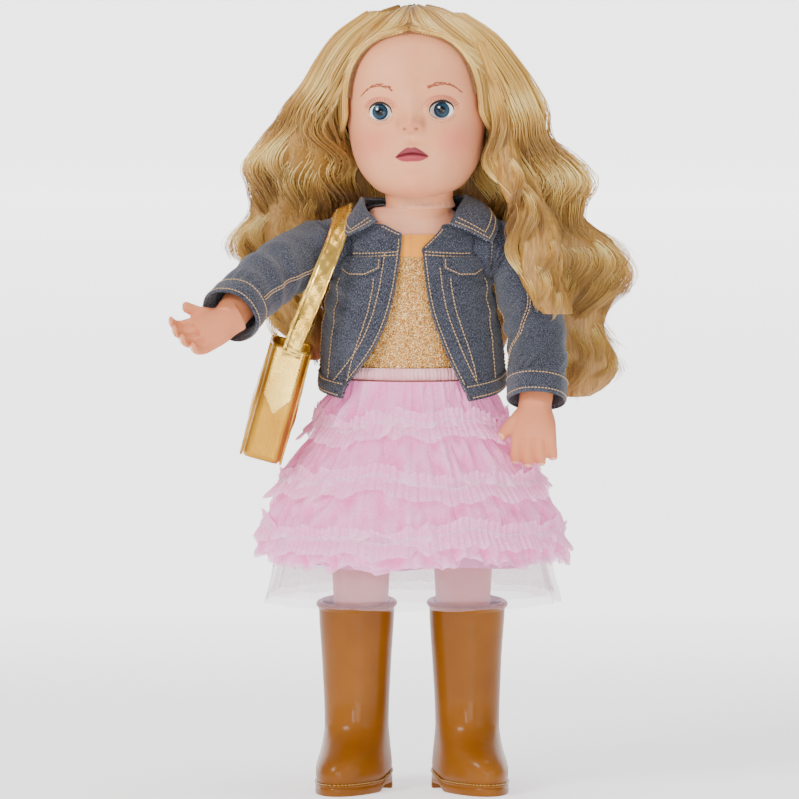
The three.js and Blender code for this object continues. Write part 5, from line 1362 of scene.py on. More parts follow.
def make_arm(name, arm, path):
    """Vinyl arm, palm, fingers and thumb in one skin, with a nail on each finger."""
    body = f"arm_{name}_body"

    def radius_of(travel, angle):
        travel = max(travel, 0)
        if travel < 0.5:
            base = mix(14.9, 12.0, travel * 2)
        else:
            base = mix(12.0, 9.4, travel * 2 - 1)
        return np.full(len(angle), base)

    rings = list(path.tube(radius_of, 40, 8, 30, 1.0))
    along = unit(np.array(arm["along"]))
    facing = np.array(arm["palm"])
    palm = unit(facing - along * np.dot(facing, along))
    thumb_side = np.cross(palm, along) * arm["side"]
    wrist = arm_place(arm, arm["wrist"])
    palm_rows = []
    for at in np.linspace(-0.45, 1.1, 16):
        width, thick = read_table(PALM, at)[0] * (PALM_HALF_WIDTH, PALM_HALF_THICKNESS)
        palm_rows.append(oval_ring(wrist + along * at * PALM_LENGTH, along, palm, width, thick, 32))
    digits = []
    for across, length in FINGERS:
        origin = wrist + along * PALM_LENGTH * 0.85 + thumb_side * across * PALM_HALF_WIDTH
        spread = unit(along + thumb_side * across * 0.12)
        digits.append((origin, spread, palm, length * FINGER_REACH, FINGER_RADIUS, arm["curl"] * 2))
    thumb_origin = wrist + along * PALM_LENGTH * 0.2 + thumb_side * PALM_HALF_WIDTH * 0.6
    thumb_along = unit(along + thumb_side * 0.85)
    digits.append((thumb_origin, thumb_along, palm, THUMB_LENGTH, THUMB_RADIUS, arm["curl"]))
    lofts = [rings, palm_rows] + [finger_rings(*digit) for digit in digits]
    piece = fused_piece(f"vinyl_arm_{name}", lofts, limb_vinyl, body, 0.75, 5)
    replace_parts(piece, f"arm_{name}")
    for number, digit in enumerate(digits):
        skin(f"nail_{name}_{number}", nail_grid(*digit), nail_vinyl, body)


arm_paths = {name: ArmPath(arm) for name, arm in ARMS.items()}
for arm_name, arm_path in arm_paths.items():
    make_arm(arm_name, ARMS[arm_name], arm_path)
    make_sleeve(arm_name, ARMS[arm_name], arm_path)


# ---- Tulle skirt

WAIST_TOP, WAIST_BOTTOM = 249.5, 242.5
SKIRT_HEM = 110.0
SKIRT_HALF_WIDTH = 86.0
SKIRT_DEPTH = 0.81
SKIRT = [
    [0.0, 1.0], [0.13, 0.995], [0.25, 0.985], [0.37, 0.95], [0.49, 0.88],
    [0.60, 0.79], [0.72, 0.68], [0.84, 0.585], [0.93, 0.533], [1.0, 0.517],
]
LINING_TOP, LINING_BOTTOM, LINING_DROP = 241.9, 134.0, 108.0
UNDERLAYER_TOP, UNDERLAYER_DROP = 164.0, 54.0


def skirt_radius(z):
    return section_at(SKIRT, SKIRT_HEM, WAIST_BOTTOM, z)[..., 0] * SKIRT_HALF_WIDTH


def skirt_points(angle, radius, z):
    return egg_points(angle, radius, radius * SKIRT_DEPTH, radius * SKIRT_DEPTH, z)


def gathers(angle, seed, count, sharpness=1.0):
    """Uneven gathered folds round the skirt, from -1 to 1."""
    random = np.random.default_rng(seed)
    phase = random.uniform(0, TURN, 6)
    drift = 0.55 * np.sin(3 * angle + phase[0]) + 0.4 * np.sin(7 * angle + phase[1])
    drift = drift + 0.3 * np.sin(11 * angle + phase[2])
    main = np.sin(count * angle + 2.2 * drift + phase[3])
    second = np.sin(int(count * 1.7) * angle + 1.7 * drift + phase[4])
    size = 0.72 + 0.28 * np.sin(5 * angle + phase[5])
    folds = size * (0.72 * main + 0.38 * second)
    return np.sign(folds) * np.abs(folds) ** sharpness


def crumple(angle, z, seed, strength):
    """Dents of soft net that run every way round the skirt, in millimetres."""
    random = np.random.default_rng(seed)
    waves = 8
    total = np.zeros(np.broadcast(angle, z).shape)
    for _ in range(waves):
        around, up = random.integers(7, 34), random.uniform(-0.45, 0.45)
        total = total + random.uniform(0.5, 1.0) * np.sin(around * angle + up * z + random.uniform(0, TURN))
    return strength * total / math.sqrt(waves)


def skirt_halves(name, grid_of, columns, material, nodes):
    """A skirt layer in a left and a right half. Each hangs from the waist."""
    made = []
    for side_name, low, high in (("left", 0.0, math.pi), ("right", math.pi, TURN)):
        angle = np.linspace(low, high, columns // 2 + 1)
        grid, bloom = grid_of(angle)
        piece = skin(f"{name}_{side_name}", grid, material, None, attributes={"bloom": clamp01(bloom).ravel()})
        follow(piece)
        made.append(piece)
    if nodes:
        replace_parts(made[0], *nodes)
    return made


# Tiers: node, top, bottom, seed, number of gathers
TIERS = [
    ("skirt_tier_1", 241.9, 215.0, 31, 42), ("skirt_tier_2", 218.0, 182.0, 32, 44),
    ("skirt_tier_3", 185.0, 150.0, 33, 50), ("skirt_tier_4", 154.0, 136.0, 34, 60),
]


def seam_wave(angle, seed):
    """Rise and fall of a ruffle's seam round the skirt, in millimetres."""
    random = np.random.default_rng(seed)
    phase = random.uniform(0, TURN, 3)
    wave = 2.6 * np.sin(3 * angle + phase[0]) + 1.8 * np.sin(7 * angle + phase[1])
    return wave + 1.0 * np.sin(15 * angle + phase[2])


def make_tier(index):
    """One gathered tier: a crumpled layer of net over a second, shorter one, and the head of the ruffle."""
    name, top, bottom, seed, count = TIERS[index]

    def layer(extra_seed, push, short):
        def grid_of(angle):
            share = np.linspace(0, 1, 34)[:, None]
            wave = seam_wave(angle, seed)[None, :]
            hem = 2.4 * gathers(angle, seed + 5 + extra_seed, count // 3) + 1.1 * gathers(angle, seed + 6, count)
            z = mix(top + (wave if index else 0), bottom + short + hem[None, :] + 0.7 * wave, share)
            dents = crumple(angle, z, seed + 40 + extra_seed, 1.0)
            z = z + 0.9 * share * crumple(angle, z, seed + 60 + extra_seed, 1.0)
            fold = gathers(angle + 0.012 * dents * share, seed + extra_seed, count, 0.85)
            fine = gathers(angle, seed + 9 + extra_seed, 2 * count)[None, :]
            swell = np.sin(math.pi * np.minimum(1, share * 1.15)) * 1.2
            radius = skirt_radius(z) + mix(0.0 if index == 0 else -0.1, 4.5, share ** 2) + push
            radius = radius + fold * mix(0.5, 1.5, share ** 0.8) + fine * mix(0.3, 0.2, share) + swell
            radius = radius + dents * mix(0.5, 2.6, smooth(share * 1.5))
            # Painted light: lighter on folds and dents that stand out and toward the hem, deeper pink in the
            # hollows
            bloom = 0.36 + 0.14 * fold + 0.22 * dents + 0.45 * smooth((share - 0.82) / 0.18)
            return skirt_points(np.broadcast_to(angle, z.shape), radius, z), bloom
        return grid_of
    over = name.replace("skirt", "tulle")
    under = name.replace("skirt", "tulle_under")
    skirt_halves(over, layer(0, 1.2, 0.0), 720, pink_tulle, [name])
    skirt_halves(under, layer(50, 0.2, 1.6), 720, pink_tulle, [])
    if index:
        make_ruffle_head(index)


def make_ruffle_head(index):
    """Stitched, tightly gathered head of a ruffle, standing a little proud of the tier above."""
    _, top, _, seed, count = TIERS[index]

    def grid_of(angle):
        share = np.linspace(0, 1, 15)[:, None]
        wave = seam_wave(angle, seed)[None, :]
        tight = gathers(angle, seed + 21, 2 * count + 13)[None, :]
        loose = gathers(angle, seed + 22, count // 2)[None, :]
        z = top + wave + mix(6.2 + 1.8 * loose, -9.5 - 1.8 * loose, share) + 0.8 * tight * (1 - share)
        pinch = clamp01(np.abs(share - 0.42) * 2.0)
        radius = skirt_radius(z) + 5.2 + tight * mix(0.5, 1.7, pinch) + (2.4 + 1.5 * loose) * pinch
        radius = radius + crumple(angle, z, seed + 80, 1.1) * pinch
        # Painted light: lighter along the gathered seam line and on the tight gathers
        bloom = 0.4 + 0.5 * bell(share - 0.42, 0.06) + 0.16 * tight + 0.2 * pinch ** 3
        return skirt_points(np.broadcast_to(angle, z.shape), radius, z), np.broadcast_to(bloom, z.shape)
    skirt_halves(f"ruffle_head_{index + 1}", grid_of, 1100, ruffle_tulle, [])
    for side_name, low, high in (("left", 0.0, math.pi), ("right", math.pi, TURN)):
        angle = np.linspace(low, high, 700)
        z = top + seam_wave(angle, seed)
        radius = skirt_radius(z) + 5.8 + 0.5 * gathers(angle, seed + 21, 2 * count + 13)
        path = skirt_points(angle, radius, z)
        out = unit(path * np.array([1, 1, 0]))
        beads = stitch_row(path, out, 2.3, 0.6)
        threads = thread_piece(f"ruffle_stitches_{index + 1}_{side_name}", beads, white_thread, None, 0.26)
        follow(threads)


def make_skirt():
    """Elastic waistband, the tiers, the lining and two longer sheer underlayers."""
    def band_lift(z, angle):
        puff = 1.1 * np.sin(math.pi * clamp01((z - WAIST_BOTTOM) / (WAIST_TOP - WAIST_BOTTOM)))
        return 3.3 + puff + 0.35 * np.sin(angle * 120) + 0.25 * np.sin(angle * 41 + 1)
    grid, z, angle = body_grid(lambda a: np.full_like(a, WAIST_BOTTOM), lambda a: np.full_like(a, WAIST_TOP),
                               band_lift, 16, 480)
    band = slab("elastic_waistband", grid, 2.2, waist_elastic, "torso", wrap=True)
    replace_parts(band, "skirt_waistband")
    for index in range(len(TIERS)):
        make_tier(index)

    def lining_of(angle):
        share = np.linspace(0, 1, 40)[:, None]
        z = mix(LINING_TOP, LINING_BOTTOM + 1.2 * np.sin(5 * angle)[None, :], share)
        radius = skirt_radius(z) + mix(-2.6, -14.0, share ** 1.5) + 1.2
        radius = radius + gathers(angle, 61, 17)[None, :] * 1.8 * share
        return skirt_points(np.broadcast_to(angle, z.shape), radius, z), np.zeros(z.shape)
    skirt_halves("satin_lining", lining_of, 480, pink_lining, ["skirt_lining"])

    for number, (push, short, seed) in enumerate(((1.2, 0.0, 71), (-2.2, 5.0, 75))):
        def under_of(angle, push=push, short=short, seed=seed):
            share = np.linspace(0, 1, 30)[:, None]
            hem = 0.7 * gathers(angle, seed + 1, 11)[None, :]
            z = mix(UNDERLAYER_TOP, SKIRT_HEM + 0.8 + short + hem, share)
            fold = gathers(angle, seed, 15)[None, :]
            radius = skirt_radius(z) + mix(-7.6, -1.0, share ** 2) + push
            radius = radius + fold * mix(0.6, 2.6, share) + crumple(angle, z, seed + 3, 0.35) * share
            # Painted light on the folds that stand out
            bloom = np.broadcast_to(0.75 + 0.25 * fold, z.shape)
            return skirt_points(np.broadcast_to(angle, z.shape), radius, z), bloom
        nodes = ["skirt_underlayer"] if number == 0 else []
        skirt_halves(f"sheer_underlayer_{number}", under_of, 720, white_tulle, nodes)


make_skirt()


# ---- Legs and boots

LEG = [
    [0.074, 0.665, 0.971, 0.75], [0.087, 0.718, 1, 0.8], [0.112, 0.745, 0.8, 0.85],
    [0.153, 0.718, 0.543, 0.85], [0.214, 0.691, 0.414, 0.8], [0.316, 0.713, 0.4, 0.8],
    [0.439, 0.819, 0.457, 0.9], [0.571, 0.862, 0.471, 0.875], [0.689, 0.926, 0.5, 0.875],
    [0.827, 0.989, 0.543, 0.95], [0.949, 1, 0.571, 1], [1, 0.989, 0.571, 1],
]
LEG_SIZES = (196.0, 18.8, 35.0, 20.0)
HIP_BARREL = [
    [0.05, -1.0], [0.8, -1.0], [0.9, -0.9], [0.95, -0.75], [0.99, -0.5], [1.0, -0.2],
    [1.0, 0.2], [0.99, 0.5], [0.95, 0.75], [0.9, 0.9], [0.8, 1.0], [0.05, 1.0],
]
BOOT_X, TOE_OUT, FOOT_TWIST, BOOT_TOP = 32.5, 0.14, 0.15, 111.0
BOOT_SIZES = (111.0, 22.4, 48.0, 23.2)
BOOT = [
    [0.018, 0.826, 0.958, 0.948], [0.081, 0.902, 1, 0.983], [0.135, 0.92, 0.99, 0.991],
    [0.18, 0.906, 0.927, 0.974], [0.225, 0.884, 0.792, 0.948], [0.279, 0.862, 0.615, 0.927],
    [0.342, 0.844, 0.5, 0.905], [0.432, 0.848, 0.448, 0.905], [0.54, 0.871, 0.4375, 0.927],
    [0.72, 0.92, 0.442, 0.957], [0.874, 0.973, 0.45, 0.983], [0.964, 0.996, 0.458, 1],
]
RIM_TILT, RIM_START = 0.09, 0.964
RIM = [
    [0.1, 0.3], [0.3, 1.2], [0.5, 1.6], [0.72, 1.5], [0.9, 0.9],
    [1.0, -0.2], [1.0, -1.2], [0.85, -2.2], [0.6, -2.5],
]
SOLE_WALL = [
    [0.0, 0.0], [0.03, 0.5], [0.12, 0.75], [0.5, 0.6], [0.72, 0.55], [0.78, 0.1],
    [0.83, 0.6], [0.88, 1.1], [0.94, 1.15], [1.0, 0.8], [1.04, 0.1], [1.05, -3.0],
]
SOLE_THICKNESS, HEEL_HEIGHT, HEEL_BREAST, ARCH_FRONT, ARCH_HEIGHT = 6.4, 11.0, 4.0, -13.0, 3.6


def station_points(table, sizes, z, angle, inset=0.0):
    """Egg-shaped sections of a leg or boot, read from its table by height."""
    height, half_width, front, back = sizes
    z, angle = np.broadcast_arrays(np.asarray(z, float), angle)
    row = section_at(table, 0.0, height, z)
    return egg_points(angle, row[..., 0] * half_width - inset, row[..., 1] * front - inset,
                      row[..., 2] * back - inset, z)


def turn_about_z(points, amount):
    c, s = np.cos(amount), np.sin(amount)
    out = points.copy()
    out[..., 0] = points[..., 0] * c - points[..., 1] * s
    out[..., 1] = points[..., 0] * s + points[..., 1] * c
    return out


def make_leg(name, side):
    """Vinyl leg with its soft knee and the barrel that turns against the hip."""
    body = f"leg_{name}_body"
    angle = turn_steps(48)
    z = np.concatenate([[14.5], np.linspace(15.0, 196.0, 90)])[:, None]
    grid = station_points(LEG, LEG_SIZES, z, angle[None, :])
    knee = bell(z[..., None] - 118, 13)
    front = np.maximum(0, np.cos(angle))[None, :, None]
    grid = grid + np.array([0, -1.0, 0]) * knee * front
    low = 1 - smooth((grid[..., 2] - 14.5) / (BOOT_TOP - 14.5))
    turned = turn_about_z(grid, side * TOE_OUT)
    grid = mix(grid, turned, low[..., None])
    grid[..., 0] += side * mix(HIP_X, BOOT_X, low)
    spin = turn_steps(40)
    barrel = [np.stack(np.broadcast_arrays(
        side * HIP_X + width * HIP_HALF_WIDTH, radius * HIP_RADIUS * np.cos(spin),
        HIP_Z + radius * HIP_RADIUS * np.sin(spin)), axis=1) for radius, width in HIP_BARREL]
    piece = fused_piece(f"vinyl_leg_{name}", [grid, barrel], leg_vinyl, body, 1.3, 6)
    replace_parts(piece, f"leg_{name}")


def sole_height(y):
    """Height of the boot upper's underside along the foot."""
    rise = (y - ARCH_FRONT) / (HEEL_BREAST - ARCH_FRONT)
    return mix(SOLE_THICKNESS, HEEL_HEIGHT, clamp01(rise))


def ground_height(y):
    """Height of the sole's underside along the foot: raised at the arch, flat under the ball and the heel."""
    arch = smooth((y - ARCH_FRONT + ARCH_HEIGHT) / 7)
    return np.where(y < HEEL_BREAST, ARCH_HEIGHT * arch, 0.0)


def tilt_rim(points):
    """Boot points with the rim a little lower in front than behind."""
    out = points.copy()
    out[..., 2] += RIM_TILT * points[..., 1] * smooth((points[..., 2] - BOOT_TOP / 2) / (BOOT_TOP / 2))
    return out


def boot_place(points, side):
    """From the boot's own frame to the doll's: turned out, the foot a little more than the shaft."""
    low = smooth((36.0 - points[..., 2]) / 24.0)
    out = turn_about_z(points, side * (TOE_OUT + FOOT_TWIST * low))
    out[..., 0] += side * BOOT_X
    return out


def make_boot(name, side):
    """Boot upper with its rolled rim, sole block, sole underside, welt stitches and back seam."""
    body = f"leg_{name}_body"
    count = 96
    angle = turn_steps(count)
    heights = np.concatenate([np.linspace(0.06, 0.3, 30), np.linspace(0.31, 0.95, 60), [0.958, 0.964]]) * BOOT_TOP
    outer = station_points(BOOT, BOOT_SIZES, heights[:, None], angle[None, :])
    crease = -0.5 * bell(heights[:, None] - 37, 4) * np.cos(angle / 2)[None, :] ** 4
    slack = 0.35 * np.sin(3 * angle + 1)[None, :] * bell(heights[:, None] - 85, 22)
    outward = unit(outer * np.array([1, 1, 0]))
    outer = outer + outward * (crease + slack)[..., None]
    floor = sole_height(outer[..., 1]) + 0.1
    outer[..., 2] = np.maximum(outer[..., 2], floor)
    rim = []
    for rise, bulge in RIM:
        ring = station_points(BOOT, BOOT_SIZES, BOOT_TOP * RIM_START, angle, -bulge)
        ring[:, 2] = BOOT_TOP * mix(RIM_START, 1.0, rise)
        rim.append(ring)
    inner_heights = np.linspace(0.95, 0.13, 30) * BOOT_TOP
    inner = station_points(BOOT, BOOT_SIZES, inner_heights[:, None], angle[None, :], 2.3)
    grid = tilt_rim(np.concatenate([outer, np.array(rim), inner]))
    piece = skin(f"boot_upper_{name}", boot_place(grid, side), boot_vinyl, body, wrap=True)
    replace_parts(piece, f"boot_{name}")

    # Sole and heel: wall rings from the ground up to the welt
    base = station_points(BOOT, BOOT_SIZES, 0.081 * BOOT_TOP, angle)
    top = sole_height(base[:, 1])
    bottom = ground_height(base[:, 1])
    out = unit(base * np.array([1, 1, 0]))
    rows = []
    for share, push in SOLE_WALL:
        row = base + out * push
        row[:, 2] = mix(bottom, top, share)
        rows.append(row)
    sole = skin(f"boot_sole_block_{name}", boot_place(np.array(rows), side), boot_vinyl, body, wrap=True)
    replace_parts(sole, f"boot_sole_{name}")
    half = base[:count // 2 + 1]
    along = np.concatenate([
        np.linspace(half[0, 1], HEEL_BREAST - 0.02, 40), np.linspace(HEEL_BREAST + 0.02, half[-1, 1], 30),
    ])
    reach = np.interp(along, half[:, 1], half[:, 0])
    y, across = np.meshgrid(along, np.linspace(-1, 1, 21), indexing="ij")
    face = np.stack([reach[:, None] * across, y, ground_height(y)], axis=-1)
    skin(f"boot_sole_face_{name}", boot_place(face, side), boot_vinyl, body)
    welt = base + out * 0.75
    welt[:, 2] = top + 0.35
    ring = resample(closed(boot_place(welt, side)), 0.8)
    beads = stitch_row(ring, np.tile([0, 0, 1.0], (len(ring), 1)), 2.3, 0.6)
    thread_piece(f"welt_stitches_{name}", beads, gold_thread, body, 0.22)
    seam_path = station_points(BOOT, BOOT_SIZES, np.linspace(0.3, 0.93, 60) * BOOT_TOP, math.pi)
    seam_path = tilt_rim(boot_place(seam_path, side))
    tubes(f"boot_back_seam_{name}", [seam_path], [0.7], boot_vinyl, body, 8)


for leg_name, leg_side in (("left", 1), ("right", -1)):
    make_leg(leg_name, leg_side)
    make_boot(leg_name, leg_side)


# ---- Tote bag

BAG_X, BAG_TOP, BAG_HEIGHT, BAG_HALF_DEPTH, BAG_HALF_WIDTH, BAG_LEAN = -70.5, 262.0, 68.0, 36.0, 12.0, 0.27
TAB_HALF_WIDTH, TAB_LENGTH, TAB_POINT = 8.5, 40.0, 10.0
STRAP_HALF_WIDTH, STRAP_THICKNESS = 5.5, 1.2
STRAP_TOP = (-39.5, 341.4)
STRAP_CHEST = 31.5
STRAP_ROUTE = [[0.034, 0], [0.33, 0.294], [0.64, 0.588], [0.86, 0.797]]
TAB_FACE = 39.9


def bag_place(points):
    """From the bag's own frame, hung at its mouth, to the doll's."""
    c, s = math.cos(BAG_LEAN), math.sin(BAG_LEAN)
    points = np.asarray(points, float)
    out = np.empty_like(points)
    out[..., 0] = BAG_X + points[..., 0] * c + points[..., 2] * s
    out[..., 1] = points[..., 1]
    out[..., 2] = BAG_TOP - points[..., 0] * s + points[..., 2] * c
    return out


def bag_outline(count, half_width, half_depth, corner):
    """Rounded rectangle, starting at the front."""
    angle = turn_steps(count)
    x, y = np.sin(angle), -np.cos(angle)
    power = 2 / corner
    return (np.sign(x) * np.abs(x) ** power * half_width, np.sign(y) * np.abs(y) ** power * half_depth)


def make_bag():
    """Open foil tote with thickness, piping down its corners, a pointed tab at each end, and stitches."""
    count = 160
    shell = []
    for inset in (0.0, 1.3):
        grid = []
        for share in np.linspace(0, 1, 70):
            z = -BAG_HEIGHT * share
            x, y = bag_outline(count, BAG_HALF_WIDTH - inset, BAG_HALF_DEPTH + 1.6 - inset, 7)
            flat_face = np.abs(y) < BAG_HALF_DEPTH * 0.93
            belly = 1.6 * math.sin(math.pi * share) * np.cos(math.pi * y / (2 * BAG_HALF_DEPTH)).clip(0)
            wrinkle = 0.5 * np.sin(0.22 * y + 9 * share) * math.sin(math.pi * share)
            wrinkle = wrinkle + 0.4 * np.sin(0.55 * y - 14 * share + 1.2) * math.sin(math.pi * share) ** 2
            x = x + np.sign(x) * np.where(flat_face, belly + wrinkle, 0.0)
            bottom = smooth((share - 0.965) / 0.035)
            x = x * (1 - 0.14 * bottom)
            y = y * (1 - 0.04 * bottom)
            mouth = 0.5 * np.sin(0.17 * y) * (1 - share) ** 6
            grid.append(np.stack([x, y, np.full(count, z) + mouth], axis=1))
        shell.append(np.array(grid))
    outer, inner = shell
    floor_outer = [outer[-1] * np.array([s, s, 1]) for s in (0.8, 0.5, 0.2, 0.02)]
    floor_inner = [inner[-1] * np.array([s, s, 1]) + np.array([0, 0, 1.5]) for s in (0.02, 0.2, 0.5, 0.8, 0.97)]
    grid = np.concatenate([np.array(floor_outer)[::-1], outer[::-1], inner, np.array(floor_inner)[::-1]])
    piece = skin("foil_tote", bag_place(grid), gold_foil, "bag", wrap=True)
    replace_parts(piece, "bag_body", "bag_gusset_front", "bag_gusset_back")
    rim = outer[2]
    rim_out = unit(rim * np.array([1, 0.3, 0]))
    beads = stitch_row(bag_place(closed(rim)), closed(rim_out), 2.0)
    for end, label in ((-1, "front"), (1, "back")):
        face = BAG_HALF_DEPTH + 2.15
        edge_lines = []
        for side in (-1, 1):
            corner = [side * (BAG_HALF_WIDTH - 0.1), end * (BAG_HALF_DEPTH + 1.2)]
            edge_lines.append(bag_place([corner + [z] for z in np.linspace(-0.6, -BAG_HEIGHT + 0.6, 60)]))
        tubes(f"bag_piping_{label}", edge_lines, [0.75, 0.75], gold_edge, "bag", 8)
        columns = 21
        tab = []
        for share in np.linspace(0, 1, 44):
            z = -1.2 - share * (TAB_LENGTH - 1.2)
            taper = clamp01((TAB_LENGTH - 1.2 - share * (TAB_LENGTH - 1.2)) / TAB_POINT)
            x = np.linspace(-1, 1, columns) * TAB_HALF_WIDTH * max(taper, 0.02)
            lift = 0.5 + 0.5 * math.sin(math.pi * share) - 0.3 * (x / TAB_HALF_WIDTH) ** 2
            tab.append(np.stack([x, np.full(columns, end * (face + lift)), np.full(columns, z)], axis=1))
        tab = np.array(tab)
        tab_piece = slab(f"foil_tab_{label}", bag_place(tab), 1.1, gold_foil_bright, "bag", out=end)
        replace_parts(tab_piece, f"bag_tab_{label}")
        loop = np.concatenate([tab[1:-4, 1], [tab[-3, columns // 2]], tab[1:-4, columns - 2][::-1]])
        out = np.tile(bag_place(np.array([0, float(end), 0])) - bag_place(np.zeros(3)), (len(loop), 1))
        beads += stitch_row(bag_place(loop) + out * 0.1, out, 1.9)
    threads = thread_piece("bag_stitches", beads, gold_thread, "bag", 0.24)


def catmull(points, samples):
    """Centripetal Catmull-Rom curve through the points, read at even shares of its spans."""
    points = np.asarray(points, float)
    spans = len(points) - 1
    result = []
    for value in samples:
        at = min(value * spans, spans - 1e-9)
        i = int(at)
        t = at - i
        p1, p2 = points[i], points[i + 1]
        p0 = points[i - 1] if i > 0 else p1 * 2 - p2
        p3 = points[i + 2] if i + 2 <= spans else p2 * 2 - p1
        d0, d1, d2 = (np.linalg.norm(b - a) ** 0.5 for a, b in ((p0, p1), (p1, p2), (p2, p3)))
        d0, d1, d2 = max(d0, 1e-4), max(d1, 1e-4), max(d2, 1e-4)
        m1 = ((p1 - p0) / d0 - (p2 - p0) / (d0 + d1) + (p2 - p1) / d1) * d1
        m2 = ((p2 - p1) / d1 - (p3 - p1) / (d1 + d2) + (p3 - p2) / d2) * d1
        t2, t3 = t * t, t * t * t
        ends = p1 * (2 * t3 - 3 * t2 + 1) + p2 * (3 * t2 - 2 * t3)
        result.append(ends + m1 * (t3 - 2 * t2 + t) + m2 * (t3 - t2))
    return np.array(result)


def make_strap():
    """Flat foil strap from tab to tab, up the chest, over the shoulder and down the back."""
    last = len(STRAP_ROUTE) - 1
    front = []
    for index, (inward, upward) in enumerate(STRAP_ROUTE):
        reach = mix(TAB_FACE, STRAP_CHEST, float(smooth(index / last)))
        y = -reach * (1 if index < last else 0.72)
        front.append([mix(BAG_X, STRAP_TOP[0], inward), y, mix(BAG_TOP, STRAP_TOP[1], upward)])
    front.insert(0, [BAG_X, -TAB_FACE, BAG_TOP - 5])
    back = [[x, -y, z] for x, y, z in reversed(front)]
    route = front + [[STRAP_TOP[0], 0, STRAP_TOP[1]]] + back
    path = catmull(route, np.linspace(0, 1, 320))
    tangent = unit(np.gradient(path, axis=0))
    level = smooth(1 - np.abs(path[:, 1]) / STRAP_CHEST)
    across = unit(np.stack([np.ones(len(path)), np.zeros(len(path)), level * 0.45], axis=1))
    across = unit(across - tangent * np.sum(across * tangent, axis=1)[:, None])
    outward = np.cross(across, tangent)
    offsets = np.linspace(-1, 1, 17)
    crown = 0.35 * (1 - offsets ** 2) - 0.5 * bell(np.abs(offsets) - 0.74, 0.07)
    length = np.arange(len(path))[:, None]
    wrinkle = 0.12 * np.sin(0.5 * length + 3 * offsets) + 0.1 * np.sin(0.23 * length - 5 * offsets)
    grid = path[:, None, :] + across[:, None, :] * (offsets * STRAP_HALF_WIDTH)[None, :, None]
    grid = grid + outward[:, None, :] * (STRAP_THICKNESS + 0.15 + crown[None, :] + wrinkle)[..., None]
    piece = slab("foil_strap", grid, 1.3, gold_foil_bright, None, out=1)
    beads = []
    for column in (2, len(offsets) - 3):
        beads += stitch_row(grid[:, column] + outward * 0.25, outward, 2.0)
    threads = thread_piece("strap_stitches", beads, gold_thread, None, 0.24)
    for strap_part in (piece, threads):
        follow(strap_part)
    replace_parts(piece, "bag_strap")


make_bag()
make_strap()


# ---- Head, eyes and face paint

HEAD_PLACE = np.array([5.0, 0.0, 326.0])
HEAD_YAW, HEAD_ROLL = -0.085, -0.035
HEAD_BOTTOM, HEAD_TOP = 23.0, 130.0
HEAD_HALF_WIDTH, HEAD_HALF_DEPTH = 41.0, 43.0
HEAD = [
    [0.0, 0.32, 0.66, 0.25], [0.03, 0.55, 0.80, 0.45], [0.08, 0.70, 0.90, 0.62],
    [0.15, 0.83, 0.955, 0.78], [0.24, 0.92, 0.98, 0.91], [0.35, 0.97, 0.99, 1.01],
    [0.46, 1.0, 0.98, 1.08], [0.57, 1.0, 0.965, 1.11], [0.68, 0.97, 0.92, 1.09],
    [0.78, 0.90, 0.84, 1.02], [0.87, 0.76, 0.69, 0.88], [0.94, 0.55, 0.49, 0.65],
    [0.985, 0.30, 0.26, 0.36], [1.0, 0.10, 0.09, 0.12],
]
EYE_X, EYE_HEIGHT, EYE_RADIUS, EYE_PROUD = 17.6, 74.0, 9.0, 0.6
LID_HALF_WIDTH, LID_HALF_HEIGHT = 7.0, 5.7
PUPIL_EDGE, IRIS_EDGE, LASH_EDGE, LID_EDGE = 0.24, 0.55, 0.575, 0.66
LIP_PARTING = 49.0
NECK_PROFILE = [
    [17.4, 0.0], [17.5, 0.6], [17.5, 3.4], [17.3, 3.9], [17.6, 4.6], [18.3, 7.0],
    [18.8, 10.0], [19.1, 14.0], [19.5, 18.0], [19.8, 22.0], [20.1, 27.0], [20.4, 33.0],
]
NOSE_HEIGHT = 68.0


def rotation(axis, angle):
    c, s = math.cos(angle), math.sin(angle)
    if axis == "z":
        return np.array([[c, -s, 0], [s, c, 0], [0, 0, 1]])
    return np.array([[c, 0, s], [0, 1, 0], [-s, 0, c]])


HEAD_TURN = rotation("z", HEAD_YAW) @ rotation("y", HEAD_ROLL)


def head_place(points):
    return np.asarray(points, float) @ HEAD_TURN.T + HEAD_PLACE


def to_head(points):
    return (np.asarray(points, float) - HEAD_PLACE) @ HEAD_TURN


def eye_distance(x, z, side):
    return np.hypot((x - side * EYE_X) / LID_HALF_WIDTH, (z - EYE_HEIGHT) / LID_HALF_HEIGHT)


def lip_edges(x):
    """Upper edge, parting and lower edge of the painted lips at a place across the mouth."""
    parting = LIP_PARTING + 0.4 - 2.0 * clamp01(np.abs(x) / 10.0) ** 1.7
    upper = parting + 4.6 * clamp01(1 - np.abs(x / 10.0) ** 1.5) * (1 - 0.22 * bell(x, 1.5))
    lower = parting - 4.5 * clamp01(1 - np.abs(x / 9.8) ** 2.6)
    return upper, parting, lower


def base_relief(x, z):
    """Nose, mouth, chin, cheeks and eye sockets in broad forms, in millimetres toward the front."""
    relief = 6.5 * bell(x, 5.2) * bell(z - NOSE_HEIGHT, 5.2)
    relief = relief + 2.6 * bell(x, 5.2) * bell(z - NOSE_HEIGHT - 10.4, 10.4)
    relief = relief + 2.6 * bell(x, 7) * (bell(z - 53.2, 2.7) + bell(z - 47.8, 2.7))
    relief = relief + 2.4 * bell(x, 10) * bell(z - 31, 10)
    for side in (-1, 1):
        relief = relief + 2.2 * bell(x - side * 25, 10) * bell(z - 56, 10)
        relief = relief - 2.2 * bell(x - side * EYE_X, 10) * bell(z - EYE_HEIGHT, 10)
    return relief


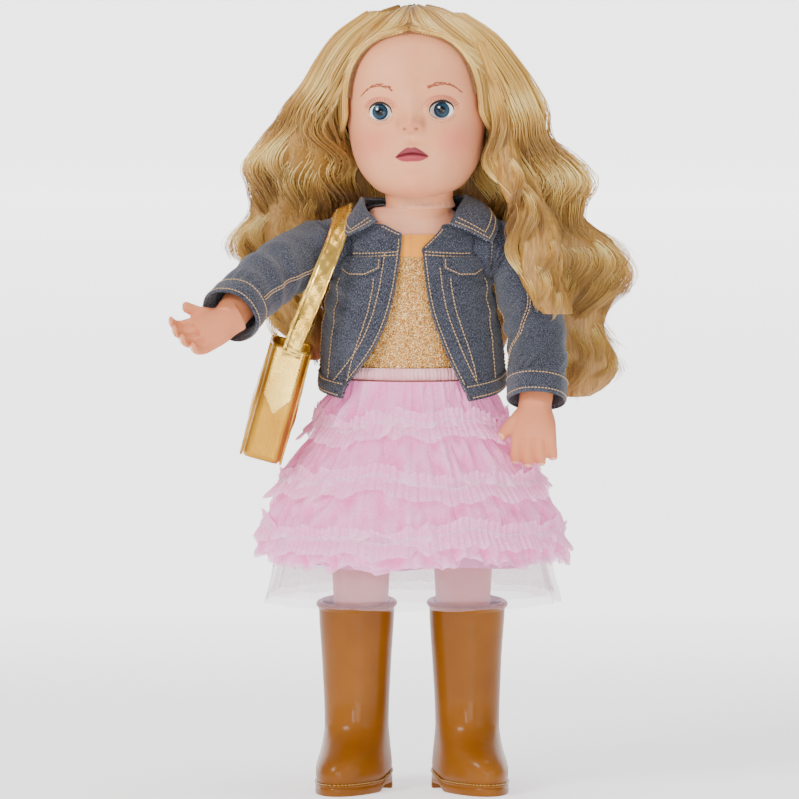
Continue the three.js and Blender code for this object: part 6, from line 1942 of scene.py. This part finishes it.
def fine_relief(x, z):
    """Nostrils, wings of the nose, lips, lids and other small forms of the face."""
    relief = 1.6 * bell(x, 3.4) * bell(z - 68.0, 3.4)
    for side in (-1, 1):
        relief = relief + 0.9 * bell(x - side * 5.0, 2.0) * bell(z - 66.0, 2.2)
        relief = relief - 1.5 * bell(x - side * 3.5, 1.2) * bell(z - 64.0, 0.9)
        away = eye_distance(x, z, side)
        lid = bell(away - 1.16, 0.12) * 0.85
        above = smooth((z - EYE_HEIGHT) / 3 + 0.5)
        crease = bell(away - 1.5, 0.1) * above * 0.55
        relief = relief + lid * mix(0.6, 1.0, above) - crease
        relief = relief + 0.8 * bell(x - side * 17, 12) * bell(z - 90, 4)
        relief = relief - 0.6 * bell(x - side * 10.6, 1.5) * bell(z - LIP_PARTING, 1.6)
    upper, parting, lower = lip_edges(x)
    inside = smooth((x + 10.4) / 1.5) * smooth((10.4 - x) / 1.5)
    height_up = clamp01((z - parting) / np.maximum(upper - parting, 0.3))
    height_low = clamp01((parting - z) / np.maximum(parting - lower, 0.3))
    swell = np.where(z > parting, np.sin(math.pi * height_up ** 0.8), np.sin(math.pi * height_low ** 0.75))
    relief = relief + inside * np.where(z > parting, 0.75, 1.15) * np.clip(swell, 0, 1)
    relief = relief - 1.25 * bell(z - parting, 0.55) * inside
    relief = relief - 0.45 * bell(x, 1.3) * bell(z - 59, 2.6)
    relief = relief - 0.7 * bell(x, 6) * bell(z - 40.8, 2.0)
    return relief


def head_surface(z, angle, lift=0.0, fine=False):
    """Points of the head's face in the head's own frame, lifted out from its middle."""
    z, angle = np.broadcast_arrays(np.asarray(z, float), np.asarray(angle, float))
    row = section_at(HEAD, HEAD_BOTTOM, HEAD_TOP, z)
    point = egg_points(angle, row[..., 0] * HEAD_HALF_WIDTH, row[..., 1] * HEAD_HALF_DEPTH,
                       row[..., 2] * HEAD_HALF_DEPTH, z)
    relief = base_relief(point[..., 0], z)
    if fine:
        relief = relief + fine_relief(point[..., 0], z)
    point[..., 1] -= np.where(np.cos(angle) > 0, relief * smooth(3 * np.cos(angle)), 0)
    if np.any(lift):
        centre = np.array([0, 0, (HEAD_TOP + HEAD_BOTTOM) / 2])
        point = point + unit(point - centre) * np.asarray(lift)[..., None]
    return point


def face_point(x, z, fine=True):
    """Points of the face's skin at places across and up."""
    x, z = np.broadcast_arrays(np.asarray(x, float), np.asarray(z, float))
    width = section_at(HEAD, HEAD_BOTTOM, HEAD_TOP, z)[..., 0]
    angle = np.arcsin(np.clip(x / (width * HEAD_HALF_WIDTH), -0.999, 0.999))
    return head_surface(z, angle, 0.0, fine)


def face_lines(lines, lift=0.12):
    """Lines of (across, height) places laid on the face's skin."""
    paths = []
    for line in lines:
        line = np.asarray(line, float)
        point = face_point(line[:, 0], line[:, 1])
        right = face_point(line[:, 0] + 0.3, line[:, 1]) - face_point(line[:, 0] - 0.3, line[:, 1])
        up = face_point(line[:, 0], line[:, 1] + 0.3) - face_point(line[:, 0], line[:, 1] - 0.3)
        paths.append(head_place(point + unit(np.cross(right, up)) * lift))
    return paths


EYE_FACE_Y = face_point(EYE_X, EYE_HEIGHT, False)[1]
EYE_Y = EYE_FACE_Y - EYE_PROUD + EYE_RADIUS


def make_head():
    """Vinyl head with modelled and painted face, painted shade in its creases, under the nose and jaw and along
    its sides, open eye sockets, and the neck under it.
    """
    levels = np.concatenate([
        np.linspace(HEAD_BOTTOM, 40, 34)[:-1], np.linspace(40, 90, 150)[:-1], np.linspace(90, HEAD_TOP, 60),
    ])
    even = turn_steps(300)
    angle = even - 0.5 * np.sin(even)
    z, a = np.meshgrid(levels, angle, indexing="ij")
    grid = head_surface(z, a, 0.0, True)
    x = grid[..., 0]
    front = np.cos(a) > 0
    blush = np.zeros(z.shape)
    shade = np.zeros(z.shape)
    for side in (-1, 1):
        away = eye_distance(x, z, side)
        grid[..., 1] += np.where(front & (away < 1.02), 6.5 * smooth((1.02 - away) / 0.1), 0)
        blush = blush + 0.42 * bell(x - side * 24, 10.5) * bell(z - 56, 8.5)
        blush = blush + 0.3 * bell(away - 1.3, 0.3) * smooth((z - EYE_HEIGHT) / 4)
        # Painted shade: a line in the lid crease, the nostrils, the rim of each eye opening, the nose's sides
        # (deeper on the doll's left, away from the key light) and the sides of the face
        shade = shade + 0.4 * bell(away - 1.48, 0.07) * smooth((z - EYE_HEIGHT - 3) / 4)
        shade = shade + 0.9 * bell(x - side * 3.5, 1.15) * bell(z - 63.9, 0.85)
        shade = shade + 0.5 * bell(away - 1.0, 0.09)
        shade = shade + (0.46 if side > 0 else 0.24) * bell(x - side * 7.4, 1.7) * bell(z - 66.8, 3.8)
        shade = shade + 0.24 * smooth((side * x - 23) / 17)
    blush = (blush + 0.2 * bell(x, 5) * bell(z - 67, 4) + 0.12 * bell(x, 9) * bell(z - 29, 6)) * front
    # More painted shade below the nose tip and under the jaw
    shade = (shade + 0.34 * bell(x, 5.2) * bell(z - 61.6, 1.4) + 0.16 * smooth((34 - z) / 14)) * front
    upper, parting, lower = lip_edges(x)
    lips = smooth((upper - z) / 0.7 + 0.5) * smooth((z - lower) / 0.7 + 0.5)
    lips = lips * smooth((10.3 - np.abs(x)) / 0.8) * front
    # Painted shade on the lips: dark along the parting and over the upper lip, which faces down
    lip_dark = np.clip(0.8 * bell(z - parting, 0.6) + 0.5 * smooth((z - parting) / 0.8), 0, 0.95)
    attributes = {
        "blush": clamp01(blush).ravel(), "shade": clamp01(shade).ravel(),
        "lips": clamp01(lips).ravel(), "lip_dark": lip_dark.ravel(),
    }
    piece = skin("vinyl_head", head_place(grid), face_vinyl, "head", wrap=True, attributes=attributes)
    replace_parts(piece, "head_shell")

    profile = spline([(radius, 0, height) for radius, height in NECK_PROFILE], 60)
    neck = np.array([[(radius * math.sin(t), -radius * math.cos(t), height) for t in turn_steps(96)]
                     for radius, _, height in profile])
    neck_piece = skin("vinyl_neck", head_place(neck), skin_vinyl, "head", wrap=True)


def eye_rim(side, scale, low, high, count):
    """Part of the line round an eye's opening."""
    angle = np.linspace(low, high, count)
    rise = np.sign(np.sin(angle)) * np.abs(np.sin(angle)) ** 0.95
    return np.stack([side * EYE_X + LID_HALF_WIDTH * scale * np.cos(angle),
                     EYE_HEIGHT + LID_HALF_HEIGHT * scale * rise], axis=1)


def make_face_trim():
    """Lid rims, lash line, painted lashes and painted brows."""
    lids, lid_radii = [], []
    for side in (-1, 1):
        lids += face_lines([eye_rim(side, 1.04, -math.pi, math.pi, 90)], -0.05)
        lid_radii.append(np.full(90, 0.62))
    piece = tubes("eyelid_rims", lids, lid_radii, skin_vinyl, "head", 10)
    dark = []
    for side in (-1, 1):
        dark += face_lines([eye_rim(side, 0.98, -0.12, math.pi + 0.12, 60)], 0.25)
    profile = 0.95 * np.sin(np.linspace(0.25, math.pi - 0.25, 60)) ** 0.6
    tubes("upper_lash_line", dark, [profile] * 2, lash_paint, "head", 8)

    random = np.random.default_rng(7)
    strokes, radii = [], []
    for side in (-1, 1):
        for share in np.linspace(0.08, 0.92, 15):
            angle = mix(0.12, math.pi - 0.12, share)
            outward = math.cos(angle) * side
            length = 2.0 + 1.1 * smooth((outward + 0.2)) + random.uniform(-0.2, 0.2)
            root = eye_rim(side, 1.1, angle, angle, 1)[0]
            lean = np.array([math.cos(angle) * 0.9 + 0.25 * side, math.sin(angle)])
            t = np.linspace(0, 1, 7)[:, None]
            strokes.append(root + lean * t * length + np.array([side * 0.35, 0.3]) * t ** 2)
            radii.append(0.2 * (1 - np.linspace(0, 0.8, 7)))
        for share in np.linspace(0.1, 0.9, 12):
            angle = mix(-math.pi + 0.25, -0.25, share)
            length = 1.5 + 0.7 * smooth(math.cos(angle) * side + 0.3) + random.uniform(-0.15, 0.15)
            root = eye_rim(side, 1.14, angle, angle, 1)[0]
            lean = np.array([math.cos(angle) * 0.8 + 0.2 * side, math.sin(angle)])
            t = np.linspace(0, 1, 6)[:, None]
            strokes.append(root + lean * t * length)
            radii.append(0.13 * (1 - np.linspace(0, 0.8, 6)))
    tubes("painted_lashes", face_lines(strokes, 0.02), radii, lash_brown, "head", 5)

    brows, radii = [], []
    for side in (-1, 1):
        arch = spline([(10.0, 0, 86.8), (16.4, 0, 89.5), (23.4, 0, 88.4), (30.8, 0, 82.4)], 60)
        for number in range(46):
            at = number / 45
            start = arch[int(at * 52)]
            ahead = arch[min(59, int(at * 52) + 6)] - start
            across = 1.5 * (1 - 0.7 * at) * random.uniform(-1, 1)
            t = np.linspace(0, 1, 6)
            line = np.stack([
                side * (start[0] + ahead[0] * t * 0.8), start[2] + ahead[2] * t * 0.8 + across * (1 - 0.5 * t),
            ], axis=1)
            brows.append(line)
            radii.append(0.46 * np.sin(np.linspace(0.5, math.pi - 0.2, 6)) * (1 - 0.35 * at))
    tubes("painted_brows", face_lines(brows, 0.0), radii, brow_paint, "head", 5)


def iris_material():
    shader = Shader("iris_blue", srgb(40, 84, 126), 0.12, Specular_IOR_Level=0.2,
                    Coat_Weight=0.12, Coat_Roughness=0.03)
    place = shader.node("ShaderNodeCombineXYZ")
    shader.link(shader.attribute("spoke"), place.inputs[0])
    shader.link(shader.math("MULTIPLY", shader.attribute("polar"), 0.35), place.inputs[1])
    streaks = shader.noise(9.0, 4, place.outputs[0])
    ring = shader.ramp(shader.attribute("polar"), [
        (0.0, srgb(8, 16, 24)), (0.35, srgb(24, 50, 70)), (0.72, srgb(14, 35, 54)), (1.0, srgb(4, 8, 14)),
    ])
    shader.colour(shader.blend(shader.grey(streaks, 0.0, 0.75, 0.4, 0.7), ring, srgb(54, 88, 108)))
    return shader.material


def make_eyes():
    """Sleep eyes. Iris, pupil, lid and lash line are bands of the ball's faces, with a glint on each eye."""
    iris = iris_material()
    pupil = plain_material("pupil_black", (0.004, 0.004, 0.006, 1), 0.08, (0.002, 0.002, 0.003, 1))
    pupil.node_tree.nodes["Principled BSDF"].inputs["Coat Weight"].default_value = 0.1
    pupil.node_tree.nodes["Principled BSDF"].inputs["Specular IOR Level"].default_value = 0.2
    sclera = plain_material("eye_white", srgb(246, 244, 242), 0.15, srgb(232, 228, 228), 120)
    shine = plain_material("eye_shine", (0.95, 0.95, 0.95, 1), 0.1, (0.85, 0.85, 0.85, 1))
    for name, side in (("left", 1), ("right", -1)):
        polar = np.concatenate([
            np.linspace(0.002, PUPIL_EDGE, 9), np.linspace(0.25, 0.545, 16), np.linspace(0.56, 2.6, 44),
        ])
        spin = turn_steps(72)
        p, s = np.meshgrid(polar, spin, indexing="ij")
        bulge = EYE_RADIUS + 0.02 * np.cos(p)
        unit_points = np.stack([np.sin(p) * np.sin(s), -np.cos(p), np.sin(p) * np.cos(s)], axis=-1)
        toe_in = rotation("z", 0.055 * side - 0.02)
        middle = np.array([side * EYE_X, EYE_Y, EYE_HEIGHT])
        points = (unit_points @ toe_in.T) * bulge[..., None] + middle
        attributes = {
            "polar": clamp01((p - PUPIL_EDGE) / (IRIS_EDGE - PUPIL_EDGE)).ravel(), "spoke": (s * 2.2).ravel(),
        }
        piece = skin(f"eyeball_{name}", head_place(points), sclera, f"eye_{name}_ball", wrap=True,
                     attributes=attributes)
        for extra in (iris, pupil, lid_skin, lash_paint):
            piece.data.materials.append(extra)
        index = np.zeros(len(piece.data.polygons), np.int32)
        for face in piece.data.polygons:
            row = face.index // len(spin)
            column = face.index % len(spin)
            p_mid = (polar[row] + polar[row + 1]) / 2
            s_mid = spin[column] + math.pi / len(spin)
            up = math.sin(p_mid) * math.cos(s_mid)
            elevation = math.atan2(up, math.cos(p_mid))
            if elevation > LID_EDGE and up > 0:
                index[face.index] = 3
            elif elevation > LASH_EDGE and up > 0:
                index[face.index] = 4
            elif p_mid < PUPIL_EDGE:
                index[face.index] = 2
            elif p_mid < IRIS_EDGE:
                index[face.index] = 1
        piece.data.polygons.foreach_set("material_index", index)
        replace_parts(piece, f"eye_{name}")
        glint = []
        for radius in (0.05, 0.35, 0.62):
            x = -1.5 + radius * np.cos(turn_steps(16))
            z = 1.7 + radius * np.sin(turn_steps(16))
            y = -np.sqrt((EYE_RADIUS + 0.06) ** 2 - x ** 2 - z ** 2)
            glint.append(np.stack([x, y, z], axis=1) @ toe_in.T + middle)
        skin(f"eye_glint_{name}", head_place(np.array(glint)), shine, f"eye_{name}_ball", wrap=True)


make_head()
make_face_trim()
make_eyes()


# ---- Hair

HAIR_TIP, HAIR_SPAN = 224.0, 100.0
HAIR_WAVE_SHARE, HAIR_WAVE_COUNT = 0.035, 3.2
# Rows of a mass: height, outer edge, inner edge, middle's depth and half depth, as shares of the span
HAIR_MASSES = {
    "hair_side_left": {"side": 1, "phase": 0, "locks": (60, 34), "core": 0.74, "rows": [
        [0.0, 0.92, 0.86, 0.29, 0.03], [0.06, 1.08, 0.76, 0.29, 0.09], [0.14, 1.19, 0.68, 0.29, 0.105],
        [0.28, 1.27, 0.64, 0.29, 0.11], [0.46, 1.25, 0.56, 0.29, 0.11], [0.66, 1.28, 0.53, 0.29, 0.11],
        [0.96, 1.28, 0.51, 0.29, 0.11], [1.09, 1.13, 0.47, 0.29, 0.112], [1.2, 1.05, 0.42, 0.27, 0.13],
        [1.34, 1.05, 0.38, 0.2, 0.19], [1.5, 0.97, 0.41, 0.15, 0.22], [1.62, 0.82, 0.42, 0.11, 0.25],
        [1.86, 0.74, 0.38, 0.09, 0.28], [2.04, 0.62, 0.3, 0.08, 0.26], [2.2, 0.48, 0.2, 0.07, 0.22],
        [2.32, 0.3, 0.08, 0.06, 0.14]]},
    "hair_side_right": {"side": -1, "phase": 1, "locks": (54, 34), "core": 0.74, "rows": [
        [0.2, 0.68, 0.56, 0.55, 0.05], [0.38, 0.78, 0.5, 0.56, 0.11], [0.6, 0.9, 0.48, 0.56, 0.12],
        [0.78, 1.0, 0.5, 0.56, 0.12], [0.95, 1.06, 0.5, 0.56, 0.12], [1.12, 1.03, 0.4, 0.52, 0.13],
        [1.22, 1.0, 0.28, 0.46, 0.16], [1.32, 0.95, 0.26, 0.36, 0.19], [1.46, 0.94, 0.32, 0.2, 0.22],
        [1.6, 0.91, 0.42, 0.13, 0.25], [1.74, 0.76, 0.4, 0.11, 0.27], [1.86, 0.66, 0.38, 0.1, 0.28],
        [2.04, 0.56, 0.3, 0.08, 0.26], [2.2, 0.44, 0.18, 0.07, 0.22], [2.33, 0.26, 0.03, 0.06, 0.14]]},
    "hair_back": {"side": 1, "phase": 2, "locks": (44, 26), "core": 0.98, "rows": [
        [0.08, 0.34, -0.28, 0.56, 0.05], [0.2, 0.5, -0.46, 0.57, 0.09], [0.45, 0.6, -0.54, 0.57, 0.1],
        [0.8, 0.6, -0.54, 0.55, 0.1], [1.1, 0.58, -0.52, 0.54, 0.11], [1.4, 0.55, -0.48, 0.53, 0.12],
        [1.7, 0.5, -0.42, 0.53, 0.12], [1.95, 0.44, -0.37, 0.51, 0.1], [2.1, 0.34, -0.28, 0.48, 0.08],
        [2.2, 0.2, -0.14, 0.44, 0.04]]},
    "hair_curl_left": {"side": 1, "phase": 3, "locks": (14, 42), "core": 0.74, "rows": [
        [0.53, 0.89, 0.78, -0.38, 0.035], [0.6, 0.95, 0.7, -0.38, 0.075], [0.71, 0.95, 0.66, -0.37, 0.085],
        [0.86, 0.92, 0.61, -0.33, 0.085], [1.02, 0.88, 0.57, -0.3, 0.085], [1.17, 0.82, 0.52, -0.26, 0.085],
        [1.31, 0.74, 0.49, -0.205, 0.085], [1.46, 0.68, 0.47, -0.172, 0.08], [1.6, 0.62, 0.46, -0.16, 0.05],
        [1.8, 0.57, 0.45, -0.185, 0.02], [2.0, 0.5, 0.41, -0.19, 0.012], [2.16, 0.42, 0.36, -0.18, 0.006]]},
}
SCALP_LIFT = 4.6
FACE_OPENING_TOP, FACE_OPENING_HALF = 118.0, 36.0
STRANDS_PER_PIECE = 720


def push_off(points, half, deep, middle, low, high):
    """Moves points that lie inside an oval form, between two heights, out to its face."""
    reach = np.hypot(points[:, 0] / half, (points[:, 1] - middle) / deep)
    inside = (reach < 1) & (points[:, 2] > low) & (points[:, 2] < high)
    scale = np.where(inside, 1 / np.maximum(reach, 0.05), 1.0)
    points[:, 0] *= scale
    points[:, 1] = middle + (points[:, 1] - middle) * scale


def keep_out(points):
    """Pushes hair out of the scalp, the clothes and the sleeves."""
    shape = points.shape
    local = to_head(points.reshape(-1, 3))
    z = np.clip(local[:, 2], HEAD_BOTTOM + 3, HEAD_TOP - 0.5)
    row = section_at(HEAD, HEAD_BOTTOM, HEAD_TOP, z)
    half = row[:, 0] * HEAD_HALF_WIDTH + SCALP_LIFT - 1.2
    deep = np.where(local[:, 1] < 0, row[:, 1], row[:, 2]) * HEAD_HALF_DEPTH + SCALP_LIFT - 1.2
    push_off(local, half, deep, 0.0, HEAD_BOTTOM + 1, HEAD_TOP + 2)
    flat = head_place(local)

    z = np.clip(flat[:, 2], HEM_FRONT, TORSO_TOP - 1)
    row = section_at(TORSO, TORSO_BOTTOM, TORSO_TOP, z)
    lift = jacket_lift(z, 0.5) + 2 * DENIM + 2.4
    half = row[:, 0] * TORSO_HALF_WIDTH + lift
    deep = row[:, 1] * TORSO_HALF_DEPTH + lift
    push_off(flat, half, deep, row[:, 2] * TORSO_HALF_DEPTH, HEM_FRONT, TORSO_TOP + 2)
    for path in arm_paths.values():
        line = np.array([path.bend_place(t)[0] for t in np.linspace(0, 1, 6)]
                        + [path.place(t)[0] for t in np.linspace(0.05, 0.95, 14)])
        away = flat[:, None, :] - line[None, :, :]
        distance = np.linalg.norm(away, axis=2)
        nearest = distance.argmin(axis=1)
        least = distance[np.arange(len(flat)), nearest]
        room = SLEEVE_RADIUS + 3.4
        push = np.where(least < room, room - least, 0.0)
        direction = unit(away[np.arange(len(flat)), nearest])
        flat = flat + direction * push[:, None]
    return flat.reshape(shape)


def mass_place(mass, height, across, deep):
    """Point in a hair mass: across and deep run from -1 to 1 over its section at each height share."""
    row = read_table(mass["rows"], height)
    outer, inner, middle, half = row[:, 0], row[:, 1], row[:, 2], row[:, 3]
    wave = HAIR_WAVE_SHARE * np.sin(HAIR_WAVE_COUNT * height * math.pi + mass["phase"]) * smooth(2 - height)
    centre = ((outer + inner) / 2 + wave) * HAIR_SPAN * mass["side"]
    half_width = (outer - inner) / 2 * HAIR_SPAN * mass["side"]
    return np.stack([centre + across * half_width, (middle + deep * half) * HAIR_SPAN,
                     HAIR_TIP + height * HAIR_SPAN], axis=-1)


def strand_piece(name, paths, radii, tint, depth, body=None):
    """Strands as thin three-sided tapered tubes in one mesh. Without a body their placement is baked in and they
    ride on no body.
    """
    paths = np.asarray(paths)
    count, steps = paths.shape[:2]
    tangent = unit(np.gradient(paths, axis=1))
    reference = np.array([0.35, 0.8, 0.1])
    side = unit(np.cross(tangent, reference))
    other = np.cross(tangent, side)
    angle = turn_steps(3)
    ring = side[:, :, None, :] * np.cos(angle)[None, None, :, None]
    ring = ring + other[:, :, None, :] * np.sin(angle)[None, None, :, None]
    points = paths[:, :, None, :] + ring * np.asarray(radii)[:, :, None, None]
    base = grid_faces(steps, 3, True)
    faces = (base[None] + (np.arange(count) * steps * 3)[:, None, None]).reshape(-1, 4)
    piece = new_object(name, points.reshape(-1, 3), faces, hair_fibre, body, attributes={
        "tint": np.repeat(np.asarray(tint).reshape(count, steps), 3),
        "depth": np.repeat(np.asarray(depth).reshape(count, steps), 3),
    })
    if body is None:
        follow(piece)
    return piece


def lock_group(name, mass, seed):
    """Locks of wavy strands that fill a hair mass from its roots to its tips."""
    random = np.random.default_rng(seed)
    locks, per_lock = mass["locks"]
    low, high = mass["rows"][0][0], mass["rows"][-1][0]
    t = np.linspace(0, 1, 44)
    paths, radii, tints_and_painted_light, painted_shades = [], [], [], []
    for _ in range(locks):
        spin = random.uniform(0, TURN)
        ring = math.sqrt(random.uniform(0.12, 1.0)) * 0.92
        lock_across, lock_deep = ring * math.sin(spin), -ring * math.cos(spin)
        end_height = low + (high - low) * (0.01 + 0.1 * ring ** 3 + 0.3 * random.uniform() ** 2.0)
        phase = random.normal(0, 0.16) + 0.8 * lock_across
        wave_size = random.uniform(3.4, 6.4)
        wave_length = random.uniform(43, 52)
        lock_tint = random.uniform(0.2, 0.85)
        lock_turn = random.uniform(0, TURN)
        for _ in range(per_lock):
            height = mix(high - random.uniform(0, 0.03), end_height + random.normal(0, 0.02), t)
            spread = mix(0.36, 0.085, smooth(1.4 * t)) + 0.03
            off = random.normal(0, 1, 2) * 0.6
            across = lock_across * mix(1.0, 0.95, t) + off[0] * spread
            deep = lock_deep + off[1] * spread
            place = mass_place(mass, height, np.clip(across, -1.06, 1.06), np.clip(deep, -1.06, 1.06))
            travel = (high - height) * HAIR_SPAN
            swing = smooth((travel - 34) / 50) * wave_size * (1 + 0.35 * t)
            turning = travel / wave_length * TURN + phase + mass["phase"]
            place[:, 0] += swing * np.sin(turning) * mass["side"]
            place[:, 1] += 0.8 * swing * np.cos(turning + 0.4)
            curl = smooth((t - 0.7) / 0.3) * 4.2
            place[:, 0] += curl * np.sin(9 * t + lock_turn)
            place[:, 1] += curl * np.cos(9 * t + lock_turn)
            stray = random.normal(0, 0.3, 3) * smooth(t * 2)[:, None]
            place = place + stray
            paths.append(place)
            radii.append(mix(0.25, 0.1, smooth((t - 0.4) / 0.6)) * random.uniform(0.8, 1.2))
            # Painted highlight where a wave turns toward the light; painted shade for strands buried in the lock
            # and in the waves' hollows
            facing = 0.5 + 0.5 * np.cos(turning - 0.6)
            shine = smooth((travel - 20) / 40) * (0.62 * facing ** 3 - 0.26) + random.normal(0, 0.09)
            tints_and_painted_light.append(clamp01(lock_tint * 0.62 + 0.22 + shine))
            buried = clamp01((0.6 - math.hypot(off[0], off[1]) * 0.25 - np.hypot(across, deep) * 0.6) * 1.2)
            hollow = smooth((travel - 20) / 40) * 0.5 * (1 - facing) ** 2
            painted_shades.append(clamp01(buried * 0.7 + hollow))
    paths = keep_out(np.array(paths))
    for number, first in enumerate(range(0, len(paths), STRANDS_PER_PIECE)):
        some = slice(first, first + STRANDS_PER_PIECE)
        strand_piece(f"{name}_{number}", paths[some], radii[some], tints_and_painted_light[some], painted_shades[some])


def mass_core(name, mass):
    """Streaked inner form of a hair mass, under its strands, in the darker core colour as painted shade."""
    heights = np.linspace(mass["rows"][0][0] + 0.05, mass["rows"][-1][0], 60)
    spin = turn_steps(40)
    scale = mass["core"]
    rows = []
    for height in heights:
        ripple = 1 + 0.07 * np.sin(9 * spin + height * 4) + 0.05 * np.sin(17 * spin - 3 * height)
        row = [mass_place(mass, np.array([height]), scale * r * math.sin(s), -scale * r * math.cos(s))[0]
               for s, r in zip(spin, ripple)]
        rows.append(row)
    grid = keep_out(np.array(rows))
    piece = skin(name, grid, hair_core, None, wrap=True)
    follow(piece)
    return piece


def hairline_half(z):
    """Half width of the face's opening in the hair at a height."""
    upper = 1 - np.sqrt(np.clip((FACE_OPENING_TOP - z) / 44, 0, 1))
    return np.where(z > 74, FACE_OPENING_HALF * (1 - upper ** 2), FACE_OPENING_HALF)


def scalp_path(side, share, t, lift, jitter=0.0):
    """Way of a strand over the scalp, from the parting down; share 0 is the hairline and 1 the back."""
    top = mix(FACE_OPENING_TOP + 0.5, HEAD_TOP - 0.6, float(smooth(share * 4)))
    z = mix(top, mix(60.0, 30.0, float(smooth(share * 3))), t ** 1.15)
    width = section_at(HEAD, HEAD_BOTTOM, HEAD_TOP, z)[:, 0] * HEAD_HALF_WIDTH
    front = np.arcsin(np.clip(hairline_half(z) / width, 0, 0.985))
    front = np.where(z < 74, mix(front, 1.75, smooth((74 - z) / 26)), front)
    begin = 0.02 if share < 0.25 else mix(0.02, math.pi - 0.02, smooth((share - 0.25) / 0.5))
    rest = mix(front, math.pi - 0.02, share ** 0.9)
    angle = mix(begin, rest, smooth(t * (2.2 if share < 0.2 else 1.5))) if share > 0.02 else front
    angle = np.maximum(angle + jitter, np.where(z < FACE_OPENING_TOP, front, 0.01))
    return head_surface(z, side * angle, np.full(z.shape, lift))


def cap_strands(name, side, count, seed):
    """Strands combed over the scalp from the parting, with painted shade at their roots and along the hairline,
    and painted sheen.
    """
    random = np.random.default_rng(seed)
    t = np.linspace(0, 1, 26)
    paths, radii, tints_and_painted_light, painted_shades = [], [], [], []
    for _ in range(count):
        share = random.uniform(0, 1) ** 1.25
        lift = 2.6 + 2.4 * random.uniform() + 0.8 * math.sin(share * 40)
        path = scalp_path(side, share, t, lift, random.normal(0, 0.012))
        path = path + random.normal(0, 0.18, 3)
        paths.append(head_place(path))
        radii.append(mix(0.22, 0.26, t) * (1 - 0.9 * smooth((t - 0.85) / 0.15)) * random.uniform(0.8, 1.2))
        # Painted sheen in bands across the scalp and a painted highlight a third of the way down; painted shade
        # at the roots and along the hairline
        shine = 0.2 * np.sin(share * 60 + 2 * t)
        root = -0.25 * np.exp(-t / 0.05) - 0.24 * float(smooth(1.3 - share * 12))
        tints_and_painted_light.append(clamp01(random.uniform(0.3, 0.8) + shine + root + 0.22 * bell(t - 0.33, 0.16)))
        painted_shades.append(clamp01(0.4 * np.exp(-t / 0.03)))
    return strand_piece(name, paths, radii, tints_and_painted_light, painted_shades, "head")


def make_cap():
    """Rooted scalp in two halves, its combed strands, the parting, and the stitches along the hairline."""
    t = np.linspace(0, 1, 70)
    for side, label in ((1, "left"), (-1, "right")):
        grid = np.array([scalp_path(side, share, t, 2.4) for share in np.linspace(0.0, 1, 120)])
        piece = skin(f"rooted_scalp_{label}", head_place(grid), hair_core, "head")
        if side > 0:
            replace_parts(piece, "hair_cap")
        cap_strands(f"scalp_hair_{label}", side, 1250, 91 + side)
    parting = np.array([scalp_path(1, share, np.array([0.0]), 3.2)[0] for share in np.linspace(0.06, 0.62, 36)])
    parting[:, 0] = 0.0
    roots = tubes("parting_roots", [head_place(parting)], [np.full(36, 1.7)], hair_core, "head", 10)
    strokes, radii = [], []
    for side, reach in ((-1, 4.4), (1, 2.2)):
        t = np.linspace(0.01, 0.66, 84)
        for root in scalp_path(side, 0.0, t, 1.4):
            away = unit(np.array([root[0], 0.0, 0.8 * (root[2] - 78)]))
            start = root - away * 0.8 - np.array([0, 1.0, 0])
            strokes.append(head_place(np.array([start, start + away * reach * 0.5, start + away * reach])))
            radii.append([0.2, 0.24, 0.16])
    tubes("rooting_stitches", strokes, radii, root_brown, "head", 5)


def make_hair():
    for number, (node, mass) in enumerate(HAIR_MASSES.items()):
        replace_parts(mass_core(node.replace("hair", "hair_core"), mass), node)
        lock_group(node.replace("hair", "locks"), mass, 101 + number)
    make_cap()


make_hair()


# ---- Hidden pieces keep their shapes and get their finish

def finish_hidden():
    finishes = {
        "arm_cord": elastic, "leg_cord": elastic, "neck_drawcord": skin_cord,
        "shoulder_disc_left": white_plastic, "shoulder_disc_right": white_plastic,
        "eye_cup_left": white_plastic, "eye_cup_right": white_plastic,
        "eye_weight_left": steel, "eye_weight_right": steel,
    }
    for node, material in finishes.items():
        piece = frame["nodes"][node]
        piece.data.materials.clear()
        piece.data.materials.append(material)


finish_hidden()
